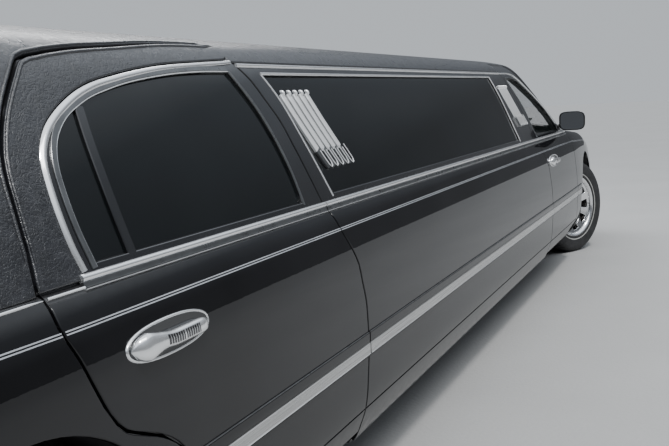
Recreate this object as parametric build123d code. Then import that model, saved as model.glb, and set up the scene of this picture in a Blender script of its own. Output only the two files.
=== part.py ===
from build123d import *
import math
import os

os.makedirs("parts", exist_ok=True)

# Stretch limousine, four doors, rear-wheel drive, on a separate ladder frame.
# Row frame: +X forward, +Y to the car's left, +Z up, origin on the floor under the middle of the car.
# Everything below is drawn in millimetres with x measured from the rear axle, and moved by -X_ORIGIN when it is written.

# ---- driving dimensions -------------------------------------------------
BASE_WHEELBASE = 2990.0
STRETCH = 3050.0
WHEELBASE = BASE_WHEELBASE + STRETCH
REAR_OVERHANG = 1430.0
FRONT_OVERHANG = 1050.0
X_ORIGIN = (WHEELBASE + FRONT_OVERHANG - REAR_OVERHANG) / 2

TYRE_R = 351.0
TYRE_W = 225.0
RIM_R = 222.0
WHEEL_Y = 800.0          # middle plane of each wheel
KINGPIN_Y = 750.0
STEER_REST = -25.0       # degrees about +Z, the front wheels stand turned to the right
ARCH_R_FRONT = 415.0
ARCH_R_REAR = 392.0
AXLE_Z = TYRE_R

GAP = 6.0                # shut line
SEAM_R = 1330.0          # rear door's front shut line, at the belt
SEAM_F = SEAM_R + STRETCH  # front door's rear shut line, at the belt
FD_FRONT = WHEELBASE - 620.0   # front door's front shut line
INNER_Y = 840.0          # inner face of doors and side walls
BELT_Z = 957.0
DRIP_Z = 1360.0
GREEN_T = 35.0           # thickness of pillars, roof and window frames
SKIN_T = 25.0

# body stations. Columns: x, half width, half width at the belt or deck edge, z of that edge, z of the deck's middle, z of the bottom edge
STATIONS = [
    (-1375.0, 900.0, 800.0, 975.0, 1000.0, 330.0),
    (-1250.0, 950.0, 850.0, 985.0, 1030.0, 300.0),
    (-900.0, 976.0, 868.0, 980.0, 1048.0, 275.0),
    (-350.0, 986.0, 890.0, 966.0, 1050.0, 245.0),
    (200.0, 989.0, 900.0, BELT_Z, 1045.0, 216.0),
    (4900.0, 989.0, 900.0, BELT_Z, 1035.0, 216.0),
    (5450.0, 987.0, 888.0, 953.0, 1020.0, 216.0),
    (6040.0, 968.0, 850.0, 921.0, 968.0, 230.0),
    (6450.0, 933.0, 800.0, 884.0, 920.0, 245.0),
    (6700.0, 895.0, 755.0, 855.0, 882.0, 265.0),
    (6870.0, 850.0, 705.0, 826.0, 848.0, 285.0),
    (6960.0, 795.0, 650.0, 800.0, 818.0, 300.0),
]
# side profile. Columns: inset from the half width, z on the doors
PROFILE = [(75.0, 216.0), (25.0, 300.0), (2.0, 470.0), (0.0, 535.0), (7.0, 700.0), (38.0, 879.0), (62.0, 925.0)]
PROFILE_MID = 535.0
# greenhouse cross-section. Columns: y, z
GREEN = [(907.0, 940.0), (900.0, BELT_Z), (828.0, 1160.0), (734.0, DRIP_Z), (690.0, 1403.0), (550.0, 1440.0), (300.0, 1470.0), (0.0, 1484.0)]
# greenhouse seen from the side, along the middle. Columns: x, z
GREEN_SIDE = [(-440.0, 900.0), (-430.0, 1010.0), (80.0, 1388.0), (250.0, 1452.0), (520.0, 1484.5), (4450.0, 1484.5), (4690.0, 1470.0), (4880.0, 1430.0), (5620.0, 990.0), (5640.0, 900.0)]
# slanted faces that turn the windscreen and the rear window into the sides, through three points. Columns: x, y, z
SCREEN_SIDE = [(4690.0, 727.0, 1372.0), (5325.0, 897.0, 965.0), (5650.0, 430.0, 965.0)]
REAR_SIDE = [(120.0, 734.0, 1360.0), (-430.0, 480.0, 1010.0), (-340.0, 884.0, 1000.0)]
# shut line between a side door and the wall behind or before it. Columns: z, x from the seam's place at the belt
SEAM_LINE = [(255.0, 42.0), (520.0, 68.0), (660.0, 72.0), (770.0, 55.0), (870.0, 0.0), (940.0, -14.0), (1060.0, -40.0), (1200.0, -72.0), (1310.0, -130.0), (1360.0, -178.0)]

pieces = {}


def prism_y(points, y0, y1):
    """Solid with an outline in x, z, from y0 to y1."""
    wire = Wire.make_polygon([(x, y0, z) for x, z in points], close=True)
    return Solid.extrude(Face(wire), Vector(0, y1 - y0, 0))


def prism_x(points, x0, x1):
    wire = Wire.make_polygon([(x0, y, z) for y, z in points], close=True)
    return Solid.extrude(Face(wire), Vector(x1 - x0, 0, 0))


def prism_z(points, z0, z1):
    wire = Wire.make_polygon([(x, y, z0) for x, y in points], close=True)
    return Solid.extrude(Face(wire), Vector(0, 0, z1 - z0))


def block(x0, x1, y0, y1, z0, z1):
    return Pos((x0 + x1) / 2, (y0 + y1) / 2, (z0 + z1) / 2) * Box(abs(x1 - x0), abs(y1 - y0), abs(z1 - z0))


def rod_y(x, z, r, y0, y1):
    return Pos(x, (y0 + y1) / 2, z) * (Rot(90, 0, 0) * Cylinder(r, abs(y1 - y0)))


def rod_x(y, z, r, x0, x1):
    return Pos((x0 + x1) / 2, y, z) * (Rot(0, 90, 0) * Cylinder(r, abs(x1 - x0)))


def rod_z(x, y, r, z0, z1):
    return Pos(x, y, (z0 + z1) / 2) * Cylinder(r, abs(z1 - z0))


def inset(points, d):
    """Closed outline moved inwards by d, or outwards where d is negative, by its edges' normals."""
    n = len(points)
    area = sum(points[i][0] * points[(i + 1) % n][1] - points[(i + 1) % n][0] * points[i][1] for i in range(n))
    s = 1.0 if area > 0 else -1.0
    out = []
    for i in range(n):
        (ax, ay), (bx, by), (cx, cy) = points[i - 1], points[i], points[(i + 1) % n]
        l1, l2 = math.hypot(bx - ax, by - ay), math.hypot(cx - bx, cy - by)
        n1 = (-(by - ay) / l1 * s, (bx - ax) / l1 * s)
        n2 = (-(cy - by) / l2 * s, (cx - bx) / l2 * s)
        k = 1.0 + n1[0] * n2[0] + n1[1] * n2[1]
        out.append((bx + d * (n1[0] + n2[0]) / k, by + d * (n1[1] + n2[1]) / k))
    return out


def lower_body(off):
    """Solid envelope of the body below the belt, moved inwards by off."""
    wires = []
    for i, (x, hw, yb, zb, zc, z0) in enumerate(STATIONS):
        k = (zb - PROFILE_MID) / (BELT_Z - PROFILE_MID)
        k0 = (PROFILE_MID - z0) / (PROFILE_MID - 216.0)
        half = [(hw - d, PROFILE_MID + (z - PROFILE_MID) * (k if z > PROFILE_MID else k0)) for d, z in PROFILE]
        half = [(hw - 130.0, z0)] + half + [(hw - 77.0, PROFILE_MID + (942.0 - PROFILE_MID) * k), (yb - 17.0, zb), (yb * 0.55, zb + 0.72 * (zc - zb))]
        loop = half + [(0.0, zc)] + [(-y, z) for y, z in reversed(half)]
        if off:
            loop = inset(loop, off)
        if off and i == 0:
            x += off
        if off and i == len(STATIONS) - 1:
            x -= off
        wires.append(Wire.make_polygon([(x, y, z) for y, z in loop], close=True))
    return Solid.make_loft(wires, ruled=True)


def greenhouse(off):
    """Solid envelope of roof, pillars and glass, moved inwards by off."""
    section = GREEN + [(-y, z) for y, z in reversed(GREEN[:-1])]
    side = list(GREEN_SIDE)
    if off:
        section = inset(section, off)
        section[0] = (section[0][0], 940.0)
        section[-1] = (section[-1][0], 940.0)
        side = inset(side, off)
        side[0] = (side[0][0], 900.0)
        side[-1] = (side[-1][0], 900.0)
    body = prism_x(section, -700.0, 5900.0) & prism_y(side, -1000.0, 1000.0)
    for points in (SCREEN_SIDE, REAR_SIDE):
        a, b, c = (Vector(*p) for p in points)
        normal = (c - a).cross(b - a).normalized()
        foot = a - normal * off
        for side in (1, -1):
            face = Plane(origin=(foot.X, side * foot.Y, foot.Z), z_dir=(normal.X, side * normal.Y, normal.Z))
            body = body - face * Pos(0, 0, 1500) * Box(6000, 6000, 3000)
    return body


def add(name, shape, both=False):
    """Keeps a piece. With both, its mirror image on the other side is in the same node."""
    if both:
        shape = Compound(children=[*shape.solids(), *mirror(shape, Plane.XZ).solids()])
    pieces[name] = shape


def sides(name, shape, spare=None):
    """Keeps the right-hand piece and its mirror image as two nodes."""
    pieces[name + "_right"] = shape
    pieces[name + "_left"] = mirror(shape, Plane.XZ)


low = lower_body(0)
low_skin = low - lower_body(SKIN_T)
green = greenhouse(0)
green_wall = green - greenhouse(GREEN_T) - low
green_flange = green - greenhouse(12.0) - low
green_back = greenhouse(12.0) - greenhouse(GREEN_T) - low
green_glass = greenhouse(12.0) - greenhouse(18.0) - low
right_slab = low & block(-1400, 7000, -1000, -INNER_Y, 200, 1100)
right_flange = (low - lower_body(SKIN_T)) & block(-1400, 7000, -1000, -INNER_Y, 200, 1100)
right_back = lower_body(SKIN_T) & block(-1400, 7000, -1000, -INNER_Y, 200, 1100)

# ---- door outlines, seen from the side. Columns: x, z -------------------
REAR_SEAM = [(SEAM_R + dx, z) for z, dx in SEAM_LINE]
FRONT_SEAM = [(SEAM_F + dx, z) for z, dx in SEAM_LINE]
DOOR_TOP = 1405.0
REAR_DOOR = REAR_SEAM + [(SEAM_R - 188, 1376), (SEAM_R - 172, DOOR_TOP), (1000, DOOR_TOP), (840, 1400), (485, 1374), (345, 1352),
             (318, 1325), (250, 1257), (200, 1178), (178, 1073), (163, 937), (160, 895), (180, 834), (204, 771), (240, 705), (262, 684), (300, 666),
             (363, 638), (425, 590), (456, 520), (462, 440), (465, 255)]
REAR_WINDOW = [(1196, 975), (1196, 1068), (1186, 1138), (1157, 1234), (1100, 1335), (995, 1335), (767, 1322), (584, 1297), (467, 1268), (380, 1227), (345, 1196), (324, 1160), (312, 1100), (310, 1040), (318, 975)]
FRONT_DOOR = [(FD_FRONT, 255), (FD_FRONT, 700), (FD_FRONT - 6, 900), (FD_FRONT - 30, BELT_Z), (5310, 963), (5245, 990), (5140, 1072), (5060, 1132), (4915, 1206), (4745, 1292),
              (4620, 1352), (4510, 1396), (4440, DOOR_TOP), (SEAM_F - 172, DOOR_TOP), (SEAM_F - 188, 1376)] + FRONT_SEAM[::-1]
FRONT_WINDOW = [(5205, 975), (5105, 1053), (5025, 1108), (4880, 1180), (4690, 1262), (4540, 1315), (4285, 1326), (4320, 1268), (4400, 1155), (4430, 1020), (4455, 975)]
CENTRE_SIDE = [(x + GAP, z - 33 * (z < 300) - 2 * (z > 1350)) for x, z in REAR_SEAM] + [(x - GAP, z - 33 * (z < 300) - 2 * (z > 1350)) for x, z in FRONT_SEAM[::-1]]
CENTRE_WINDOW = [(1397, 979), (1337, 1181), (1309, 1271), (1275, 1330), (3915, 1330), (3935, 1255), (3965, 1063), (3985, 979)]


def door(outline, window):
    """Outer flange with the full outline, and a thicker inner part that stays back from the shut line."""
    skin = (right_flange.fuse(green_flange)) & prism_y(outline, -1000, -600)
    back = (right_back.fuse(green_back)) & prism_y(inset(outline, 24.0), -1000, -600)
    whole = skin.fuse(back)
    return whole - prism_y(window, -1000, -600)


rear_door = door(REAR_DOOR, REAR_WINDOW)
front_door = door(FRONT_DOOR, FRONT_WINDOW)
sides("rear_door", rear_door)
sides("front_door", front_door)
sides("rear_door_glass", green_glass & prism_y(inset(REAR_WINDOW, 1.0), -1000, -600))
sides("front_door_glass", green_glass & prism_y(inset(FRONT_WINDOW, 1.0), -1000, -600))

centre = (right_slab.fuse(green_wall & block(1000, 4600, -1000, -600, 900, 1359))) & prism_y(CENTRE_SIDE, -1000, -600)
centre -= prism_y(CENTRE_WINDOW, -1000, -600)
sides("centre_side", centre)
add("centre_windows", green_glass & prism_y(inset(CENTRE_WINDOW, 1.0), -1000, -600), both=True)

# ---- roof with its front and rear pillars -------------------------------
roof = green_wall
for outline in (inset(REAR_DOOR, -GAP), inset(FRONT_DOOR, -GAP)):
    cutter = prism_y(outline, -1000, -600)
    roof = roof - cutter - mirror(cutter, Plane.XZ)
middle = prism_y(REAR_SEAM + FRONT_SEAM[::-1], -1000, -600)
roof = roof - middle - mirror(middle, Plane.XZ)
SCREEN = [(-745, 1040), (-640, 1396), (640, 1396), (745, 1040)]
BACKLIGHT = [(-660, 1058), (-570, 1372), (570, 1372), (660, 1058)]
screen_cut = prism_x(SCREEN, 4600, 5800)
back_cut = prism_x(BACKLIGHT, -600, 200)
roof = roof - screen_cut - back_cut
add("roof", roof)
glass_all = greenhouse(4.0) - greenhouse(10.0) - low
add("windscreen", glass_all & prism_x(inset(SCREEN, 1.0), 4600, 5800))
add("rear_window", glass_all & prism_x(inset(BACKLIGHT, 1.0), -600, 200))

# ---- lower body panels ---------------------------------------------------
BOOT_EDGE_Y = 745.0
BOOT_FRONT = -440.0
lid_plan = [(BOOT_FRONT, -BOOT_EDGE_Y), (BOOT_FRONT, BOOT_EDGE_Y), (-1300, BOOT_EDGE_Y - 45), (-1400, BOOT_EDGE_Y - 60), (-1400, -BOOT_EDGE_Y + 60), (-1300, -BOOT_EDGE_Y + 45)]
LAMP_IN_Y = 560.0
lid = (low_skin & prism_z(lid_plan, 940, 1100)).fuse(low_skin & block(-1400, -1340, -LAMP_IN_Y, LAMP_IN_Y, 640, 1000))
lid = lid & block(-1400, 0, -900, 900, 640, 1100)
add("boot_lid", lid)

quarter = low & block(-1400, 460, -1000, -560, 200, 1100)
quarter = quarter - block(-1300, 500, -INNER_Y + 90, 0, 200, 1100)
quarter = quarter - prism_z(inset(lid_plan, -GAP), 200, 1100) - prism_y(inset(REAR_DOOR, -GAP), -1000, -600)
quarter = quarter - block(BOOT_FRONT - 10, 500, -INNER_Y, 0, 200, 1100)
quarter = quarter - rod_y(0, AXLE_Z, ARCH_R_REAR, -1000, -560)
quarter = quarter - block(446, 500, -1000, -600, 200, 270)
lamp_box = block(-1400, -1285, -1000, -LAMP_IN_Y + 0, 690, 930)
quarter = quarter - lamp_box - block(-1400, -1240, -1000, -500, 200, 606)
tail_corner = prism_z([(-1420, -770), (-1377, -780), (-1371, -842), (-1349, -882), (-1322, -911), (-1287, -930), (-1287, -1000), (-1420, -1000)], 600, 935)
quarter = quarter - tail_corner
sides("quarter_panel", quarter)

lamp_tail = (low_skin & block(-1400, -1287, -1000, -LAMP_IN_Y - GAP, 692, 928)) - prism_z(inset(lid_plan, -GAP), 935, 1100)
add("tail_lamps", lamp_tail, both=True)

HOOD_REAR = 5470.0
HOOD_FRONT = 6935.0
hood_plan = [(HOOD_REAR, -832), (5560, -660), (5660, -440), (5695, -200), (5695, 200), (5660, 440), (5560, 660), (HOOD_REAR, 832), (6060, 815), (6450, 762), (6700, 712), (6870, 660), (HOOD_FRONT, 600),
             (HOOD_FRONT, -600), (6870, -660), (6700, -712), (6450, -762), (6060, -815)]
add("bonnet", low_skin & prism_z(hood_plan, 760, 1100))
COWL_FRONT = 5695.0

fender = low & block(FD_FRONT - 40, 6960, -1000, -600, 200, 1100)
fender = fender - prism_y(inset(FRONT_DOOR, -GAP), -1000, -600) - prism_z(inset(hood_plan, -GAP), 200, 1100)
fender = fender - block(FD_FRONT - 50, COWL_FRONT + 2, -INNER_Y, 0, 200, 1100)
fender = fender - block(5370, 6600, -INNER_Y + 25, 0, 200, 1100)
fender = fender - rod_y(WHEELBASE, AXLE_Z, ARCH_R_FRONT, -1000, -560)
fender = fender - block(6690, 7000, -1000, 0, 200, 606) - block(6700, 7000, -1000, 0, 625, 780)
fender = fender - block(5370, 6500, -1000, -600, 200, 262)
sides("fender", fender.solids().sort_by(lambda s: -s.volume)[0])

lamp_head = (low & block(6702, 6950, -1000, -380, 628, 777)) - prism_z([(6600, -820), (6780, -800), (6880, -690), (6890, -300), (6600, -300)], 500, 900)
lamp_head = lamp_head - prism_z(inset(hood_plan, -GAP), 700, 1100)
add("headlamps", lamp_head, both=True)
grille = (low & block(6860, 6960, -374, 374, 592, 770)) - block(6800, 6930, -340, 340, 612, 752)
for i in range(15):
    y = -322.0 + i * 46.0
    grille = grille.fuse(block(6925, 6952, y - 7, y + 7, 602, 760))
add("grille", grille)

# ---- bumpers -------------------------------------------------------------
PLATE_HOLES_Y = 88.9     # half of the number plate's hole spacing across
PLATE_HOLES_Z = 60.3     # half of the number plate's hole spacing upwards
PLATE_Z_FRONT = 450.0
PLATE_Z_REAR = 465.0
RB_PLAN = [(-1250, -966), (-1330, -945), (-1400, -860), (-1430, -600), (-1430, 600), (-1400, 860), (-1330, 945), (-1250, 966)]
RB_BACK = [(-1200, -900), (-1300, -890), (-1375, -800), (-1400, -560), (-1400, 560), (-1375, 800), (-1300, 890), (-1200, 900)]
rear_bumper = prism_z(RB_PLAN, 340, 600) - prism_z(RB_BACK, 300, 610)
rear_bumper = rear_bumper.fuse(block(-1402, -1346, -500, -420, 380, 440), block(-1402, -1346, 420, 500, 380, 440))
XF = WHEELBASE + FRONT_OVERHANG
FB_PLAN = [(6600, 930), (6700, 912), (6850, 868), (6990, 775), (7060, 620), (XF, 300), (XF, -300), (7060, -620), (6990, -775), (6850, -868), (6700, -912), (6600, -930)]
FB_BACK = [(6500, 900), (6700, 872), (6830, 830), (6955, 750), (7022, 605), (7060, 290), (7060, -290), (7022, -605), (6955, -750), (6830, -830), (6700, -872), (6500, -900)]
front_bumper = prism_z(FB_PLAN, 215, 584) - prism_z(FB_BACK, 200, 590)
front_bumper = front_bumper - block(6500, 6690, -1000, 1000, 200, 600)
front_bumper = front_bumper.fuse(block(6904, 7064, -435, -365, 320, 380), block(6904, 7064, 365, 435, 320, 380))
for y in (-PLATE_HOLES_Y, PLATE_HOLES_Y):
    for z in (-PLATE_HOLES_Z, PLATE_HOLES_Z):
        front_bumper -= rod_x(y, PLATE_Z_FRONT + z, 3.0, 7040, 7120)
        rear_bumper -= rod_x(y, PLATE_Z_REAR + z, 3.0, -1460, -1380)
add("front_bumper", front_bumper)
add("rear_bumper", rear_bumper)

# ---- floor, frame and bulkheads -------------------------------------------
FLOOR_Z = 262.0          # underside of the cabin floor
AXLE_FLOOR_Z = 505.0     # underside of the floor over the rear axle
floor_side = [(5423, FLOOR_Z), (540, FLOOR_Z), (480, AXLE_FLOOR_Z), (-396, AXLE_FLOOR_Z), (-396, AXLE_FLOOR_Z + 20), (498, AXLE_FLOOR_Z + 20), (556, FLOOR_Z + 25), (5423, FLOOR_Z + 25)]
floor = prism_y(floor_side, -INNER_Y + 2, INNER_Y - 2)
sill = prism_x([(-908, 218), (-925, 246), (-841, 246), (-841, FLOOR_Z + 5), (-780, FLOOR_Z + 5), (-780, 218)], 470, 5420)
floor = floor.fuse(sill, mirror(sill, Plane.XZ))
for y in (-1, 1):
    floor -= block(SEAM_R + 20, SEAM_F + 80, y * (INNER_Y - 2), y * 1000, 200, 300)
    floor -= block(-500, 447, y * 560, y * 1000, 400, 600)
TUNNEL_Y = 80.0
TUNNEL_Z = 420.0
tunnel = block(500, 5423, -TUNNEL_Y, TUNNEL_Y, FLOOR_Z, TUNNEL_Z)
floor = floor.fuse(tunnel) - block(400, 5500, -TUNNEL_Y + 14, TUNNEL_Y - 14, 200, TUNNEL_Z - 14)
add("floor_pan", floor)

RAIL_Y = 470.0
rail = block(440, 5425, -RAIL_Y - 45, -RAIL_Y + 45, 190, 258)
rail = rail.fuse(prism_y([(5425, 190), (5480, 300), (5480, 400), (5425, 258)], -RAIL_Y - 45, -365))
rail = rail.fuse(block(5480, 6900, -435, -365, 300, 400))
rail = rail.fuse(prism_y([(440, 190), (440, 258), (250, 500), (250, 430)], -560, -RAIL_Y + 45))
rail = rail.fuse(block(-1285, 250, -545, -485, 430, 500))
add("frame_rails", rail, both=True)
cross = [block(x - 45, x + 45, -RAIL_Y + 45, RAIL_Y - 45, 195, 250) for x in (700, 1500, 2300, 3100, 3900, 4700, 5350)]
cross += [block(x - 35, x + 35, -485, 485, 440, 490) for x in (-1240, -540, 205)]
cross += [block(6830, 6890, -365, 365, 310, 390)]
add("frame_crossmembers", Compound(children=cross))

tub = block(-1290, -440, -640, 640, 520, 540).fuse(block(-1298, -1280, -735, 735, 520, 634), block(-1336, -1288, -545, 545, 365, 600))
tub = tub.fuse(block(-440, -400, -742, 742, 520, 950))
tub = tub.fuse((low & block(-434, -240, -INNER_Y + 2, INNER_Y - 2, 940, 1100)) - block(-330, -200, -900, 900, 965, 1100))
add("boot_floor", tub)

wall = block(5482, 5510, -INNER_Y + 27, INNER_Y - 27, FLOOR_Z, 905).fuse(block(5482, 5510, -600, 600, 900, 945))
cowl = (low & block(FD_FRONT + 10, COWL_FRONT, -INNER_Y + 2, INNER_Y - 2, 940, 1100)) - prism_z(inset(hood_plan, -GAP), 900, 1100)
cowl = cowl - block(5466, 5800, -900, -815, 900, 1100) - block(5466, 5800, 815, 900, 900, 1100)
wall = wall.fuse(cowl)
wall = wall - rod_y(WHEELBASE, AXLE_Z, 440, -1000, 1000) - block(5400, 5600, -120, 120, 200, 440)
for y in (-1, 1):
    wall -= block(5400, 5600, y * 355, y * 525, 200, 408)
add("bulkhead", wall)

liner_f = (rod_y(WHEELBASE, AXLE_Z, 430, -INNER_Y + 28, -455) - rod_y(WHEELBASE, AXLE_Z, 423, -1000, -465)) - block(5000, 7000, -1000, 0, -200, 310)
liner_f = liner_f - block(WHEELBASE - 200, WHEELBASE + 200, -470, -450, 400, 560)
liner_r = (rod_y(0, AXLE_Z, 410, -INNER_Y + 92, -580) - rod_y(0, AXLE_Z, 402, -1000, -590)) - block(-1000, 1000, -1000, 0, -200, 300)
liner_r = liner_r - block(-215, 215, -605, -570, 200, AXLE_Z + 75)
add("wheel_liners", Compound(children=[*liner_f.solids(), *liner_r.solids()]), both=True)

# ---- interior --------------------------------------------------------------
seat = prism_y([(20, 530), (560, 530), (590, 555), (590, 590), (560, 612), (140, 590), (-95, 985), (-150, 995), (-200, 940), (-40, 560)], -555, 555)
add("rear_seat", seat)
bench = prism_x([(440, 290), (820, 290), (830, 320), (820, 880), (780, 895), (720, 520), (440, 530), (415, 500), (425, 320)], 1480, 4000)
add("side_bench", bench)
cabinet = prism_x([(-820, 290), (-560, 290), (-560, 760), (-600, 790), (-820, 790)], 1700, 3900)
add("bar_cabinet", cabinet)
part_wall = prism_x([(-690, 290), (690, 290), (760, 900), (780, 950), (650, 1330), (600, 1385), (-600, 1385), (-650, 1330), (-780, 950), (-760, 900)], 4235, 4270)
part_wall = part_wall - block(4200, 4300, -330, 330, 1000, 1290) - block(4200, 4300, -TUNNEL_Y - 2, TUNNEL_Y + 2, 200, TUNNEL_Z + 1)
add("partition", part_wall)
FS = [(4480, 380), (4960, 380), (4990, 420), (4990, 560), (4950, 590), (4570, 555), (4450, 1060), (4380, 1090), (4340, 1050), (4420, 480)]
fs = prism_y(FS, -650, -130).fuse(block(4500, 4900, -560, -520, 287, 380), block(4500, 4900, -260, -220, 287, 380), block(4370, 4410, -470, -310, 1080, 1230))
add("front_seats", fs, both=True)
dash = prism_y([(5230, 720), (5200, 860), (5250, 940), (5424, 962), (5424, 640), (5300, 640)], -INNER_Y + 30, INNER_Y - 30)
add("dashboard", dash)
ring = Pos(5080, 390, 905) * (Rot(0, -62, 0) * Torus(180, 15))
hub = Pos(5080, 390, 905) * (Rot(0, -62, 0) * (Cylinder(55, 40).fuse(Box(30, 362, 16), Pos(90, 0, 0) * Box(170, 30, 16))))
col = Pos(5080, 390, 905) * (Rot(0, -62, 0) * (Pos(0, 0, -100) * Cylinder(26, 170)))
add("steering_wheel", (ring.fuse(hub, col)) - dash)

# ---- drive line and running gear --------------------------------------------
add("engine", block(5640, 6320, -260, 260, 300, 800))
axle = rod_y(0, AXLE_Z, 42, -670, 670).fuse(Pos(0, 0, AXLE_Z) * Sphere(125), rod_x(0, AXLE_Z, 45, 100, 210))
axle = axle.fuse(block(-60, 60, -545, -485, AXLE_Z - 50, AXLE_Z + 60), block(-60, 60, 485, 545, AXLE_Z - 50, AXLE_Z + 60))
add("rear_axle", axle)
add("propshaft", rod_x(0, AXLE_Z, 36, 210, 5640))
silencer = Pos(-900, -250, 400) * Box(420, 260, 120)
pipe = rod_x(-250, 372, 28, -700, -400)
tail = Solid.extrude(Face(Wire.make_circle(28, Plane(origin=(-1100, -250, 372), z_dir=(-1, 0, 0)))), Vector(-310, 0, -75))
add("exhaust", silencer.fuse(tail))
add("fuel_tank", block(-480, -230, -440, 440, 330, 430))
cross = block(WHEELBASE - 90, WHEELBASE + 90, -430, 430, 190, 296)
arm = prism_z([(WHEELBASE - 160, -425), (WHEELBASE + 160, -425), (WHEELBASE + 30, -700), (WHEELBASE - 30, -700)], 205, 235)
upper = prism_z([(WHEELBASE - 120, -365), (WHEELBASE + 120, -365), (WHEELBASE + 25, -700), (WHEELBASE - 25, -700)], 480, 500)
tower = block(WHEELBASE - 60, WHEELBASE + 60, -435, -365, 400.5, 500)
side_post = block(WHEELBASE - 60, WHEELBASE + 60, -361, -330, 290, 500)
upper = upper.fuse(block(WHEELBASE - 60, WHEELBASE + 60, -400, -330, 470, 500), side_post)
front_susp = cross.fuse(arm, mirror(arm, Plane.XZ), upper, mirror(upper, Plane.XZ))
add("front_suspension", front_susp)


def wheel(x, side, front):
    """Tyre, and rim with its brake disc, at y = side * WHEEL_Y."""
    c = Pos(x, side * WHEEL_Y, AXLE_Z)
    prof = [(RIM_R + 1, -96), (262, -108), (318, -112.5), (338, -104), (TYRE_R, -82), (TYRE_R, 82), (338, 104), (318, 112.5), (262, 108), (RIM_R + 1, 96)]
    tyre = revolve(Plane.XZ * make_face(Polyline(*prof, close=True)), Axis.Z)
    rimp = [(RIM_R, -95), (RIM_R, 95), (RIM_R - 12, 95), (RIM_R - 24, 60), (RIM_R - 24, -95)]
    barrel = revolve(Plane.XZ * make_face(Polyline(*rimp, close=True)), Axis.Z)
    star = Pos(0, 0, 52) * Cylinder(72, 36)
    for i in range(7):
        star = star.fuse(Rot(0, 0, i * 360 / 7) * (Pos(135, 0, 56) * Box(150, 46, 26)))
    disc = Pos(0, 0, -22) * Cylinder(150, 24)
    neck = Pos(0, 0, 12) * Cylinder(60, 60)
    rim = barrel.fuse(star, neck, disc) - Cylinder(32, 300)
    turn = Rot(90, 0, 0) if side < 0 else Rot(-90, 0, 0)
    return c * (turn * tyre), c * (turn * rim)


def knuckle(side):
    """Upright with its stub axle, steering arm and brake caliper, straight ahead."""
    y = side * 1.0
    stub = rod_y(WHEELBASE, AXLE_Z, 31.9, y * 700, y * (WHEEL_Y + 70))
    k = stub.fuse(block(WHEELBASE - 38, WHEELBASE + 38, y * 700, y * 745, 240, 474))
    k = k.fuse(block(WHEELBASE + 30, WHEELBASE + 150, y * 700, y * 725, 280, 305))
    k = k.fuse(block(WHEELBASE - 185, WHEELBASE, y * 720, y * 745, AXLE_Z - 35, AXLE_Z + 35))
    caliper = block(WHEELBASE - 185, WHEELBASE - 100, y * 720, y * 806, AXLE_Z - 60, AXLE_Z + 60)
    return k.fuse(caliper - rod_y(WHEELBASE, AXLE_Z, 157, y * 760, y * 796))


for side, word in ((-1, "right"), (1, "left")):
    t, r = wheel(0.0, side, False)
    pieces["rear_tyre_" + word] = t
    pieces["rear_rim_" + word] = r
    t, r = wheel(WHEELBASE, side, True)
    k = knuckle(side)
    pin = Axis((WHEELBASE, side * KINGPIN_Y, 0), (0, 0, 1))
    pieces["front_tyre_" + word] = t.rotate(pin, STEER_REST)
    pieces["front_rim_" + word] = r.rotate(pin, STEER_REST)
    pieces["knuckle_" + word] = k.rotate(pin, STEER_REST)
for y in (-1, 1):
    drum = rod_y(0, AXLE_Z, 31.9, y * 660, y * (WHEEL_Y + 70))
    caliper = block(100, 185, y * 720, y * 806, AXLE_Z - 60, AXLE_Z + 60).fuse(block(0, 185, y * 640, y * 745, AXLE_Z - 30, AXLE_Z + 30))
    pieces["rear_axle"] = pieces["rear_axle"].fuse(drum, caliper - rod_y(0, AXLE_Z, 157, y * 760, y * 796))

# ---- mirrors, handles and ornamental bars -------------------------------------
mirror_head = Pos(5262, -990, 1030) * fillet(Box(90, 170, 130).edges(), 22)
mirror_arm = block(5225, 5275, -930, -880, 985, 1012)
sides("door_mirror", (mirror_head.fuse(mirror_arm)) - front_door - green - pieces["front_door_glass_right"])


def handle(x, z):
    bar = Box(190, 25, 22)
    bar = fillet(bar.edges(), 7)
    return Pos(x + 2, -974.5, z) * bar - lower_body(3.0)


for name, x in (("rear_door", 430), ("front_door", SEAM_F + 230)):
    pull = handle(x, 809)
    pieces[name + "_right"] = pieces[name + "_right"].fuse(pull)
    pieces[name + "_left"] = pieces[name + "_left"].fuse(mirror(pull, Plane.XZ))

bar_wall = greenhouse(-20.0) - greenhouse(0)
bars = []
BAR_TOP_Z, BAR_LOW_Z, BAR_PITCH, BAR_WIDTH = 1273.0, 1050.0, 41.0, 28.0
for top, lean in ((1329.0, 84.0), (4000.0, 84.0)):
    for i in range(5):
        x = top + i * BAR_PITCH
        bars += (bar_wall & prism_y([(x + lean, BAR_LOW_Z), (x + lean + BAR_WIDTH, BAR_LOW_Z), (x + BAR_WIDTH, BAR_TOP_Z), (x, BAR_TOP_Z)], -1000, -600)).solids()
add("window_bars", Compound(children=bars), both=True)

for name, shape in pieces.items():
    solids = shape.solids()
    out = Compound(children=[Pos(-X_ORIGIN, 0, 0) * s for s in solids]) if len(solids) > 1 else Pos(-X_ORIGIN, 0, 0) * solids[0]
    export_step(out, "parts/" + name + ".step")
    print(name, len(solids))
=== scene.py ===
import bpy, math
import numpy as np
from mathutils import Matrix, Vector
from mathutils.geometry import delaunay_2d_cdt


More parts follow.
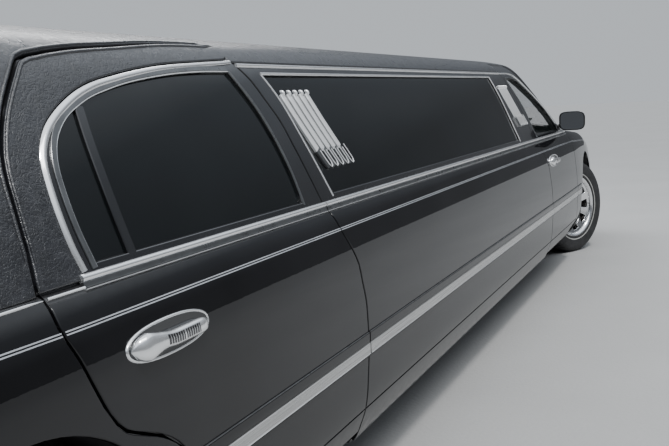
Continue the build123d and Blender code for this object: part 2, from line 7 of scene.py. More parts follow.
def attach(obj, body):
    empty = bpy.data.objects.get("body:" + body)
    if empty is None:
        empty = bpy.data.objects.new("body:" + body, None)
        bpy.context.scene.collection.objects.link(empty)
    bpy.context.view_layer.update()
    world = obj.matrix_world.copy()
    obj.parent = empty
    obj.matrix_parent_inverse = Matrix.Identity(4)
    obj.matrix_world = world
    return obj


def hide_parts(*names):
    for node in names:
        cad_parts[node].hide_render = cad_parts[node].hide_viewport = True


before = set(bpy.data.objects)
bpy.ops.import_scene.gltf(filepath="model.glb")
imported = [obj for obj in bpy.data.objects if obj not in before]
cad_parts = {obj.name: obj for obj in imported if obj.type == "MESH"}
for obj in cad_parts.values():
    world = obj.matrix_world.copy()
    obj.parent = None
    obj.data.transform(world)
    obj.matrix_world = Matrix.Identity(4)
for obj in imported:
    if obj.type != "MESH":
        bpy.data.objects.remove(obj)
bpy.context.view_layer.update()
XO = 2.83                      # rear axle is this far behind the frame's origin

# ------------------------------------------------------------------ camera
cam_data = bpy.data.cameras.new("camera")
cam = bpy.data.objects.new("camera", cam_data)
bpy.context.collection.objects.link(cam)
yaw, pitch, roll = 0.42094, -0.13450, -0.05547
fwd = Vector((math.cos(pitch) * math.cos(yaw), math.cos(pitch) * math.sin(yaw), math.sin(pitch)))
right = Vector((math.sin(yaw), -math.cos(yaw), 0.0))
up = right.cross(fwd)
r = right * math.cos(roll) + up * math.sin(roll)
u = -right * math.sin(roll) + up * math.cos(roll)
m = Matrix((r, u, -fwd)).transposed().to_4x4()
m.translation = Vector((-0.9717 - XO, -1.962, 1.241))
cam.matrix_world = m
cam_data.sensor_width = 36.0
cam_data.lens = 889.69 / 669.0 * 36.0
cam_data.clip_start, cam_data.clip_end = 0.02, 200.0
bpy.context.scene.camera = cam


# ------------------------------------------------------------------ materials
MATS = {}


def new_mat(name, color, rough=0.5, metal=0.0, coat=0.0, coat_rough=0.03, ior=1.5, spec=0.5, alpha=1.0, sheen=0.0, transmission=0.0, emission=None):
    k = bpy.data.materials.new(name)
    k.use_nodes = True
    b = k.node_tree.nodes["Principled BSDF"]
    i = b.inputs
    i["Base Color"].default_value = (*color, 1)
    i["Roughness"].default_value = rough
    i["Metallic"].default_value = metal
    i["Coat Weight"].default_value = coat
    i["Coat Roughness"].default_value = coat_rough
    i["IOR"].default_value = ior
    i["Specular IOR Level"].default_value = spec
    i["Alpha"].default_value = alpha
    i["Transmission Weight"].default_value = transmission
    if sheen:
        i["Sheen Weight"].default_value = sheen
    if emission:
        i["Emission Color"].default_value = (*emission, 1)
        i["Emission Strength"].default_value = 1.0
    MATS[name] = k
    return k


def N(k, kind, **sets):
    n = k.node_tree.nodes.new(kind)
    for a, b in sets.items():
        setattr(n, a, b)
    return n


def link(k, a, b):
    k.node_tree.links.new(a, b)


def bsdf(k):
    return k.node_tree.nodes["Principled BSDF"]


def coords(k, scale=(1, 1, 1)):
    t = N(k, "ShaderNodeTexCoord")
    mp = N(k, "ShaderNodeMapping")
    mp.inputs["Scale"].default_value = scale
    link(k, t.outputs["Object"], mp.inputs["Vector"])
    return mp.outputs["Vector"]


def noise(k, vec, scale, detail=3.0, rough=0.5, dist=0.0):
    n = N(k, "ShaderNodeTexNoise")
    link(k, vec, n.inputs["Vector"])
    n.inputs["Scale"].default_value = scale
    n.inputs["Detail"].default_value = detail
    n.inputs["Roughness"].default_value = rough
    n.inputs["Distortion"].default_value = dist
    return n.outputs["Fac"]


def ramp(k, fac, stops):
    n = N(k, "ShaderNodeValToRGB")
    link(k, fac, n.inputs["Fac"])
    el = n.color_ramp.elements
    while len(el) < len(stops):
        el.new(0.5)
    for e, (p, c) in zip(el, stops):
        e.position = p
        e.color = (*c, 1) if hasattr(c, "__len__") else (c, c, c, 1)
    return n.outputs["Color"]


def bump(k, height, strength, distance, normal=None):
    n = N(k, "ShaderNodeBump")
    n.inputs["Strength"].default_value = strength
    n.inputs["Distance"].default_value = distance
    link(k, height, n.inputs["Height"])
    if normal is not None:
        link(k, normal, n.inputs["Normal"])
    return n.outputs["Normal"]


def vary(k, base, lo, hi, scale, detail=4.0, vec=None):
    """Colour that drifts between base*lo and base*hi."""
    vec = vec or coords(k)
    f = noise(k, vec, scale, detail, 0.55)
    c = ramp(k, f, [(0.3, tuple(v * lo for v in base)), (0.7, tuple(min(1, v * hi) for v in base))])
    link(k, c, bsdf(k).inputs["Base Color"])
    return f


def rough_vary(k, lo, hi, scale, detail=4.0, vec=None):
    vec = vec or coords(k)
    f = noise(k, vec, scale, detail, 0.6)
    n = N(k, "ShaderNodeMapRange")
    link(k, f, n.inputs["Value"])
    n.inputs["From Min"].default_value, n.inputs["From Max"].default_value = 0.3, 0.7
    n.inputs["To Min"].default_value, n.inputs["To Max"].default_value = lo, hi
    link(k, n.outputs["Result"], bsdf(k).inputs["Roughness"])


# gloss black paint: dark base, clear coat, faint orange peel and dust
k = new_mat("black_paint", (0.006, 0.006, 0.0068), rough=0.28, coat=0.85, coat_rough=0.012, ior=1.5, spec=0.0)
v = coords(k)
nb = bump(k, noise(k, v, 210.0, 1.0, 0.4), 0.012, 0.0012, bump(k, noise(k, v, 3.2, 2.0, 0.45), 0.10, 0.004))
link(k, nb, bsdf(k).inputs["Coat Normal"])
link(k, nb, bsdf(k).inputs["Normal"])
vary(k, (0.006, 0.006, 0.0068), 0.8, 1.5, 2.5, vec=v)
rough_vary(k, 0.22, 0.36, 7.0, vec=v)

# plain black paint of structure behind the skins
k = new_mat("inner_paint", (0.008, 0.008, 0.009), rough=0.45, coat=0.3, coat_rough=0.1)
v = coords(k)
vary(k, (0.008, 0.008, 0.009), 0.7, 1.6, 9.0, vec=v)
link(k, bump(k, noise(k, v, 160.0, 2.0), 0.06, 0.001), bsdf(k).inputs["Normal"])

# padded black vinyl with a crinkled grain
k = new_mat("vinyl_roof", (0.012, 0.0125, 0.0145), rough=0.3, coat=0.5, coat_rough=0.16, spec=0.6)
v = coords(k)
dis = N(k, "ShaderNodeTexNoise")
link(k, v, dis.inputs["Vector"]); dis.inputs["Scale"].default_value = 34.0; dis.inputs["Detail"].default_value = 3.0
dsc = N(k, "ShaderNodeVectorMath", operation="SCALE"); link(k, dis.outputs["Color"], dsc.inputs[0]); dsc.inputs["Scale"].default_value = 0.03
dad = N(k, "ShaderNodeVectorMath", operation="ADD"); link(k, v, dad.inputs[0]); link(k, dsc.outputs[0], dad.inputs[1])
w1 = N(k, "ShaderNodeTexVoronoi", feature="DISTANCE_TO_EDGE")
link(k, dad.outputs[0], w1.inputs["Vector"])
w1.inputs["Scale"].default_value = 95.0
c1 = ramp(k, w1.outputs["Distance"], [(0.0, 0.0), (0.13, 0.75), (0.5, 1.0)])
w2 = N(k, "ShaderNodeTexVoronoi", feature="DISTANCE_TO_EDGE")
link(k, dad.outputs[0], w2.inputs["Vector"])
w2.inputs["Scale"].default_value = 230.0
g2 = noise(k, v, 24.0, 4.0, 0.6, 0.8)
nb = bump(k, w2.outputs["Distance"], 0.35, 0.0014, bump(k, c1, 0.22, 0.0016, bump(k, g2, 0.30, 0.005, bump(k, noise(k, v, 3.0, 3.0), 0.25, 0.012))))
link(k, nb, bsdf(k).inputs["Normal"])
link(k, nb, bsdf(k).inputs["Coat Normal"])
vary(k, (0.0125, 0.013, 0.0155), 0.7, 1.5, 40.0, vec=v)
rough_vary(k, 0.24, 0.42, 30.0, vec=v)

# bright chrome, with slight polish haze
k = new_mat("chrome_trim", (0.93, 0.935, 0.94), rough=0.14, metal=0.84)
v = coords(k)
rough_vary(k, 0.11, 0.18, 22.0, vec=v)
link(k, bump(k, noise(k, v, 60.0, 2.0), 0.03, 0.0008), bsdf(k).inputs["Normal"])
vary(k, (0.93, 0.935, 0.94), 0.95, 1.02, 12.0, vec=v)

k = new_mat("wheel_chrome", (0.84, 0.845, 0.85), rough=0.16, metal=1.0)
v = coords(k)
rough_vary(k, 0.11, 0.24, 18.0, vec=v)
link(k, bump(k, noise(k, v, 45.0, 2.0), 0.05, 0.0008), bsdf(k).inputs["Normal"])
vary(k, (0.84, 0.845, 0.85), 0.9, 1.03, 15.0, vec=v)

# cast bars with a softer polish, only half metallic: the near-white diffuse half is a painted reflection that stands in
# for the bright sky the chrome would mirror
k = new_mat("bar_chrome_painted_sheen", (0.95, 0.955, 0.96), rough=0.22, metal=0.5)
v = coords(k)
rough_vary(k, 0.19, 0.25, 12.0, vec=v)
vary(k, (0.95, 0.955, 0.96), 0.97, 1.0, 10.0, vec=v)

# satin grey strip inside the bright window surround and in the belt moulding
k = new_mat("satin_grey", (0.17, 0.175, 0.18), rough=0.3, metal=0.85)
v = coords(k)
rough_vary(k, 0.24, 0.38, 30.0, vec=v)
vary(k, (0.17, 0.175, 0.18), 0.85, 1.15, 20.0, vec=v)
link(k, bump(k, noise(k, v, 130.0, 2.0), 0.04, 0.0008), bsdf(k).inputs["Normal"])

k = new_mat("brushed_strip", (0.46, 0.46, 0.455), rough=0.28, metal=0.6)
v = coords(k, (0.4, 60, 60))
rough_vary(k, 0.2, 0.38, 9.0, vec=v)
vary(k, (0.46, 0.46, 0.455), 0.88, 1.1, 6.0, vec=v)
link(k, bump(k, noise(k, v, 20.0, 2.0), 0.06, 0.0006), bsdf(k).inputs["Normal"])

k = new_mat("pinstripe", (0.52, 0.54, 0.57), rough=0.25, metal=0.35, coat=1.0, coat_rough=0.015)
v = coords(k)
vary(k, (0.52, 0.54, 0.57), 0.9, 1.1, 30.0, vec=v)

# tinted and clear glass
k = new_mat("dark_glass", (0.004, 0.005, 0.0055), rough=0.02, coat=0.0, ior=1.52, alpha=0.93)
v = coords(k)
link(k, bump(k, noise(k, v, 1.6, 2.0), 0.05, 0.004), bsdf(k).inputs["Normal"])
vary(k, (0.004, 0.005, 0.0055), 0.8, 1.3, 3.0, vec=v)
k = new_mat("clear_glass", (0.02, 0.026, 0.024), rough=0.015, ior=1.52, alpha=0.15)
v = coords(k)
link(k, bump(k, noise(k, v, 1.8, 2.0), 0.04, 0.004), bsdf(k).inputs["Normal"])
vary(k, (0.02, 0.026, 0.024), 0.85, 1.2, 3.0, vec=v)

# rubbers and plastics
k = new_mat("tyre_rubber", (0.021, 0.021, 0.022), rough=0.62, spec=0.4)
v = coords(k)
vary(k, (0.021, 0.021, 0.022), 0.7, 1.5, 14.0, vec=v)
rough_vary(k, 0.5, 0.75, 25.0, vec=v)
link(k, bump(k, noise(k, v, 190.0, 3.0), 0.12, 0.001), bsdf(k).inputs["Normal"])
k = new_mat("tyre_ring", (0.42, 0.42, 0.40), rough=0.55)
v = coords(k)
vary(k, (0.42, 0.42, 0.40), 0.8, 1.1, 30.0, vec=v)
k = new_mat("rubber_trim", (0.013, 0.013, 0.0135), rough=0.5, spec=0.4)
v = coords(k)
vary(k, (0.013, 0.013, 0.0135), 0.75, 1.5, 25.0, vec=v)
link(k, bump(k, noise(k, v, 260.0, 2.0), 0.08, 0.0008), bsdf(k).inputs["Normal"])
k = new_mat("interior_plastic", (0.03, 0.03, 0.032), rough=0.55)
v = coords(k)
vary(k, (0.03, 0.03, 0.032), 0.8, 1.3, 10.0, vec=v)
vo = N(k, "ShaderNodeTexVoronoi", feature="F1")
link(k, v, vo.inputs["Vector"]); vo.inputs["Scale"].default_value = 420.0
link(k, bump(k, vo.outputs["Distance"], 0.25, 0.0007), bsdf(k).inputs["Normal"])
k = new_mat("gloss_black", (0.008, 0.008, 0.009), rough=0.16, coat=0.8, coat_rough=0.03)
v = coords(k)
vary(k, (0.008, 0.008, 0.009), 0.8, 1.4, 6.0, vec=v)
link(k, bump(k, noise(k, v, 9.0, 2.0), 0.05, 0.003), bsdf(k).inputs["Normal"])

# leather, carpet, headlining
k = new_mat("seat_leather", (0.085, 0.082, 0.080), rough=0.42, spec=0.5, sheen=0.05)
v = coords(k)
vo = N(k, "ShaderNodeTexVoronoi", feature="DISTANCE_TO_EDGE")
link(k, v, vo.inputs["Vector"]); vo.inputs["Scale"].default_value = 330.0
nb = bump(k, vo.outputs["Distance"], 0.4, 0.0012, bump(k, noise(k, v, 14.0, 4.0, 0.6), 0.3, 0.006))
link(k, nb, bsdf(k).inputs["Normal"])
vary(k, (0.085, 0.082, 0.080), 0.75, 1.25, 9.0, vec=v)
rough_vary(k, 0.34, 0.52, 20.0, vec=v)
k = new_mat("carpet", (0.035, 0.034, 0.036), rough=0.95, sheen=0.3)
v = coords(k)
vary(k, (0.035, 0.034, 0.036), 0.6, 1.5, 180.0, vec=v)
link(k, bump(k, noise(k, v, 420.0, 3.0), 0.7, 0.003), bsdf(k).inputs["Normal"])
k = new_mat("headlining", (0.22, 0.21, 0.2), rough=0.9, sheen=0.2)
v = coords(k)
vary(k, (0.22, 0.21, 0.2), 0.9, 1.1, 60.0, vec=v)
link(k, bump(k, noise(k, v, 500.0, 2.0), 0.4, 0.0015), bsdf(k).inputs["Normal"])
k = new_mat("veneer", (0.10, 0.038, 0.014), rough=0.3, coat=0.8, coat_rough=0.05)
v = coords(k, (1.5, 18, 18))
vary(k, (0.10, 0.038, 0.014), 0.45, 1.7, 3.0, vec=v)

# under the car
k = new_mat("underbody_black", (0.014, 0.014, 0.014), rough=0.8)
v = coords(k)
vary(k, (0.02, 0.0185, 0.017), 0.5, 1.8, 7.0, vec=v)
link(k, bump(k, noise(k, v, 70.0, 4.0), 0.35, 0.003), bsdf(k).inputs["Normal"])
k = new_mat("exhaust_steel", (0.22, 0.205, 0.19), rough=0.45, metal=0.9)
v = coords(k)
vary(k, (0.22, 0.19, 0.165), 0.5, 1.4, 11.0, vec=v)
rough_vary(k, 0.35, 0.65, 16.0, vec=v)
k = new_mat("bare_steel", (0.27, 0.26, 0.25), rough=0.4, metal=0.95)
v = coords(k)
vary(k, (0.27, 0.25, 0.235), 0.6, 1.3, 18.0, vec=v)
rough_vary(k, 0.28, 0.55, 30.0, vec=v)
k = new_mat("engine_iron", (0.07, 0.07, 0.07), rough=0.6, metal=0.6)
v = coords(k)
vary(k, (0.07, 0.068, 0.065), 0.6, 1.5, 12.0, vec=v)
link(k, bump(k, noise(k, v, 90.0, 3.0), 0.4, 0.002), bsdf(k).inputs["Normal"])

# lamps
k = new_mat("lamp_clear", (0.85, 0.87, 0.88), rough=0.03, ior=1.5, alpha=0.22, coat=1.0, coat_rough=0.02)
v = coords(k)
vary(k, (0.85, 0.87, 0.88), 0.95, 1.02, 6.0, vec=v)
k = new_mat("lamp_red", (0.30, 0.006, 0.008), rough=0.08, ior=1.5, alpha=0.93, coat=1.0, coat_rough=0.02)
v = coords(k, (1, 1, 1))
wv = N(k, "ShaderNodeTexWave", bands_direction="Z")
link(k, v, wv.inputs["Vector"]); wv.inputs["Scale"].default_value = 30.0
link(k, bump(k, wv.outputs["Fac"], 0.35, 0.003), bsdf(k).inputs["Normal"])
vary(k, (0.30, 0.006, 0.008), 0.7, 1.2, 14.0, vec=v)
k = new_mat("lamp_amber", (0.55, 0.16, 0.008), rough=0.08, ior=1.5, alpha=0.9, coat=1.0, coat_rough=0.02)
v = coords(k)
vary(k, (0.55, 0.16, 0.008), 0.8, 1.1, 14.0, vec=v)
k = new_mat("reflector", (0.85, 0.86, 0.87), rough=0.12, metal=1.0)
v = coords(k)
vary(k, (0.85, 0.86, 0.87), 0.9, 1.05, 20.0, vec=v)
k = new_mat("mirror_glass", (0.10, 0.106, 0.115), rough=0.02, metal=1.0)
v = coords(k)
vary(k, (0.10, 0.106, 0.115), 0.95, 1.03, 5.0, vec=v)
k = new_mat("plate_white", (0.55, 0.56, 0.56), rough=0.4, coat=0.3)
v = coords(k)
vary(k, (0.55, 0.56, 0.56), 0.92, 1.05, 16.0, vec=v)

# CAD nodes that stay in view
NODE_MAT = {
    "floor_pan": "underbody_black", "frame_rails": "underbody_black", "frame_crossmembers": "underbody_black",
    "boot_floor": "carpet", "bulkhead": "rubber_trim", "wheel_liners": "underbody_black",
    "bar_cabinet": "veneer", "partition": "interior_plastic",
    "dashboard": "interior_plastic", "engine": "engine_iron", "rear_axle": "engine_iron",
    "propshaft": "bare_steel", "exhaust": "exhaust_steel", "fuel_tank": "underbody_black", "front_suspension": "underbody_black",
    "knuckle_right": "bare_steel", "knuckle_left": "bare_steel",
}
for name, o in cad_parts.items():
    o.data.materials.clear()
    o.data.materials.append(MATS[NODE_MAT.get(name, "inner_paint")])


# ------------------------------------------------------------------ smooth body surfaces
def pchip_setup(xs, V):
    """Monotone cubic slopes of the columns V (m, ...) over xs (m)."""
    h = np.diff(xs).reshape((-1,) + (1,) * (V.ndim - 1))
    d = np.diff(V, axis=0) / h
    D = np.zeros_like(V)
    w1, w2 = 2 * h[1:] + h[:-1], h[1:] + 2 * h[:-1]
    same = d[:-1] * d[1:] > 0
    with np.errstate(divide="ignore", invalid="ignore"):
        hm = (w1 + w2) / (w1 / d[:-1] + w2 / d[1:])
    D[1:-1] = np.where(same, hm, 0.0)
    D[0], D[-1] = d[0], d[-1]
    return D


def pchip(xs, V, D, x):
    i = np.clip(np.searchsorted(xs, x) - 1, 0, len(xs) - 2)
    h = xs[i + 1] - xs[i]
    t = np.clip((x - xs[i]) / h, -0.3, 1.3)
    sh = (-1,) + (1,) * (V.ndim - 1)
    t, h = t.reshape(sh), h.reshape(sh)
    return ((2 * t ** 3 - 3 * t ** 2 + 1) * V[i] + (t ** 3 - 2 * t ** 2 + t) * h * D[i] + (-2 * t ** 3 + 3 * t ** 2) * V[i + 1] + (t ** 3 - t ** 2) * h * D[i + 1])


# the body's own tables, in metres. Columns: x, half width, half width at the deck edge, z of that edge, z of the deck's middle, z of the bottom edge
STATIONS = np.array([
    (-1.375, 0.900, 0.800, 0.975, 1.000, 0.330),
    (-1.250, 0.950, 0.850, 0.985, 1.030, 0.300),
    (-0.900, 0.976, 0.868, 0.980, 1.048, 0.275),
    (-0.350, 0.986, 0.890, 0.966, 1.050, 0.245),
    (0.200, 0.989, 0.900, 0.957, 1.045, 0.216),
    (4.900, 0.989, 0.900, 0.957, 1.035, 0.216),
    (5.450, 0.987, 0.888, 0.953, 1.020, 0.216),
    (6.040, 0.968, 0.850, 0.921, 0.968, 0.230),
    (6.450, 0.933, 0.800, 0.884, 0.920, 0.245),
    (6.700, 0.895, 0.755, 0.855, 0.882, 0.265),
    (6.870, 0.850, 0.705, 0.826, 0.848, 0.285),
    (6.960, 0.795, 0.650, 0.800, 0.818, 0.300),
])
PROFILE = [(0.075, 0.216), (0.025, 0.300), (0.002, 0.470), (0.0, 0.535), (0.007, 0.700), (0.038, 0.879), (0.062, 0.925)]
MID, BELT = 0.535, 0.957
LX = STATIONS[:, 0]


def low_columns():
    rows = []
    for x, hw, yb, zb, zc, z0 in STATIONS:
        k1, k0 = (zb - MID) / (BELT - MID), (MID - z0) / (MID - 0.216)
        half = [(hw - 0.130, z0)] + [(hw - d, MID + (z - MID) * (k1 if z > MID else k0)) for d, z in PROFILE]
        half += [(hw - 0.077, MID + (0.942 - MID) * k1), (yb - 0.017, zb), (yb * 0.55, zb + 0.72 * (zc - zb)), (0.0, zc)]
        rows.append(half)
    return np.array(rows)


LV = low_columns()
LD = pchip_setup(LX, LV)
LN = LV.shape[1] - 1
_ref = LV[4]
LS = np.concatenate([[0], np.cumsum(np.linalg.norm(np.diff(_ref, axis=0), axis=1))])     # metres along the section at each vertex


def low_raw(x, v):
    """Point of the lower body at x and section length v, on the car's left."""
    x, v = np.asarray(x, float), np.asarray(v, float)
    s = np.interp(v, LS, np.arange(LN + 1.0))
    V = pchip(LX, LV, LD, x)
    seg = np.diff(V, axis=1)
    L = np.linalg.norm(seg, axis=2, keepdims=True)
    d = seg / L
    T = np.empty_like(V)
    T[:, 0], T[:, -1] = d[:, 0], (-1.0, 0.0)
    T[:, 1:-1] = (d[:, :-1] * L[:, 1:] + d[:, 1:] * L[:, :-1]) / (L[:, :-1] + L[:, 1:])
    j = np.clip(np.floor(s).astype(int), 0, LN - 1)
    a = np.arange(len(x))
    t = (s - j)[:, None]
    Lj = L[a, j]
    P = (2 * t ** 3 - 3 * t ** 2 + 1) * V[a, j] + (t ** 3 - 2 * t ** 2 + t) * Lj * T[a, j] + (-2 * t ** 3 + 3 * t ** 2) * V[a, j + 1] + (t ** 3 - t ** 2) * Lj * T[a, j + 1]
    return np.column_stack([x, P])


def surf_normals(raw, u, v, e=0.0015):
    du = raw(u + e, v) - raw(u - e, v)
    dv = raw(u, v + e) - raw(u, v - e)
    n = np.cross(dv, du)
    return n / np.maximum(np.linalg.norm(n, axis=1, keepdims=True), 1e-12)


def low_surf(u, v):
    u, v = np.asarray(u, float), np.asarray(v, float)
    return low_raw(u, v), surf_normals(low_raw, u, np.clip(v, LS[0] + 0.002, LS[-1] - 0.002))


def low_side(points):
    """Outline given in x, z on the body side, in the surface's own coordinates."""
    p = np.array(points, float)
    lo, hi = np.full(len(p), LS[0]), np.full(len(p), LS[9])
    for _ in range(26):
        mid = (lo + hi) / 2
        z = low_raw(p[:, 0], mid)[:, 2]
        lo, hi = np.where(z < p[:, 1], mid, lo), np.where(z < p[:, 1], hi, mid)
    return np.column_stack([p[:, 0], (lo + hi) / 2])


def low_top(points):
    """Outline given in x, y on the deck."""
    p = np.array(points, float)
    lo, hi = np.full(len(p), LS[7]), np.full(len(p), LS[-1])
    for _ in range(26):
        mid = (lo + hi) / 2
        y = low_raw(p[:, 0], mid)[:, 1]
        lo, hi = np.where(y > p[:, 1], mid, lo), np.where(y > p[:, 1], hi, mid)
    return np.column_stack([p[:, 0], (lo + hi) / 2])


GREEN = [(0.900, 0.957), (0.828, 1.160), (0.734, 1.360), (0.690, 1.403), (0.550, 1.440), (0.300, 1.470), (0.0, 1.484)]
GREEN_SIDE = [(-0.440, 0.900), (-0.430, 1.010), (0.080, 1.388), (0.250, 1.452), (0.520, 1.4845), (4.450, 1.4845), (4.690, 1.470), (4.880, 1.430), (5.620, 0.990), (5.640, 0.900)]
FACETS = [((4.690, 0.727, 1.372), (5.325, 0.897, 0.965), (5.650, 0.430, 0.965)), ((0.120, 0.734, 1.360), (-0.430, 0.480, 1.010), (-0.340, 0.884, 1.000))]
KS = 0.008                     # softness of the greenhouse's creases
ZC = 0.72                      # height of the polar centre


def green_planes():
    rows = []
    for (y0, z0), (y1, z1) in zip(GREEN[:-1], GREEN[1:]):
        n = np.array((0.0, z1 - z0, y0 - y1)); n /= np.linalg.norm(n)
        rows.append((*n, n[1] * y0 + n[2] * z0))
        rows.append((0.0, -n[1], n[2], n[1] * y0 + n[2] * z0))
    for (x0, z0), (x1, z1) in zip(GREEN_SIDE[:-1], GREEN_SIDE[1:]):
        n = np.array((-(z1 - z0), 0.0, x1 - x0)); n /= np.linalg.norm(n)
        rows.append((*n, n[0] * x0 + n[2] * z0))
    for a, b, c in FACETS:
        a, b, c = map(np.array, (a, b, c))
        n = np.cross(c - a, b - a); n /= np.linalg.norm(n)
        rows.append((*n, n @ a))
        rows.append((n[0], -n[1], n[2], n @ a))
    return np.array(rows)


GP = green_planes()
GC = KS * math.log(2.0)


def green_f(p):
    h = (p @ GP[:, :3].T - GP[:, 3]) / KS
    m = h.max(axis=1, keepdims=True)
    e = np.exp(h - m)
    tot = e.sum(axis=1, keepdims=True)
    g = (e / tot) @ GP[:, :3]
    return KS * (m[:, 0] + np.log(tot[:, 0])) - GC, g


def green_hit(p, d):
    """From points outside, along directions d towards the body, the surface point."""
    p = np.array(p, float)
    for _ in range(40):
        f, g = green_f(p)
        step = f / np.maximum(-(g * d).sum(axis=1), 0.05)
        p = p + d * step[:, None]
        if np.abs(f).max() < 1e-7:
            break
    g = green_f(p)[1]
    return p, g / np.linalg.norm(g, axis=1, keepdims=True)


def green_surf(u, v):
    """Polar chart: u is x, v is the angle from the left horizontal times 0.8."""
    a = np.asarray(v, float) / 0.8
    d = np.column_stack([np.zeros_like(a), -np.cos(a), -np.sin(a)])
    p = np.column_stack([np.asarray(u, float), 1.6 * np.cos(a), ZC + 1.6 * np.sin(a)])
    return green_hit(p, d)


def green_map(p):
    return np.column_stack([p[:, 0], 0.8 * np.arctan2(p[:, 2] - ZC, p[:, 1])])


def green_y(points):
    """Points on the left side from x, z."""
    q = np.array(points, float)
    p = np.column_stack([q[:, 0], np.full(len(q), 1.3), q[:, 1]])
    return green_hit(p, np.tile((0.0, -1.0, 0.0), (len(q), 1)))


def green_z(points):
    q = np.array(points, float)
    p = np.column_stack([q[:, 0], q[:, 1], np.full(len(q), 1.7)])
    return green_hit(p, np.tile((0.0, 0.0, -1.0), (len(q), 1)))


def green_x(points, end):
    """Points on the windscreen (end=1) or the rear window (end=-1) from y, z."""
    q = np.array(points, float)
    p = np.column_stack([np.full(len(q), 6.2 if end > 0 else -1.0), q[:, 0], q[:, 1]])
    return green_hit(p, np.tile((-float(end), 0.0, 0.0), (len(q), 1)))


def green_side(points):
    return green_map(green_y(points)[0])


def top_surf(u, v):
    """Plan chart: u is x, v is y."""
    return green_z(np.column_stack([u, v]))


# ------------------------------------------------------------------ mesh making
OBJ = {}


def emit(name, verts, faces, body, mat, slot=None, loop_normals=None, side=None, smooth=True, mats=None, face_mats=None, sharp=None):
    """Makes one mesh piece, given on the car's left with x from the rear axle. side -1 mirrors it to the right."""
    V = np.array(verts, float).copy()
    V[:, 0] -= XO
    if side == -1:
        V[:, 1] *= -1
        faces = [tuple(reversed(f)) for f in faces]
        if loop_normals is not None:
            out, i = [], 0
            for f in faces:
                out.extend(reversed([(a, -b, c) for a, b, c in loop_normals[i:i + len(f)]]))
                i += len(f)
            loop_normals = out
    me = bpy.data.meshes.new(name)
    me.from_pydata([tuple(p) for p in V], [], faces)
    for mn in (mats or [mat]):
        me.materials.append(MATS[mn])
    if face_mats is not None:
        me.polygons.foreach_set("material_index", np.array(face_mats, np.int32))
    if smooth:
        me.polygons.foreach_set("use_smooth", [True] * len(me.polygons))
    if loop_normals is not None:
        me.normals_split_custom_set([tuple(n) for n in loop_normals])
    elif sharp:
        me.set_sharp_from_angle(angle=math.radians(sharp))
    o = bpy.data.objects.new(name, me)
    bpy.context.collection.objects.link(o)
    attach(o, body)
    OBJ[name] = o
    return o


def poly_area(p):
    return 0.5 * np.sum(p[:, 0] * np.roll(p[:, 1], -1) - np.roll(p[:, 0], -1) * p[:, 1])


def clean(p, tol=1e-5):
    keep = [i for i in range(len(p)) if np.linalg.norm(p[i] - p[i - 1]) > tol]
    return p[keep]


def round_corners(p, radius, min_turn=14.0, n=5):
    """Closed outline with its corners turned into arcs."""
    p = clean(np.array(p, float))
    out, m = [], len(p)
    for i in range(m):
        a, b, c = p[i - 1], p[i], p[(i + 1) % m]
        d1, d2 = b - a, c - b
        l1, l2 = np.linalg.norm(d1), np.linalg.norm(d2)
        d1, d2 = d1 / l1, d2 / l2
        turn = math.degrees(math.acos(np.clip(d1 @ d2, -1, 1)))
        if turn < min_turn or radius <= 0:
            out.append(b)
            continue
        t = min(radius * math.tan(math.radians(turn) / 2), 0.45 * l1, 0.45 * l2)
        s, e = b - d1 * t, b + d2 * t
        for q in np.linspace(0, 1, n):
            out.append((1 - q) ** 2 * s + 2 * q * (1 - q) * b + q ** 2 * e)
    return clean(np.array(out))


def smooth_line(p, closed=False, step=0.02, corner=35.0):
    """Cubic through points given in order, keeping corners sharper than corner degrees."""
    p = np.array(p, float)
    m = len(p)
    idx = range(m if closed else m - 1)
    L = [np.linalg.norm(p[(i + 1) % m] - p[i]) for i in idx]
    D = [(p[(i + 1) % m] - p[i]) / max(L[i], 1e-9) for i in idx]

    def tangent(i, which):
        if closed:
            a, b, la, lb = D[i - 1], D[i % m], L[i - 1], L[i % m]
        else:
            if i == 0:
                return D[0]
            if i == m - 1:
                return D[-1]
            a, b, la, lb = D[i - 1], D[i], L[i - 1], L[i]
        if math.degrees(math.acos(np.clip(a @ b, -1, 1))) > corner:
            return a if which == "in" else b
        return (a * lb + b * la) / (la + lb)
    out = []
    for i in idx:
        T0, T1 = tangent(i, "out"), tangent((i + 1) % m if closed else i + 1, "in")
        n = max(1, int(math.ceil(L[i] / step)))
        for q in range(n):
            t = q / n
            out.append((2 * t ** 3 - 3 * t ** 2 + 1) * p[i] + (t ** 3 - 2 * t ** 2 + t) * L[i] * T0 + (-2 * t ** 3 + 3 * t ** 2) * p[(i + 1) % m] + (t ** 3 - t ** 2) * L[i] * T1)
    if not closed:
        out.append(p[-1])
    return np.array(out)


def densify(p, step):
    out = []
    for i in range(len(p)):
        a, b = p[i], p[(i + 1) % len(p)]
        n = max(1, int(math.ceil(np.linalg.norm(b - a) / step)))
        for q in range(n):
            out.append(a + (b - a) * q / n)
    return np.array(out)


def offset_loop(p, d):
    """Closed loop moved by d to its left-hand side."""
    e = np.roll(p, -1, axis=0) - p
    e /= np.maximum(np.linalg.norm(e, axis=1, keepdims=True), 1e-12)
    n = np.column_stack([-e[:, 1], e[:, 0]])
    n0 = np.roll(n, 1, axis=0)
    k = 1.0 + (n * n0).sum(axis=1, keepdims=True)
    return p + d * (n + n0) / np.maximum(k, 0.35)


def inside(poly, pts):
    x, y = pts[:, 0], pts[:, 1]
    r = np.zeros(len(pts), bool)
    a = poly
    b = np.roll(poly, -1, axis=0)
    for (x0, y0), (x1, y1) in zip(a, b):
        c = (y0 > y) != (y1 > y)
        with np.errstate(divide="ignore", invalid="ignore"):
            xi = (x1 - x0) * (y - y0) / (y1 - y0) + x0
        r ^= c & (x < xi)
    return r


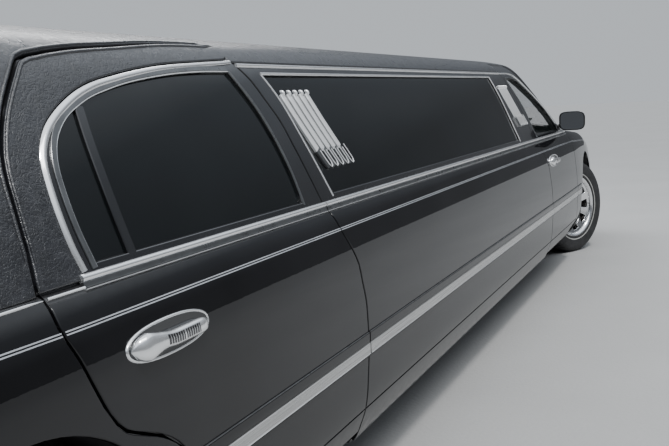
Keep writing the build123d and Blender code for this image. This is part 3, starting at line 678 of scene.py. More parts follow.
def fill(loops, grid, h):
    """Triangles inside loops[0] and outside the others, with grid points between."""
    allp = [tuple(q) for l in loops for q in l]
    edges, base = [], 0
    for l in loops:
        n = len(l)
        edges += [(base + i, base + (i + 1) % n) for i in range(n)]
        base += n
    if len(grid):
        ok = inside(loops[0], grid)
        for l in loops[1:]:
            ok &= ~inside(l, grid)
        grid = grid[ok]
        rim = np.array(allp)
        far = np.ones(len(grid), bool)
        for i in range(0, len(rim), 400):
            d = np.min(((grid[:, None, :] - rim[None, i:i + 400]) ** 2).sum(-1), axis=1)
            far &= d > (0.45 * h) ** 2
        grid = grid[far]
    pts = allp + [tuple(q) for q in grid]
    v, e, f, ov, oe, of_ = delaunay_2d_cdt([Vector(q) for q in pts], edges, [], 0, 1e-7)
    co = np.array([tuple(q) for q in v])
    tri = np.array([t for t in f if len(t) == 3], int)
    if len(tri) == 0:
        return co, tri, ov
    cen = co[tri].mean(axis=1)
    ok = inside(loops[0], cen)
    for l in loops[1:]:
        ok &= ~inside(l, cen)
    tri = tri[ok]
    # CDT vertices back to input ones
    src = np.array(pts)
    back, extra = [], 0
    for i, o in enumerate(ov):
        if len(o):
            back.append(o[0])
        else:
            extra += 1
            back.append(int(np.argmin(((src - co[i]) ** 2).sum(1))))
    if extra:
        print("outline crosses itself", extra, "times near", [tuple(np.round(co[i], 3)) for i, o in enumerate(ov) if not len(o)][:3])
    tri = np.array([[back[i] for i in t] for t in tri], int)
    tri = tri[(tri[:, 0] != tri[:, 1]) & (tri[:, 1] != tri[:, 2]) & (tri[:, 0] != tri[:, 2])]
    ar = np.cross(src[tri[:, 1]] - src[tri[:, 0]], src[tri[:, 2]] - src[tri[:, 0]])
    tri[ar < 0] = tri[ar < 0][:, ::-1]
    return src, tri, None


def panel(name, outline, surf, body, mat, holes=(), off=0.0015, radius=0.0028, lip=0.012, gx=0.06, gy=0.024, step=0.022, corner=0.0, slot=None, sides=(1, -1), bodies=None, hole_corner=0.0, crown=None, back_off=None, flat_edge=False):
    """Closed plate over a surface: outline and holes in the surface's own coordinates, rounded at the edge, lip deep."""
    outline = np.array(outline, float)
    if corner:
        outline = round_corners(outline, corner)
    loops = [densify(clean(outline), step)]
    for hl in holes:
        hl = np.array(hl, float)
        if hole_corner:
            hl = round_corners(hl, hole_corner)
        loops.append(densify(clean(hl), step))
    for i, l in enumerate(loops):
        if (poly_area(l) < 0) == (i == 0):
            loops[i] = l[::-1]
    spec = [(0.0, radius), (0.3 * radius, 0.3 * radius), (radius, 0.0)] if radius > 0 else [(0.0, 0.0)]
    rings = [[offset_loop(l, ins) for l in loops] for ins, _ in spec]
    inner = rings[-1]
    lo, hi = inner[0].min(0), inner[0].max(0)
    nx, ny = max(1, int((hi[0] - lo[0]) / gx)), max(1, int((hi[1] - lo[1]) / gy))
    xs, ys = np.linspace(lo[0], hi[0], nx + 1)[1:-1], np.linspace(lo[1], hi[1], ny + 1)[1:-1]
    grid = np.array([(a + (0.5 * (hi[0] - lo[0]) / nx if j % 2 else 0.0), b) for j, b in enumerate(ys) for a in xs]) if len(xs) and len(ys) else np.zeros((0, 2))
    src, tri, _ = fill(inner, grid, min(gx, gy))
    nin = sum(len(l) for l in inner)
    dom = [src]                                      # innermost ring, then grid
    depth = [np.zeros(len(src))]
    start_inner = 0
    ring_start = {len(spec) - 1: 0}
    base = len(src)
    for k_ in range(len(spec) - 2, -1, -1):
        d = np.vstack(rings[k_])
        dom.append(d)
        depth.append(np.full(len(d), spec[k_][1]))
        ring_start[k_] = base
        base += len(d)
    uv = np.vstack(dom)
    dep = np.concatenate(depth)
    P, Nn = surf(uv[:, 0], uv[:, 1])
    if crown is not None:
        P = P + Nn * crown(uv)[:, None]
    front = P + Nn * (off - dep)[:, None]
    back = P + Nn * (off - lip if back_off is None else back_off)
    nf = len(front)
    # the outward direction in the surface at each outline point
    o0, i0 = ring_start[0], ring_start[len(spec) - 1]
    if radius > 0:
        out = P[o0:o0 + nin] - P[i0:i0 + nin]
    else:
        far = [offset_loop(l, 0.002) for l in loops]
        f2 = np.vstack(far)
        out = P[:nin] - surf(f2[:, 0], f2[:, 1])[0]
    out -= Nn[o0:o0 + nin] * (out * Nn[o0:o0 + nin]).sum(1, keepdims=True)
    out /= np.maximum(np.linalg.norm(out, axis=1, keepdims=True), 1e-9)
    VN = Nn.copy()
    if radius > 0 and not flat_edge:
        VN[o0:o0 + nin] = out
        if len(spec) > 2:
            r1 = ring_start[1]
            mix = out + Nn[r1:r1 + nin]
            VN[r1:r1 + nin] = mix / np.linalg.norm(mix, axis=1, keepdims=True)
    verts = np.vstack([front, back])
    faces, ln = [], []

    def add(idx, normals):
        faces.append(tuple(int(i) for i in idx))
        ln.extend(tuple(q) for q in normals)
    # orientation: surfaces here have u forward and v up, seen from the left outside u runs to the left
    cr_ = np.cross(front[tri[:, 1]] - front[tri[:, 0]], front[tri[:, 2]] - front[tri[:, 0]])
    flip = (cr_ * Nn[tri[:, 0]]).sum() < 0
    for t in tri:
        t = t[::-1] if flip else t
        add(t, VN[t])
        tb = t[::-1] + nf
        add(tb, -Nn[t[::-1]])
    lens = [len(l) for l in loops]

    def band(a_start, b_start, na, nb_):
        s = 0
        for n in lens:
            for i in range(n):
                j = (i + 1) % n
                q = [a_start + s + i, a_start + s + j, b_start + s + j, b_start + s + i]
                nn = [na[s + i], na[s + j], nb_[s + j], nb_[s + i]]
                if flip:
                    q, nn = q[::-1], nn[::-1]
                add(q, nn)
            s += n
    for k_ in range(len(spec) - 1):
        a, b = ring_start[k_], ring_start[k_ + 1]
        band(a, b, VN[a:a + nin], VN[b:b + nin])
        band2 = (b + nf, a + nf)
        s = 0
        for n in lens:
            for i in range(n):
                j = (i + 1) % n
                q = [band2[0] + s + i, band2[0] + s + j, band2[1] + s + j, band2[1] + s + i]
                nn = [-Nn[b + s + i], -Nn[b + s + j], -Nn[a + s + j], -Nn[a + s + i]]
                if flip:
                    q, nn = q[::-1], nn[::-1]
                add(q, nn)
            s += n
    band(o0 + nf, o0, out, out)
    made = []
    for s_ in sides:
        word = "" if sides == (0,) else ("_left" if s_ > 0 else "_right")
        bd = body + word if bodies is None else bodies
        made.append(emit(name + word, verts, faces, bd, mat, slot=slot, loop_normals=ln, side=s_))
    return made


def sweep(points, normals, profile, closed=False, caps=True, scale=None):
    """Verts and faces of a profile (across, out) carried along points with surface normals."""
    P, Nn = np.array(points, float), np.array(normals, float)
    m, q = len(P), len(profile)
    if closed:
        T = np.roll(P, -1, axis=0) - np.roll(P, 1, axis=0)
    else:
        T = np.gradient(P, axis=0)
    T /= np.maximum(np.linalg.norm(T, axis=1, keepdims=True), 1e-12)
    B = np.cross(Nn, T)
    B /= np.maximum(np.linalg.norm(B, axis=1, keepdims=True), 1e-12)
    Nn = np.cross(T, B)
    pr = np.array(profile, float)
    V = np.zeros((m, q, 3))
    for i in range(m):
        sc = 1.0 if scale is None else scale[i]
        V[i] = P[i] + B[i] * (pr[:, :1] * sc) + Nn[i] * (pr[:, 1:] * sc)
    faces = []
    for i in range(m if closed else m - 1):
        j = (i + 1) % m
        for a in range(q):
            b = (a + 1) % q
            faces.append((i * q + a, i * q + b, j * q + b, j * q + a))
    if not closed and caps:
        faces.append(tuple(range(q))[::-1])
        faces.append(tuple((m - 1) * q + a for a in range(q)))
    V = V.reshape(-1, 3)
    # outward faces: check the first one
    c = V[:q].mean(0)
    f = faces[0]
    nrm = np.cross(V[f[1]] - V[f[0]], V[f[2]] - V[f[0]])
    if np.dot(nrm, (V[f[0]] + V[f[2]]) / 2 - (c + V[q:2 * q].mean(0)) / 2) < 0:
        faces = [t[::-1] for t in faces]
    return V, faces


def join(parts):
    V, F, n = [], [], 0
    for v, f in parts:
        V.append(np.asarray(v, float))
        F += [tuple(i + n for i in t) for t in f]
        n += len(v)
    return np.vstack(V), F


def strip(name, path, surf, profile, body, mat, off=0.0, closed=False, slot=None, sides=(1, -1), bodies=None, step=0.03, line=True, sharp=35.0, taper=0.0):
    """Trim along a path in the surface's own coordinates."""
    p = smooth_line(path, closed, step) if line else np.array(path, float)
    P, Nn = surf(p[:, 0], p[:, 1])
    P = P + Nn * off
    scale = None
    if taper and not closed:
        d = np.concatenate([[0], np.cumsum(np.linalg.norm(np.diff(P, axis=0), axis=1))])
        scale = np.clip(np.minimum(d, d[-1] - d) / taper, 0.12, 1.0) ** 0.6
    V, F = sweep(P, Nn, profile, closed, scale=scale)
    for s_ in sides:
        word = "" if sides == (0,) else ("_left" if s_ > 0 else "_right")
        bd = body + word if bodies is None else bodies
        emit(name + word, V, F, bd, mat, slot=slot, side=s_, sharp=sharp)
    return V, F


def half_round(w, h, n=7, sink=0.002):
    """Profile of a rounded bar w wide standing h proud."""
    pts = [(-w / 2, -sink)]
    for i in range(n + 1):
        a = math.pi * i / n
        pts.append((-w / 2 * math.cos(a), h * math.sin(a) ** 0.8))
    pts.append((w / 2, -sink))
    return pts


def box_profile(w, h, r=0.0008, sink=0.002):
    return [(-w / 2, -sink), (-w / 2, h - r), (-w / 2 + r, h), (w / 2 - r, h), (w / 2, h - r), (w / 2, -sink)]


def tube(path, radius, n=10, closed=False, cap=True):
    P = np.array(path, float)
    m = len(P)
    T = (np.roll(P, -1, 0) - np.roll(P, 1, 0)) if closed else np.gradient(P, axis=0)
    T /= np.maximum(np.linalg.norm(T, axis=1, keepdims=True), 1e-12)
    ref = np.array((0, 0, 1.0)) if abs(T[0][2]) < 0.8 else np.array((0, 1.0, 0))
    V = []
    B = np.cross(ref, T[0]); B /= np.linalg.norm(B)
    for i in range(m):
        B = B - T[i] * (B @ T[i]); B /= np.linalg.norm(B)
        C = np.cross(T[i], B)
        rr = radius[i] if hasattr(radius, "__len__") else radius
        for a in range(n):
            t = 2 * math.pi * a / n
            V.append(P[i] + (B * math.cos(t) + C * math.sin(t)) * rr)
    F = []
    for i in range(m if closed else m - 1):
        j = (i + 1) % m
        for a in range(n):
            b = (a + 1) % n
            F.append((i * n + a, i * n + b, j * n + b, j * n + a))
    if cap and not closed:
        F.append(tuple(range(n))[::-1])
        F.append(tuple((m - 1) * n + a for a in range(n)))
    return np.array(V), F


def lathe(profile, n=64, closed_profile=True):
    """Revolve (radius, y) points about the y axis. Faces point outwards for a counter-clockwise profile."""
    pr = np.array(profile, float)
    V = []
    for i in range(n):
        a = 2 * math.pi * i / n
        for r_, y_ in pr:
            V.append((r_ * math.cos(a), y_, r_ * math.sin(a)))
    q = len(pr)
    F = []
    for i in range(n):
        j = (i + 1) % n
        for a in range(q if closed_profile else q - 1):
            b = (a + 1) % q
            F.append((i * q + a, i * q + b, j * q + b, j * q + a))
    return np.array(V), F


def fix_out(V, F, inward=False):
    """Turns all faces of a closed mesh outwards by its signed volume."""
    V = np.asarray(V)
    vol = 0.0
    for f in F:
        for i in range(1, len(f) - 1):
            vol += np.dot(V[f[0]], np.cross(V[f[i]], V[f[i + 1]]))
    if (vol < 0) != inward:
        F = [tuple(reversed(f)) for f in F]
    return V, F


def solid_prism(poly, axis_pts, closed=True):
    """Closed prism from a polygon's 3-D points and an offset vector."""
    A = np.array(poly, float)
    B = A + np.array(axis_pts, float)
    n = len(A)
    F = [tuple(range(n))[::-1], tuple(range(n, 2 * n))]
    F += [(i, (i + 1) % n, n + (i + 1) % n, n + i) for i in range(n)]
    return fix_out(np.vstack([A, B]), F)


def rbox(x0, x1, y0, y1, z0, z1, r=0.01, n=3):
    """Closed box with rounded edges, as one grid-free mesh from a superellipsoid-like shell."""
    c = np.array(((x0 + x1) / 2, (y0 + y1) / 2, (z0 + z1) / 2))
    h = np.array((abs(x1 - x0) / 2, abs(y1 - y0) / 2, abs(z1 - z0) / 2))
    r = min(r, *(h * 0.98))
    t = [(-1.0, a) for a in np.linspace(0, 1, n + 1)]
    ticks = []
    for k_ in range(3):
        a = np.linspace(0, math.pi / 2, n + 1)
        lo = -(h[k_] - r) - r * np.sin(a[::-1])
        hi_ = (h[k_] - r) + r * np.sin(a)
        ticks.append(np.concatenate([lo, hi_]))
    V, F, index = [], [], {}

    def vert(p):
        key = tuple(np.round(p, 7))
        if key not in index:
            index[key] = len(V)
            core = np.clip(p, -(h - r), h - r)
            d = p - core
            ln_ = np.linalg.norm(d)
            V.append(core + (d / ln_ * r if ln_ > 1e-9 else d))
        return index[key]
    for ax in range(3):
        b, cc = [(1, 2), (2, 0), (0, 1)][ax]
        for sgn in (-1, 1):
            for i in range(len(ticks[b]) - 1):
                for j in range(len(ticks[cc]) - 1):
                    q = []
                    for di, dj in ((0, 0), (1, 0), (1, 1), (0, 1)):
                        p = np.zeros(3)
                        p[ax], p[b], p[cc] = sgn * h[ax], ticks[b][i + di], ticks[cc][j + dj]
                        q.append(vert(p))
                    if sgn < 0:
                        q = q[::-1]
                    if len(set(q)) == 4:
                        F.append(tuple(q))
                    elif len(set(q)) == 3:
                        F.append(tuple(dict.fromkeys(q)))
    return np.array(V) + c, F


def place(V, M):
    V = np.asarray(V, float)
    M = np.array(M)
    return V @ M[:3, :3].T + M[:3, 3]


def both(name, V, F, body, mat, slot=None, sharp=35.0, bodies=None, **kw):
    for s_ in (1, -1):
        word = "_left" if s_ > 0 else "_right"
        emit(name + word, V, F, (body + word) if bodies is None else bodies, mat, slot=slot, side=s_, sharp=sharp, **kw)


def hide(*nodes):
    """Gives back the CAD node names passed in; marks nothing."""
    return nodes


# ------------------------------------------------------------------ outlines, in metres, x from the rear axle
SEAM_R, STRETCH, WB = 1.330, 3.050, 6.040
SEAM_F = SEAM_R + STRETCH
FD = WB - 0.620
SEAM_LINE = [(0.255, 0.042), (0.520, 0.068), (0.660, 0.072), (0.770, 0.055), (0.870, 0.0), (0.940, -0.014), (1.060, -0.040), (1.200, -0.072), (1.310, -0.130), (1.360, -0.178)]


def seam(x0, z):
    zs = [a for a, b in SEAM_LINE]
    return x0 + np.interp(z, zs, [b for a, b in SEAM_LINE])


g = 0.0008      # how far a skin stands past the panel's edge at a shut line
rear_low = [(seam(SEAM_R, z) - 0, z) for z in (0.262, 0.40, 0.52, 0.60, 0.66, 0.715, 0.77, 0.82, 0.87, 0.905, 0.932)]
rear_cut_low = [(0.163, 0.932), (0.160, 0.895), (0.180, 0.834), (0.204, 0.771), (0.240, 0.705), (0.262, 0.684), (0.300, 0.666), (0.363, 0.638), (0.425, 0.590), (0.456, 0.520), (0.462, 0.440), (0.465, 0.262)]


def side_line(pts, step=0.03):
    return smooth_line(pts, False, step, 50.0)


REAR_DOOR_LOW = np.vstack([side_line(rear_low), side_line(rear_cut_low)])
FRONT_DOOR_LOW = np.vstack([side_line([(x + STRETCH + 0.0, z) for x, z in rear_low])[::-1], [(FD, 0.262), (FD, 0.45)], side_line([(FD, 0.60), (FD, 0.72), (FD - 0.006, 0.90), (FD - 0.012, 0.932)])])
GAP = 0.006
CENTRE_LOW = np.vstack([side_line([(x + GAP, z - 0.032 * (z < 0.3)) for x, z in rear_low]), side_line([(x + STRETCH - GAP, z - 0.032 * (z < 0.3)) for x, z in rear_low])[::-1]])

SILL = 0.333                   # seam between the panels and the rocker covers


def cut_low(poly, z0, z1):
    """Part of a side outline between two heights."""
    p = [tuple(q) for q in densify(np.array(poly, float), 0.02)]
    for lim, keep in ((z0, 1.0), (z1, -1.0)):
        out = []
        for a, b in zip(p, p[1:] + p[:1]):
            da, db = (a[1] - lim) * keep, (b[1] - lim) * keep
            if da >= 0:
                out.append(a)
            if (da > 0 > db) or (da < 0 < db):
                t = da / (da - db)
                out.append((a[0] + (b[0] - a[0]) * t, lim))
        p = out
    return densify(clean(np.array(p, float)), 0.03)


def tidy(p, tol=0.0008):
    out = [p[0]]
    for q in p[1:]:
        if np.linalg.norm(q - out[-1]) > tol:
            out.append(q)
    if np.linalg.norm(out[0] - out[-1]) < tol:
        out.pop()
    return np.array(out)


# ------------------------------------------------------------------ skins below the belt
def low_panel(name, outline, body, holes=(), **kw):
    return panel(name, low_side(tidy(np.array(outline, float))), low_surf, body, kw.pop("mat", "black_paint"), [low_side(h) for h in holes], slot="black_paint", **kw)


low_panel("rear_door_skin", cut_low(REAR_DOOR_LOW, SILL + 0.0015, 0.944), "rear_door", gx=0.045, gy=0.008)
low_panel("rear_door_rocker", cut_low(REAR_DOOR_LOW, 0.258, SILL - 0.0015), "rear_door", gx=0.07, gy=0.02)
low_panel("front_door_skin", cut_low(FRONT_DOOR_LOW, SILL + 0.0015, 0.944), "front_door", gx=0.045, gy=0.008)
low_panel("front_door_rocker", cut_low(FRONT_DOOR_LOW, 0.258, SILL - 0.0015), "front_door", gx=0.07, gy=0.02)
for s_ in (1, -1):
    w_ = "_left" if s_ > 0 else "_right"
    panel("centre_skin" + w_, low_side(tidy(cut_low(CENTRE_LOW, SILL + 0.0015, 0.944))), low_surf, "root", "black_paint", slot="black_paint", gx=0.06, gy=0.008, sides=(s_,), bodies="root")
    panel("centre_rocker" + w_, low_side(tidy(cut_low(CENTRE_LOW, 0.224, SILL - 0.0015))), low_surf, "root", "black_paint", slot="black_paint", gx=0.08, gy=0.02, sides=(s_,), bodies="root")

# sills under the doors, and quarter panels and fenders with their wheel arches
def arc(cx, cz, r_, a0, a1, n=40):
    return [(cx + r_ * math.cos(math.radians(a)), cz + r_ * math.sin(math.radians(a))) for a in np.linspace(a0, a1, n)]


AZ_ = 0.351
RR, RF = 0.392, 0.415
qb, qa = 0.29, 0.272
a_b = math.degrees(math.asin((qb - AZ_) / RR))
a_f = math.degrees(math.asin((qa - AZ_) / RR))
q_low = [(-1.288, 0.610), (-1.236, 0.610), (-1.236, 0.318), (-0.80, 0.300)]
q_arch = arc(0, AZ_, RR, 180 - a_b, a_f)
cutq = [(x - GAP if z > 0.64 else x - GAP * 0.98, z) for x, z in REAR_DOOR_LOW.tolist()]
rear_cut = side_line(rear_cut_low)
nrm = np.gradient(rear_cut, axis=0)
nrm = np.column_stack([-nrm[:, 1], nrm[:, 0]]) / np.linalg.norm(nrm, axis=1, keepdims=True)
q_cut = rear_cut + nrm * GAP * (1 if (rear_cut + nrm * GAP)[5, 0] < rear_cut[5, 0] else -1)
q_cut = [(x, z) for x, z in q_cut if z > 0.268][::-1]
q_side = np.vstack([q_low, q_arch, q_cut])
q_top_plan = [(-0.30, 0.8985), (-0.36, 0.885), (-0.434, 0.865), (-0.434, 0.752), (-0.60, 0.7435), (-0.90, 0.7275), (-1.20, 0.7115), (-1.30, 0.7060), (-1.372, 0.6950)]
q_end = [(-1.372, 0.932), (-1.288, 0.932)]
belt_line = low_side([(x, 0.9425) for x in np.linspace(0.150, -0.27, 12)])
q_uv = np.vstack([low_side(q_side), belt_line, low_top(q_top_plan), low_side(q_end)])
panel("quarter_skin", q_uv, low_surf, "root", "black_paint", slot="black_paint", gx=0.035, gy=0.006, bodies="root")

HP = np.array([(5.470, 0.832), (6.060, 0.815), (6.450, 0.762), (6.700, 0.712), (6.870, 0.660), (6.935, 0.600)])
fb = 0.272
a1 = math.degrees(math.asin((fb - AZ_) / RF))
f_low = [(FD + GAP, fb)]
f_arch = arc(WB, AZ_, RF, 180 - a1, math.degrees(math.asin((0.30 - AZ_) / RF)))
f_low2 = [(6.60, 0.300), (6.684, 0.310), (6.684, 0.610), (6.955, 0.610), (6.955, 0.622), (6.698, 0.622), (6.698, 0.782), (6.955, 0.782)]
f_top = [(x, y + 0.007) for x, y in smooth_line(HP, False, 0.05)][::-1]
f_rear = [(FD - 0.006 + GAP, 0.90), (FD + GAP, 0.72), (FD + GAP, 0.60)]
f_uv = np.vstack([low_side(np.vstack([f_low, f_arch, f_low2])), low_top([(6.955, 0.607)]), low_top(f_top), low_top([(5.436, 0.8425)]), low_side([(FD - 0.008 + GAP, 0.930)]), low_side(f_rear)])
panel("fender_skin", f_uv, low_surf, "root", "black_paint", slot="black_paint", gx=0.035, gy=0.006, bodies="root")


def deck_surf(u, v):
    """Plan chart of the deck: u is x, v is y."""
    u, v = np.asarray(u, float), np.asarray(v, float)
    q = low_top(np.column_stack([u, np.abs(v)]))
    P, n = low_surf(q[:, 0], q[:, 1])
    sg = np.where(v < 0, -1.0, 1.0)
    P[:, 1] *= sg
    n[:, 1] *= sg
    n[np.abs(v) < 1e-4, 1] = 0
    return P, n / np.linalg.norm(n, axis=1, keepdims=True)


def sstep(a, b, t):
    t = np.clip((t - a) / (b - a), 0, 1)
    return t * t * (3 - 2 * t)


def mirrored(half):
    """Closed plan outline from its left half, given from the middle at one end to the middle at the other."""
    h = np.array(half, float)
    m = h[::-1].copy()
    m[:, 1] *= -1
    return np.vstack([h, m[1:-1] if abs(h[0, 1]) < 1e-6 and abs(h[-1, 1]) < 1e-6 else m])


hood_half = np.vstack([smooth_line([(5.698, 0.0), (5.697, 0.20), (5.662, 0.44), (5.562, 0.66), (5.472, 0.8315)], False, 0.04, 60), smooth_line(HP, False, 0.05)[1:], [(6.945, 0.56), (6.951, 0.40), (6.954, 0.20), (6.955, 0.0)]])


def hood_crown(uv):
    x, y = uv[:, 0], np.abs(uv[:, 1])
    mid = 0.30 + 0.24 * (1 - sstep(5.7, 6.9, x))
    edge = 0.010 * (1 - sstep(mid, mid + 0.055, y))
    spine = 0.006 * np.exp(-((y / 0.16) ** 2)) * sstep(5.75, 6.2, x)
    fade = sstep(5.50, 5.78, x) * (1 - 0.6 * sstep(6.75, 6.95, x))
    return (edge + spine) * fade


panel("bonnet_skin", mirrored(hood_half), deck_surf, "bonnet", "black_paint", slot="black_paint", gx=0.035, gy=0.03, sides=(0,), bodies="bonnet", crown=hood_crown, lip=0.014)
lid_half = [(-0.4405, 0.0), (-0.4405, 0.745), (-0.60, 0.7365), (-0.90, 0.7205), (-1.20, 0.7045), (-1.30, 0.699), (-1.374, 0.688), (-1.376, 0.50), (-1.377, 0.0)]


def lid_crown(uv):
    x, y = uv[:, 0], np.abs(uv[:, 1])
    return 0.007 * (1 - sstep(0.48, 0.60, y)) * sstep(-1.30, -1.16, x) * (1 - sstep(-0.62, -0.50, x))


panel("boot_lid_skin", mirrored(lid_half), deck_surf, "boot_lid", "black_paint", slot="black_paint", gx=0.04, gy=0.03, sides=(0,), bodies="boot_lid", crown=lid_crown, lip=0.014)


def rear_face(u, v):
    """Plane of the tail: u is y, v is z."""
    u, v = np.asarray(u, float), np.asarray(v, float)
    x = -1.3775 - 0.004 * np.cos(np.clip((v - 0.8) / 0.35, -1.2, 1.2) * 1.3)
    P = np.column_stack([x, u, v])
    e = 1e-3
    sl = (0.004 * np.sin((v - 0.8) / 0.35 * 1.3) * 1.3 / 0.35)
    n = np.column_stack([-np.ones_like(u), np.zeros_like(u), sl])
    return P, n / np.linalg.norm(n, axis=1, keepdims=True)


deck_z = lambda x, y: deck_surf(np.array([x]), np.array([y]))[0][0, 2]
top_edge = [(y, deck_z(-1.374, y) - 0.004) for y in (0.0, 0.15, 0.30, 0.45, 0.556)]
face = [(-y, z) for y, z in top_edge[::-1]] + top_edge[1:] + [(0.556, 0.644), (-0.556, 0.644)]
panel("boot_lid_face", face, rear_face, "boot_lid", "black_paint", slot="black_paint", sides=(0,), bodies="boot_lid", gx=0.05, gy=0.04, lip=0.010, radius=0.004)

# ------------------------------------------------------------------ skins of the greenhouse
DOOR_TOP = 1.405
rear_top = [(0.157, 0.950), (0.170, 1.013), (0.178, 1.073), (0.200, 1.178), (0.218, 1.212), (0.250, 1.257), (0.282, 1.292), (0.318, 1.327), (0.345, 1.350), (0.400, 1.3625), (0.485, 1.374), (0.666, 1.388), (0.840, 1.400), (1.000, DOOR_TOP), (1.158, DOOR_TOP)]
surround = [(0.272, 0.962), (0.265, 1.000), (0.263, 1.034), (0.264, 1.075), (0.268, 1.114), (0.282, 1.171), (0.296, 1.194), (0.325, 1.224), (0.359, 1.247), (0.410, 1.273), (0.451, 1.290), (0.510, 1.308), (0.602, 1.325), (0.767, 1.347), (0.995, 1.362), (1.121, 1.369)]
rw = [(1.196, 0.975), (1.196, 1.068), (1.186, 1.138), (1.157, 1.234), (1.100, 1.335), (0.995, 1.335), (0.767, 1.322), (0.584, 1.297), (0.467, 1.268), (0.380, 1.227), (0.345, 1.196), (0.324, 1.160), (0.312, 1.100), (0.310, 1.040), (0.318, 0.975)]
REAR_WIN = smooth_line(rw, True, 0.03, 40)
up_seam = [(seam(SEAM_R, z), z) for z in (1.355, 1.31, 1.26, 1.20, 1.13, 1.06, 1.0, 0.950)]
vinyl_door = np.vstack([smooth_line(rear_top, False, 0.03), [(1.142, 1.376)], smooth_line(surround, False, 0.03)[::-1], [(0.270, 0.950)]])
panel("rear_door_vinyl", green_side(tidy(vinyl_door)), green_surf, "rear_door", "vinyl_roof", slot="vinyl_roof", off=0.004, radius=0.0035, lip=0.014, gx=0.03, gy=0.02)
frame_rd = np.vstack([smooth_line(surround, False, 0.03), [(1.140, 1.3735)], smooth_line(up_seam, False, 0.03), [(0.274, 0.950)]])
panel("rear_door_frame", green_side(tidy(frame_rd)), green_surf, "rear_door", "gloss_black", [green_side(REAR_WIN)], slot="black_paint", off=0.0015, lip=0.014, gx=0.04, gy=0.03)

cs_rear = [(x + GAP, z) for x, z in up_seam[::-1]]
cs_front = [(x + STRETCH - GAP, z) for x, z in up_seam]
CW = [(1.397, 0.979), (1.350, 1.136), (1.337, 1.181), (1.309, 1.271), (1.283, 1.318), (1.272, 1.330), (3.915, 1.330), (3.925, 1.300), (3.935, 1.255), (3.965, 1.063), (3.985, 0.979)]
frame_cs = np.vstack([smooth_line(cs_rear, False, 0.03), [(1.158, 1.3585), (4.194, 1.3585)], smooth_line(cs_front, False, 0.03)])
panel("centre_frame", green_side(tidy(frame_cs)), green_surf, "root", "gloss_black", [green_side(densify(np.array(CW), 0.05))], slot="black_paint", off=0.0015, lip=0.014, gx=0.08, gy=0.03, bodies="root")

fd_top = [(4.208, DOOR_TOP), (4.440, DOOR_TOP), (4.510, 1.396), (4.565, 1.3775), (4.620, 1.352), (4.745, 1.292), (4.915, 1.206), (5.060, 1.132), (5.140, 1.072), (5.245, 0.990), (5.285, 0.968), (5.318, 0.9565)]
fw = [(5.205, 0.975), (5.105, 1.053), (5.025, 1.108), (4.880, 1.180), (4.690, 1.262), (4.540, 1.315), (4.440, 1.326), (4.285, 1.326), (4.320, 1.268), (4.400, 1.155), (4.430, 1.020), (4.455, 0.975)]
FRONT_WIN = smooth_line(fw, True, 0.03, 30)
up_seam_f = [(x + STRETCH, z) for x, z in up_seam[::-1]]
frame_fd = np.vstack([smooth_line(up_seam_f, False, 0.03), [(4.192, 1.376)], smooth_line(fd_top, False, 0.03), [(5.318, 0.950)]])
panel("front_door_frame", green_side(tidy(frame_fd)), green_surf, "front_door", "gloss_black", [green_side(FRONT_WIN)], slot="black_paint", off=0.0015, lip=0.014, gx=0.04, gy=0.03)

# door glass, centre glass and their edges
def glass(name, win, body, mat, nodes, bodies=None, grow=0.004, off=-0.005):
    w_ = green_side(win)
    if poly_area(w_) < 0:
        w_ = w_[::-1]
    w_ = offset_loop(w_, -grow)
    made = panel(name, w_, green_surf, body, mat, slot=mat, off=off, radius=0.0008, lip=0.0045, gx=0.05, gy=0.03, bodies=bodies)
    for o, n in zip(made, nodes):
        if n:
            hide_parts(n)
    return made


glass("rear_window_glass", REAR_WIN, "rear_door", "dark_glass", ("rear_door_glass_left", "rear_door_glass_right"))
glass("front_window_glass", FRONT_WIN, "front_door", "clear_glass", ("front_door_glass_left", "front_door_glass_right"))
made = glass("centre_glass", densify(np.array(CW), 0.05), "root", "dark_glass", (None, None), bodies="root")
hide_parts("centre_windows")


# roof: padded vinyl over everything from the deck behind the rear window to the windscreen's header
def rear_pts(pts):
    return green_map(green_x(pts, -1)[0])


def flip_chart(p):
    q = p[::-1].copy()
    q[:, 1] = 0.8 * math.pi - q[:, 1]
    return q


roof_base = rear_pts([(0.0, 1.040), (0.20, 1.037), (0.40, 1.030), (0.55, 1.021), (0.68, 1.006), (0.79, 0.990), (0.860, 0.975)])
roof_side = green_side([(-0.310, 0.9445), (-0.20, 0.9445), (0.0, 0.9445), (0.150, 0.9445)])
rt = smooth_line(rear_top, False, 0.03)
rn = np.gradient(rt, axis=0)
rn = np.column_stack([-rn[:, 1], rn[:, 0]]) / np.linalg.norm(rn, axis=1, keepdims=True)
roof_cut = green_side((rt + rn * GAP)[1:-1])
roof_mid = green_side([(1.150, 1.4115), (1.146, 1.400), (1.137, 1.379), (1.144, 1.3625), (1.30, 1.3625), (2.0, 1.3625), (2.7, 1.3625), (3.5, 1.3625), (4.05, 1.3625), (4.2035, 1.3625), (4.196, 1.379), (4.202, 1.400), (4.208, 1.4115)])
roof_fd = green_side([(4.30, 1.4115), (4.440, 1.4115), (4.512, 1.4025)])
HEAD = [(4.60, 0.640), (4.68, 0.555), (4.755, 0.430), (4.805, 0.280), (4.828, 0.130), (4.834, 0.0)]
roof_head = green_map(green_z(smooth_line(HEAD, False, 0.04))[0])
roof_half = np.vstack([roof_base, roof_side, roof_cut, roof_mid, roof_fd, roof_head])
roof_outline = np.vstack([roof_half, flip_chart(roof_half)[1:-1]])
BL = smooth_line([(0.0, 1.064), (0.30, 1.063), (0.60, 1.061), (0.640, 1.072), (0.650, 1.10), (0.632, 1.19), (0.592, 1.325), (0.572, 1.357), (0.535, 1.370), (0.30, 1.373), (0.0, 1.374)], False, 0.03, 60)
bl_half = rear_pts(BL)
backlight = np.vstack([bl_half, flip_chart(bl_half)[1:-1]])
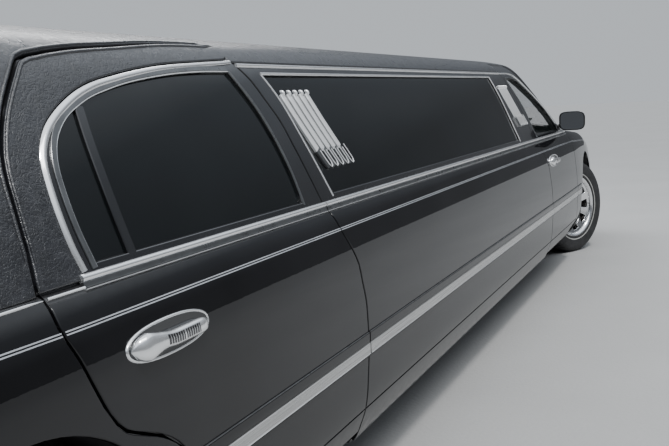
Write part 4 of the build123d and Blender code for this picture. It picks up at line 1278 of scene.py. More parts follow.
roof = panel("roof_vinyl", tidy(roof_outline, 0.0015), green_surf, "root", "vinyl_roof", [backlight], slot="vinyl_roof", off=0.002, radius=0.004, lip=0.010, gx=0.026, gy=0.018, step=0.03, sides=(0,), bodies="root")[0]
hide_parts("roof")
bg = backlight if poly_area(backlight) > 0 else backlight[::-1]
o = panel("backlight_glass", offset_loop(bg, -0.004), green_surf, "root", "dark_glass", slot="dark_glass", off=-0.004, radius=0.0008, lip=0.0045, gx=0.04, gy=0.03, sides=(0,), bodies="root")[0]
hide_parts("rear_window")

# windscreen frame: header, pillars and base
pil = [(4.512, 1.4015), (4.568, 1.3835), (4.624, 1.358), (4.749, 1.298), (4.919, 1.212), (5.064, 1.138), (5.145, 1.078), (5.250, 0.996), (5.290, 0.974), (5.322, 0.962)]
pil_uv = green_side(smooth_line(pil, False, 0.03))


def front_pts(pts):
    return green_map(green_x(pts, 1)[0])


cowl_yz = [(0.885, 0.953), (0.80, 0.966), (0.66, 0.984), (0.50, 0.992), (0.35, 0.998), (0.18, 1.003), (0.0, 1.005)]
base_uv = front_pts(smooth_line(cowl_yz, False, 0.04))
head_in = roof_head.copy()
ws_half = np.vstack([base_uv[::-1], pil_uv[::-1], roof_head[1:]])
ws_outline = np.vstack([ws_half, flip_chart(ws_half)[1:-1]])
GTOP = [(4.858, 0.0), (4.852, 0.13), (4.829, 0.280), (4.781, 0.425), (4.715, 0.530), (4.690, 0.575)]
g_top = green_map(green_z(smooth_line(GTOP, False, 0.04))[0])
xs_ = np.linspace(4.76, 5.27, 14)
v_out = np.interp(xs_, pil_uv[:, 0], pil_uv[:, 1])
g_side = np.column_stack([xs_, v_out + np.interp(xs_, [4.76, 5.27], [0.052, 0.040])])
g_base = front_pts(smooth_line([(0.800, 1.002), (0.70, 1.014), (0.50, 1.024), (0.30, 1.030), (0.0, 1.034)], False, 0.04))
ws_glass_half = np.vstack([g_top, g_side, g_base])
ws_glass = np.vstack([ws_glass_half, flip_chart(ws_glass_half)[1:-1]])
ws_glass = round_corners(ws_glass, 0.03, 25)
panel("windscreen_frame", tidy(ws_outline, 0.0015), green_surf, "root", "black_paint", [ws_glass], slot="black_paint", off=0.002, radius=0.003, lip=0.012, gx=0.014, gy=0.009, step=0.015, sides=(0,), bodies="root")
wg = ws_glass if poly_area(ws_glass) > 0 else ws_glass[::-1]
o = panel("windscreen_glass", offset_loop(wg, -0.004), green_surf, "root", "clear_glass", slot="clear_glass", off=-0.003, radius=0.0008, lip=0.005, gx=0.04, gy=0.03, sides=(0,), bodies="root")[0]
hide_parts("windscreen")

# ------------------------------------------------------------------ bright trim
def offset_open(p, d):
    """Open line moved by d to its left."""
    t = np.gradient(p, axis=0)
    t /= np.maximum(np.linalg.norm(t, axis=1, keepdims=True), 1e-12)
    return p + d * np.column_stack([-t[:, 1], t[:, 0]])


# window surround of the rear door: broad bright band, black line, satin strip
sur = smooth_line(surround + [(1.139, 1.3705)], False, 0.02)
sur_c = green_side(sur)
left = 1 if offset_open(sur_c, 0.01)[8, 0] > sur_c[8, 0] else -1
band_w = np.interp(np.arange(len(sur_c)), [0, 18, 40, len(sur_c) - 1], [1.0, 1.0, 0.86, 0.70])


def band_profile(w, h, n=6, sink=0.004):
    """Rolled bar: rounded across, with steeper sides."""
    pts = [(-w / 2, -sink), (-w / 2, h * 0.35)]
    for i in range(1, n):
        t = -1 + 2 * i / n
        pts.append((w / 2 * t * 0.94, h * (1 - 0.45 * t ** 2)))
    pts += [(w / 2, h * 0.35), (w / 2, -sink)]
    return pts


def trim(name, uv, surf, prof, body, mat, slot="chrome_trim", bodies=None, scale=None, off=0.0, taper=0.0, sharp=40, sides=(1, -1), closed=False):
    P, Nn = surf(uv[:, 0], uv[:, 1])
    P = P + Nn * off
    if taper:
        d = np.concatenate([[0], np.cumsum(np.linalg.norm(np.diff(P, axis=0), axis=1))])
        scale = np.clip(np.minimum(d, d[-1] - d) / taper, 0.1, 1.0) ** 0.6
    V, F = sweep(P, Nn, prof, closed, scale=scale)
    V, F = fix_out(V, F)
    for s_ in sides:
        word = "" if sides == (0,) else ("_left" if s_ > 0 else "_right")
        emit(name + word, V, F, (body + word) if bodies is None else bodies, mat, slot=slot, side=s_, sharp=sharp)
    return V, F


trim("rear_door_surround", offset_open(sur_c, left * 0.0085), green_surf, band_profile(0.0165, 0.0065), "rear_door", "chrome_trim", scale=band_w, off=0.0015)
inner = smooth_line([(0.318, 0.966), (0.310, 1.040), (0.312, 1.100), (0.324, 1.160), (0.345, 1.196), (0.380, 1.227), (0.467, 1.268), (0.584, 1.297), (0.767, 1.322), (0.995, 1.335), (1.098, 1.3355)], False, 0.02)
inn = green_side(inner)
li = 1 if offset_open(inn, 0.01)[8, 0] < inn[8, 0] else -1
trim("rear_door_surround_inner", offset_open(inn, li * 0.0075), green_surf, box_profile(0.0135, 0.0032), "rear_door", "satin_grey", off=0.0012)
trim("rear_door_glass_edge", offset_open(inn, li * 0.0006), green_surf, half_round(0.0035, 0.0025, 5), "rear_door", "chrome_trim", off=0.0012)
fr = green_side(smooth_line([(1.100, 1.333), (1.157, 1.234), (1.186, 1.138), (1.196, 1.068), (1.196, 0.968)], False, 0.02))
lf = 1 if offset_open(fr, 0.01)[4, 0] > fr[4, 0] else -1
trim("rear_door_front_strip", offset_open(fr, lf * 0.005), green_surf, half_round(0.009, 0.003, 5), "rear_door", "satin_grey", off=0.0012)
# division bar of the rear door glass
db = green_side(smooth_line([(0.452, 1.262), (0.440, 1.20), (0.433, 1.13), (0.430, 1.05), (0.431, 0.964)], False, 0.03))
trim("rear_door_division_bar", db, green_surf, box_profile(0.026, 0.0055, 0.002, 0.006), "rear_door", "gloss_black", off=-0.004)
# rolled edges of the vinyl beside the door cut, and the edge that carries over the door's front corner
ve = green_side(offset_open(rt, 0.0)[2:-2])
vl = 1 if offset_open(ve, 0.01)[6, 0] > ve[6, 0] else -1
trim("rear_door_vinyl_edge", offset_open(ve, vl * 0.006), green_surf, half_round(0.008, 0.0035, 6), "rear_door", "vinyl_roof", slot="vinyl_roof", off=0.0035, taper=0.02)
ve2 = green_side((rt + rn * GAP)[2:-2])
trim("roof_edge_welt", offset_open(ve2, -vl * 0.006), green_surf, half_round(0.008, 0.0035, 6), "root", "vinyl_roof", slot="vinyl_roof", bodies="root", off=0.0015, taper=0.02)

# centre window: thin bright edge all round the glass, twin strips over it
cwl = green_side(smooth_line([(1.398, 0.970), (1.350, 1.136), (1.309, 1.271), (1.274, 1.3315)], False, 0.03))
trim("centre_window_rear_strip", cwl, green_surf, half_round(0.0065, 0.003, 5), "root", "chrome_trim", bodies="root", off=0.0012)
cwf = green_side(smooth_line([(3.914, 1.3315), (3.935, 1.255), (3.965, 1.063), (3.986, 0.970)], False, 0.03))
trim("centre_window_front_strip", cwf, green_surf, half_round(0.0065, 0.003, 5), "root", "chrome_trim", bodies="root", off=0.0012)
cwt = green_side([(x, 1.3315) for x in np.linspace(1.272, 3.916, 60)])
trim("centre_window_top_strip", cwt, green_surf, half_round(0.0085, 0.004, 6), "root", "chrome_trim", bodies="root", off=0.0012)
x_a, x_b = 1.160, 4.192
drip = green_side([(x, 1.3535) for x in np.linspace(x_a, x_b, 70)])
trim("centre_drip_rail", drip, green_surf, band_profile(0.0115, 0.007), "root", "chrome_trim", bodies="root", off=0.0012)
# front door: drip band over the window and down the pillar, satin strip round the glass
fdd = green_side(smooth_line([(4.1935, 1.3535), (4.30, 1.3545), (4.430, 1.3535), (4.525, 1.344), (4.600, 1.3225), (4.70, 1.2785), (4.88, 1.1955), (5.035, 1.1195), (5.125, 1.059), (5.225, 0.980), (5.240, 0.966)], False, 0.03))
trim("front_door_drip_rail", fdd, green_surf, band_profile(0.0095, 0.0055), "front_door", "chrome_trim", off=0.0012)
fde = green_side(smooth_line([(4.285, 1.3275), (4.440, 1.3275), (4.541, 1.3165), (4.691, 1.2635), (4.881, 1.1815), (5.026, 1.1095), (5.106, 1.0545), (5.207, 0.970)], False, 0.03))
trim("front_door_glass_edge", fde, green_surf, half_round(0.0055, 0.003, 5), "front_door", "satin_grey", off=0.0012)
fdr = green_side(smooth_line([(4.284, 1.327), (4.320, 1.268), (4.400, 1.155), (4.430, 1.020), (4.453, 0.968)], False, 0.03))
trim("front_door_rear_edge", fdr, green_surf, half_round(0.006, 0.003, 5), "front_door", "satin_grey", off=0.0012)


# belt moulding: bright band over a grey one, with a thin bright line beneath
def belt_surf(z):
    def f(u, v):
        u = np.asarray(u, float)
        q = low_side(np.column_stack([u, np.full(len(u), 0.925)]))
        P = low_raw(q[:, 0], q[:, 1])
        yb = P[:, 1] - np.interp(z, [0.925, 0.942, 0.960], [0.0, 0.0135, 0.021])
        return np.column_stack([u, yb, np.full(len(u), z)]), np.tile((0.0, math.cos(0.30), math.sin(0.30)), (len(u), 1))
    return f


def belt_run(name, xa, xb, body, bodies=None):
    xs = np.linspace(xa, xb, max(4, int((xb - xa) / 0.06)))
    uv = np.column_stack([xs, xs * 0])
    trim(name + "_belt_bright", uv, belt_surf(0.9545), band_profile(0.0150, 0.0085), body, "chrome_trim", bodies=bodies, off=0.001)
    trim(name + "_belt_grey", uv, belt_surf(0.9430), box_profile(0.0105, 0.0045, 0.001, 0.008), body, "satin_grey", bodies=bodies, off=0.0)
    trim(name + "_belt_line", uv, belt_surf(0.9355), half_round(0.0042, 0.0042, 5, 0.006), body, "chrome_trim", bodies=bodies, off=0.0)


belt_run("rear_door", 0.262, seam(SEAM_R, 0.945) - 0.001, "rear_door")
belt_run("centre", seam(SEAM_R, 0.945) + GAP, seam(SEAM_F, 0.945) - GAP, "root", "root")
belt_run("front_door", seam(SEAM_F, 0.945) + 0.001, 5.395, "front_door")
xs = np.linspace(-0.36, 0.157, 14)
qv = low_side(np.column_stack([xs, np.full(len(xs), 0.9385)]))
trim("quarter_vinyl_bead", qv, low_surf, half_round(0.006, 0.0045, 5), "root", "chrome_trim", bodies="root", off=0.0008, taper=0.02)
xs = np.linspace(0.166, 0.262, 5)
qv = low_side(np.column_stack([xs, np.full(len(xs), 0.9385)]))
trim("rear_door_vinyl_bead", qv, low_surf, half_round(0.006, 0.0045, 5), "rear_door", "chrome_trim", off=0.0008)


# twin pinstripe along the whole side
def stripe(name, xa, xb, body, bodies=None):
    xs = np.linspace(xa, xb, max(4, int((xb - xa) / 0.06)))
    for i, z in enumerate((0.8845, 0.8795)):
        k1 = np.interp(xs, LX, (STATIONS[:, 3] - MID) / (BELT - MID))
        q = low_side(np.column_stack([xs, MID + (z - MID) * k1]))
        trim(name + "_pinstripe_" + "ab"[i], q, low_surf, [(-0.0013, -0.0008), (-0.0013, 0.0003), (0.0013, 0.0003), (0.0013, -0.0008)], body, "pinstripe", slot="black_paint", bodies=bodies, off=0.0016)


stripe("quarter", -1.20, 0.156, "root", "root")
stripe("rear_door", 0.166, seam(SEAM_R, 0.882) - 0.001, "rear_door")
stripe("centre", seam(SEAM_R, 0.882) + GAP, seam(SEAM_F, 0.882) - GAP, "root", "root")
stripe("front_door", seam(SEAM_F, 0.882) + 0.001, FD - 0.006, "front_door")
stripe("fender", FD + 0.001, 6.55, "root", "root")


# body-side moulding: ledge in body paint, broad silver strip with bright edges, thin dark foot, and a grey bead along
# the ledge's top that is a painted highlight
def side_run(name, xa, xb, body, bodies=None):
    xs = np.linspace(xa, xb, max(4, int((xb - xa) / 0.07)))

    def at(z):
        k1 = np.where(z > MID, 1.0, 1.0)
        return low_side(np.column_stack([xs, np.full(len(xs), z) * k1]))
    trim(name + "_side_ledge", at(0.5500), low_surf, [(-0.0155, -0.003), (-0.0155, 0.0020), (-0.0140, 0.0054), (-0.011, 0.0064), (0.012, 0.0058), (0.0155, 0.0050), (0.0155, -0.003)], body, "black_paint", slot="black_paint", bodies=bodies, off=0.0, sharp=60)
    trim(name + "_side_strip", at(0.5160), low_surf, [(-0.0160, -0.003), (-0.0160, 0.0055), (-0.0145, 0.0072), (0.0150, 0.0072), (0.0165, 0.0055), (0.0165, -0.003)], body, "brushed_strip", bodies=bodies, off=0.0)
    trim(name + "_side_line", at(0.5010), low_surf, half_round(0.0042, 0.0090, 5), body, "chrome_trim", bodies=bodies, off=0.0)
    # grey metal bead along the ledge's top: a painted highlight standing in for the light the ledge catches
    trim(name + "_side_crease_painted_highlight", at(0.5640), low_surf, half_round(0.0024, 0.0062, 5), body, "satin_grey", bodies=bodies, off=0.0)
    trim(name + "_side_foot", at(0.4955), low_surf, box_profile(0.006, 0.0042), body, "rubber_trim", slot="tyre_rubber", bodies=bodies, off=0.0)


side_run("rear_door", 0.470, seam(SEAM_R, 0.53) - 0.0015, "rear_door")
side_run("centre", seam(SEAM_R, 0.53) + GAP + 0.0005, seam(SEAM_F, 0.53) - GAP - 0.0005, "root", "root")
side_run("front_door", seam(SEAM_F, 0.53) + 0.0015, FD - 0.0015, "front_door")
side_run("fender", FD + GAP + 0.001, 5.628 - 0.01, "root", "root")
side_run("quarter", -1.230, -0.372, "root", "root")

# ------------------------------------------------------------------ curved bright bars on the side windows
def fins():
    """Five bars with rounded hooked tops and stepped, darker lower ends, standing on the glass."""
    out = {"bar_chrome_painted_sheen": [], "satin_grey": []}
    for top in (1.3290, 4.000):
        for i in range(5):
            x0 = top + i * 0.041 + 0.014
            lean = 0.104
            zz = np.concatenate([np.linspace(1.273, 1.105, 15)])
            t = (1.273 - zz) / (1.273 - 1.05)
            xx = x0 + lean * (0.42 * t + 0.58 * t ** 1.55)
            P, Nn = green_y(np.column_stack([xx, zz]))
            h = 0.0022 + 0.0022 * np.sin(np.clip(t / 0.10, 0, 1) * math.pi / 2) ** 0.8
            w_ = 0.0132 * np.clip(0.45 + t / 0.05, 0, 1.0) ** 0.5
            prof = lambda a, b: [(-a, -0.004), (-a, b * 0.62), (-a * 0.86, b * 0.84), (-a * 0.55, b * 0.97), (0, b * 1.0), (a * 0.55, b * 0.97), (a * 0.86, b * 0.84), (a, b * 0.62), (a, -0.004)]
            T = np.gradient(P, axis=0); T /= np.linalg.norm(T, axis=1, keepdims=True)
            B = np.cross(Nn, T); B /= np.linalg.norm(B, axis=1, keepdims=True)
            V = []
            for j in range(len(P)):
                for a, b in prof(w_[j], h[j]):
                    V.append(P[j] + B[j] * a + Nn[j] * b)
            q = 9
            F = []
            for j in range(len(P) - 1):
                for a in range(q):
                    b = (a + 1) % q
                    F.append((j * q + a, j * q + b, (j + 1) * q + b, (j + 1) * q + a))
            F.append(tuple(range(q))[::-1]); F.append(tuple((len(P) - 1) * q + a for a in range(q)))
            out["bar_chrome_painted_sheen"].append(fix_out(np.array(V), F))
            # small rounded hook over the top end
            hp = np.array([P[0] + Nn[0] * (0.002 + 0.006 * math.sin(a)) - T[0] * (0.006 * math.cos(a)) for a in np.linspace(0, math.pi, 9)])
            out["bar_chrome_painted_sheen"].append(fix_out(*tube(hp, 0.0048, 10)))
            # lower end, one step back, ending rounded
            zz2 = np.linspace(1.103, 1.050, 8)
            t2 = (1.273 - zz2) / (1.273 - 1.05)
            xx2 = x0 + lean * (0.42 * t2 + 0.58 * t2 ** 1.55)
            P2, N2 = green_y(np.column_stack([xx2, zz2]))
            w2 = 0.0115 * np.sqrt(np.clip(1 - (np.clip((t2 - t2[-3]) / (t2[-1] - t2[-3]), 0, 1)) ** 2, 0.12, 1))
            T2 = np.gradient(P2, axis=0); T2 /= np.linalg.norm(T2, axis=1, keepdims=True)
            B2 = np.cross(N2, T2)
            V = []
            for j in range(len(P2)):
                for a, b in prof(w2[j], 0.0030):
                    V.append(P2[j] + B2[j] * a + N2[j] * b)
            F = []
            for j in range(len(P2) - 1):
                for a in range(q):
                    b = (a + 1) % q
                    F.append((j * q + a, j * q + b, (j + 1) * q + b, (j + 1) * q + a))
            F.append(tuple(range(q))[::-1]); F.append(tuple((len(P2) - 1) * q + a for a in range(q)))
            out["satin_grey"].append(fix_out(np.array(V), F))
            # bright rim on the stepped end
            rimp = np.array([P2[j] + B2[j] * (w2[j] * 0.9) + N2[j] * 0.0128 for j in range(len(P2))] + [P2[j] - B2[j] * (w2[j] * 0.9) + N2[j] * 0.0128 for j in range(len(P2) - 1, -1, -1)])
            out["bar_chrome_painted_sheen"].append(fix_out(*tube(rimp, 0.0017, 6)))
    return out


fin_obj = None
# the bright bars' finish carries a painted reflection: a near-white diffuse colour in place of mirrored sky
for mt, parts_ in fins().items():
    V, F = join(parts_)
    for s_ in (1, -1):
        o = emit("window_fins_" + ("bright" if mt == "bar_chrome_painted_sheen" else "ends") + ("_left" if s_ > 0 else "_right"), V, F, "root", mt, slot="chrome_trim", side=s_, sharp=50)
        if fin_obj is None:
            fin_obj = o
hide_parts("window_bars")

# ------------------------------------------------------------------ door handles
def oval(cx, cz, rx, rz, n=40, p=2.3, tilt=0.0):
    out = []
    for i in range(n):
        a = 2 * math.pi * i / n
        c, s = math.cos(a), math.sin(a)
        x = rx * (abs(c) ** (2 / p)) * (1 if c >= 0 else -1)
        z = rz * (abs(s) ** (2 / p)) * (1 if s >= 0 else -1)
        out.append((cx + x * math.cos(tilt) - z * math.sin(tilt), cz + x * math.sin(tilt) + z * math.cos(tilt)))
    return out


def handle_set(name, cx, cz, L, H, body):
    """Bright oval bezel round a dished cup, with a pull bar whose rear end is solid and rounded."""
    rx, rz = L / 2, H / 2
    outer = low_side(oval(cx, cz, rx, rz))
    # bezel: a rolled ring
    P, Nn = low_surf(outer[:, 0], outer[:, 1])
    V, F = sweep(P, Nn, [(-0.0034, -0.003), (-0.0034, 0.0018), (-0.0022, 0.0045), (0.0, 0.0055), (0.0022, 0.0043), (0.0034, 0.0010), (0.0034, -0.003)], closed=True)
    V, F = fix_out(V, F)
    both(name + "_bezel", V, F, body, "chrome_trim", slot="chrome_trim", sharp=60)
    # cup: gloss black dish inside the bezel, deeper to the front
    rings, n = [], 40
    for q in (1.0, 0.86, 0.68, 0.45, 0.2, 0.02):
        uvq = low_side(oval(cx + (1 - q) * 0.012, cz, rx * q * 0.985, rz * q * 0.95, n))
        Pq, Nq = low_surf(uvq[:, 0], uvq[:, 1])
        rings.append(Pq + Nq * (0.0035 - 0.0016 * (1 - q ** 2) * 1.0))
    V = np.vstack(rings + [rings[-1].mean(0)[None] * 0 + rings[-1].mean(0)])
    F = []
    for a in range(len(rings) - 1):
        for i in range(n):
            j = (i + 1) % n
            F.append((a * n + i, a * n + j, (a + 1) * n + j, (a + 1) * n + i))
    c_ = len(rings) * n
    for i in range(n):
        F.append(((len(rings) - 1) * n + i, (len(rings) - 1) * n + (i + 1) % n, c_))
    # close it at the back
    Pb, Nb = low_surf(outer[:, 0], outer[:, 1])
    uvb = low_side(oval(cx, cz, rx * 0.985, rz * 0.95, n))
    Pb, Nb = low_surf(uvb[:, 0], uvb[:, 1])
    b0 = len(V)
    V = np.vstack([V, Pb - Nb * 0.002, (Pb - Nb * 0.002).mean(0)[None]])
    for i in range(n):
        j = (i + 1) % n
        F.append((b0 + i, b0 + j, j, i))
        F.append((b0 + j, b0 + i, b0 + n))
    V, F = fix_out(V, F)
    both(name + "_cup", V, F, body, "gloss_black", slot="chrome_trim", sharp=60)
    # pull: solid rounded rear end, a bar across the cup to the front
    st = []
    for q in np.linspace(-1, 1, 29):
        x = cx + q * rx * 0.93
        if q < -0.42:
            t = (q + 1) / 0.58
            hz = rz * 0.80 * math.sqrt(max(0.0, 1 - (1 - min(1, t / 0.55)) ** 2)) * (1 - 0.30 * max(0, (t - 0.55) / 0.45))
            top = 0.026 * math.sqrt(max(0.02, 1 - (1 - min(1, t / 0.5)) ** 2))
            zc_ = cz - 0.001
        else:
            t = (q + 0.42) / 1.42
            hz = rz * (0.56 - 0.08 * sstep(0, 0.14, t)) * math.sqrt(max(0.03, 1 - max(0, (t - 0.76) / 0.24) ** 2))
            top = 0.026 - 0.003 * t - 0.016 * max(0, (t - 0.8) / 0.2) ** 2
            zc_ = cz - 0.001 - 0.004 * sstep(0, 0.3, t)
        st.append((x, zc_, max(hz, 0.0015), top))
    V, F, q_ = [], [], 12
    for x, z, hz, top in st:
        uv = low_side([(x, z)])
        P0, N0 = low_surf(uv[:, 0], uv[:, 1])
        up_ = np.array((0, 0, 1.0)); up_ -= N0[0] * (up_ @ N0[0]); up_ /= np.linalg.norm(up_)
        for a in range(q_):
            ang = 2 * math.pi * a / q_
            c, s = math.cos(ang), math.sin(ang)
            cc = abs(c) ** 0.7 * (1 if c >= 0 else -1)
            ss = abs(s) ** 0.7 * (1 if s >= 0 else -1)
            V.append(P0[0] + up_ * hz * cc + N0[0] * (top * 0.55 + top * 0.5 * ss))
    for i in range(len(st) - 1):
        for a in range(q_):
            b = (a + 1) % q_
            F.append((i * q_ + a, i * q_ + b, (i + 1) * q_ + b, (i + 1) * q_ + a))
    F.append(tuple(range(q_))[::-1]); F.append(tuple((len(st) - 1) * q_ + a for a in range(q_)))
    V, F = fix_out(np.array(V), F)
    both(name + "_pull", V, F, body, "chrome_trim", slot="chrome_trim", sharp=60)

    # dark inlay let into the bar's outer face, crossed by fine bright ribs
    def strip(x0, x1, lift, steps):
        Vs = []
        for x in np.linspace(x0, x1, steps + 1):
            t = ((x - cx) / (rx * 0.93) + 0.42) / 1.42
            hz = rz * (0.56 - 0.08 * sstep(0, 0.14, t))
            top = 0.026 - 0.003 * t - 0.016 * max(0, (t - 0.8) / 0.2) ** 2
            uv = low_side([(x, cz - 0.001 - 0.004 * sstep(0, 0.3, t))])
            P0, N0 = low_surf(uv[:, 0], uv[:, 1])
            up_ = np.array((0, 0, 1.0)); up_ -= N0[0] * (up_ @ N0[0]); up_ /= np.linalg.norm(up_)
            for w_, d_, l_ in ((-0.60, 1.002, lift), (0.0, 1.05, lift), (0.60, 1.002, lift), (0.60, 1.002, -0.0012), (0.0, 1.05, -0.0012), (-0.60, 1.002, -0.0012)):
                Vs.append(P0[0] + up_ * hz * w_ + N0[0] * (top * d_ + l_))
        Fs = [(i * 6 + a, i * 6 + (a + 1) % 6, (i + 1) * 6 + (a + 1) % 6, (i + 1) * 6 + a) for i in range(steps) for a in range(6)]
        Fs += [tuple(range(6))[::-1], tuple(steps * 6 + a for a in range(6))]
        return fix_out(np.array(Vs), Fs)

    xa, xb = cx - rx * 0.93 * 0.30, cx + rx * 0.93 * 0.58
    V, F = strip(xa, xb, 0.0006, 24)
    both(name + "_inlay", V, F, body, "gloss_black", slot="chrome_trim", sharp=60)
    bars = [strip(x - (0.0022 if k == 6 else 0.0007), x + (0.0022 if k == 6 else 0.0007), 0.0013, 2) for k, x in enumerate(np.linspace(xa + 0.006, xb - 0.006, 13))]
    both(name + "_ribs", *join(bars), body, "chrome_trim", slot="chrome_trim", sharp=60)


handle_set("rear_door_handle", 0.4305, 0.812, 0.272, 0.066, "rear_door")
handle_set("front_door_handle", SEAM_F + 0.230, 0.812, 0.272, 0.066, "front_door")

# ------------------------------------------------------------------ wheels
def turned(a, cx, cy, cz=0.351):
    """Wheel frame to car frame, on the left: turn a about the vertical, then move."""
    c, s = math.cos(a), math.sin(a)
    R3 = np.array([[c, -s, 0], [s, c, 0], [0, 0, 1.0]])
    off_ = np.array([cx, cy, cz])

    def f(P):
        return np.asarray(P) @ R3.T + off_

    def g(Nn):
        return np.asarray(Nn) @ R3.T
    return f, g


KP, OFFS = 0.750, 0.050


def wheel_frames():
    rows = []
    for s_, w_ in ((1, "left"), (-1, "right")):
        rows.append(("rear", w_, s_, *turned(0.0, 0.0, KP + OFFS)))
        a = math.radians(-25.0 * s_)
        rows.append(("front", w_, s_, *turned(a, WB - math.sin(a) * OFFS, KP + math.cos(a) * OFFS)))
    return rows


def tyre_mesh():
    PITCH = 58
    half = [(0.2235, 0.086, 0), (0.2240, 0.0955, 0), (0.2300, 0.0990, 0), (0.2350, 0.1035, 0), (0.2400, 0.1062, 0), (0.2450, 0.1064, 0), (0.2475, 0.1052, 0), (0.2500, 0.1050, 0), (0.2600, 0.1060, 0), (0.2615, 0.1073, 0), (0.2700, 0.1092, 0), (0.2860, 0.1114, 0), (0.3030, 0.1123, 0),
            (0.3150, 0.1118, 0), (0.3165, 0.1105, 0), (0.3250, 0.1090, 0), (0.3350, 0.1045, 1), (0.3420, 0.0980, 1), (0.3462, 0.0900, 2), (0.3486, 0.0790, 2), (0.3496, 0.0620, 2), (0.3500, 0.0600, 0.3), (0.3415, 0.0585, 0), (0.3415, 0.0525, 0), (0.3502, 0.0510, 0.3), (0.3506, 0.0490, 3), (0.3508, 0.0250, 3), (0.3508, 0.0230, 0.3), (0.3420, 0.0215, 0), (0.3420, 0.0145, 0), (0.3510, 0.0130, 0.3), (0.3510, 0.0115, 4), (0.3510, 0.0, 4)]
    full = half + [(r_, -y_, k_) for r_, y_, k_ in half[:-1][::-1]]
    ang = []
    for i in range(PITCH):
        for q, d in ((0.0, 0), (0.80, 0), (0.83, 1), (0.97, 1)):
            ang.append(((i + q) / PITCH * 2 * math.pi, d))
    V, q = [], len(full)
    for a0, d in ang:
        for r_, y_, k_ in full:
            rr, sk = r_, 0.0
            if abs(y_) < 0.0995 and r_ > 0.34:
                sk = 0.35 * y_ * (1 if y_ > 0 else -1) / 0.351 + (0.05 if abs(y_) < 0.022 else 0)
            if d:
                rr = r_ - {0: 0.0, 0.3: 0.0, 1: 0.0045, 2: 0.0065, 3: 0.0045, 4: 0.0030}[k_]
            a = a0 + sk
            V.append((rr * math.cos(a), y_, rr * math.sin(a)))
    m = len(ang)
    F = []
    for i in range(m):
        j = (i + 1) % m
        for a in range(q):
            b = (a + 1) % q
            F.append((i * q + a, i * q + b, j * q + b, j * q + a))
    return fix_out(np.array(V), F)


def rim_mesh():
    pr = [(0.2225, 0.0880), (0.2240, 0.0950), (0.2290, 0.0980), (0.2318, 0.1000), (0.2322, 0.1022), (0.2300, 0.1040), (0.2262, 0.1038), (0.2215, 0.1010), (0.2170, 0.0975), (0.2125, 0.0930), (0.2095, 0.0860), (0.2070, 0.0700), (0.2040, 0.0350), (0.2020, -0.0200), (0.2035, -0.0860), (0.2100, -0.0960), (0.2290, -0.1010), (0.2290, -0.0975), (0.2230, -0.0930), (0.2225, -0.0500)]
    return fix_out(*lathe(pr, 72))


def dish(r_):
    return np.interp(r_, [0.0, 0.050, 0.072, 0.100, 0.150, 0.190, 0.206], [0.0640, 0.0640, 0.0600, 0.0620, 0.0720, 0.0800, 0.0840])


SPOKES = 9


def face_surf(f, g):
    def surf(u, v):
        u, v = np.asarray(u, float), np.asarray(v, float)
        r_ = np.hypot(u, v)
        th = np.arctan2(v, u)
        y_ = dish(r_)
        ph = ((th / (2 * math.pi) * SPOKES) % 1.0) - 0.5       # 0 on a spoke's middle
        arcw = np.abs(ph) * 2 * math.pi * r_ / SPOKES
        rib = np.clip(1 - (arcw / 0.0085) ** 2, 0, 1)
        y_ = y_ - 0.0035 * rib * sstep(0.080, 0.10, r_) * (1 - sstep(0.178, 0.192, r_))
        P = np.column_stack([u, y_, v])
        e = 1e-4
        s1 = (dish(r_ + e) - dish(np.maximum(r_ - e, 0))) / (2 * e)
        n = np.column_stack([-s1 * np.cos(th), np.ones_like(u), -s1 * np.sin(th)])
        n /= np.linalg.norm(n, axis=1, keepdims=True)
        return f(P), g(n)
    return surf


def windows_():
    out = []
    for i in range(SPOKES):
        t0 = 2 * math.pi * i / SPOKES
        pts = []
        for r_, half in ((0.098, 0.0135), (0.140, 0.0235), (0.170, 0.0310), (0.187, 0.0345)):
            pts.append((r_, half / r_))
        loop = [(r_ * math.cos(t0 + h_), r_ * math.sin(t0 + h_)) for r_, h_ in pts] + [(0.189 * math.cos(t0), 0.189 * math.sin(t0))] + [(r_ * math.cos(t0 - h_), r_ * math.sin(t0 - h_)) for r_, h_ in pts[::-1]] + [(0.0965 * math.cos(t0), 0.0965 * math.sin(t0))]
        out.append(round_corners(loop, 0.007, 30, 4))
    return out


TYRE, RIM = tyre_mesh(), rim_mesh()
RING = fix_out(*lathe([(0.2505, 0.1040), (0.2508, 0.1062), (0.2545, 0.1066), (0.2582, 0.1068), (0.2585, 0.1045)], 96))
DISC = join([fix_out(*lathe([(0.045, -0.0345), (0.150, -0.0345), (0.1505, -0.0340), (0.1505, -0.0270), (0.148, -0.0262), (0.148, -0.0178), (0.1505, -0.0170), (0.1505, -0.0105), (0.150, -0.0100), (0.088, -0.0100), (0.086, -0.008), (0.084, 0.016), (0.080, 0.020), (0.045, 0.020)], 64))])
HUBP = [fix_out(*lathe([(0.033, 0.0350), (0.070, 0.0350), (0.076, 0.0300), (0.078, 0.0200), (0.033, 0.0200)], 48))]
HUBP.append(fix_out(*lathe([(0.0345, 0.020), (0.090, 0.040), (0.098, 0.055), (0.0345, 0.0600)], 48)))
cap = fix_out(*lathe([(0.0, 0.0600), (0.0395, 0.0600), (0.0400, 0.0680), (0.0375, 0.0715), (0.0330, 0.0722), (0.0310, 0.0700), (0.0285, 0.0695), (0.0180, 0.0725), (0.0, 0.0740)], 40, closed_profile=True))
nuts = []
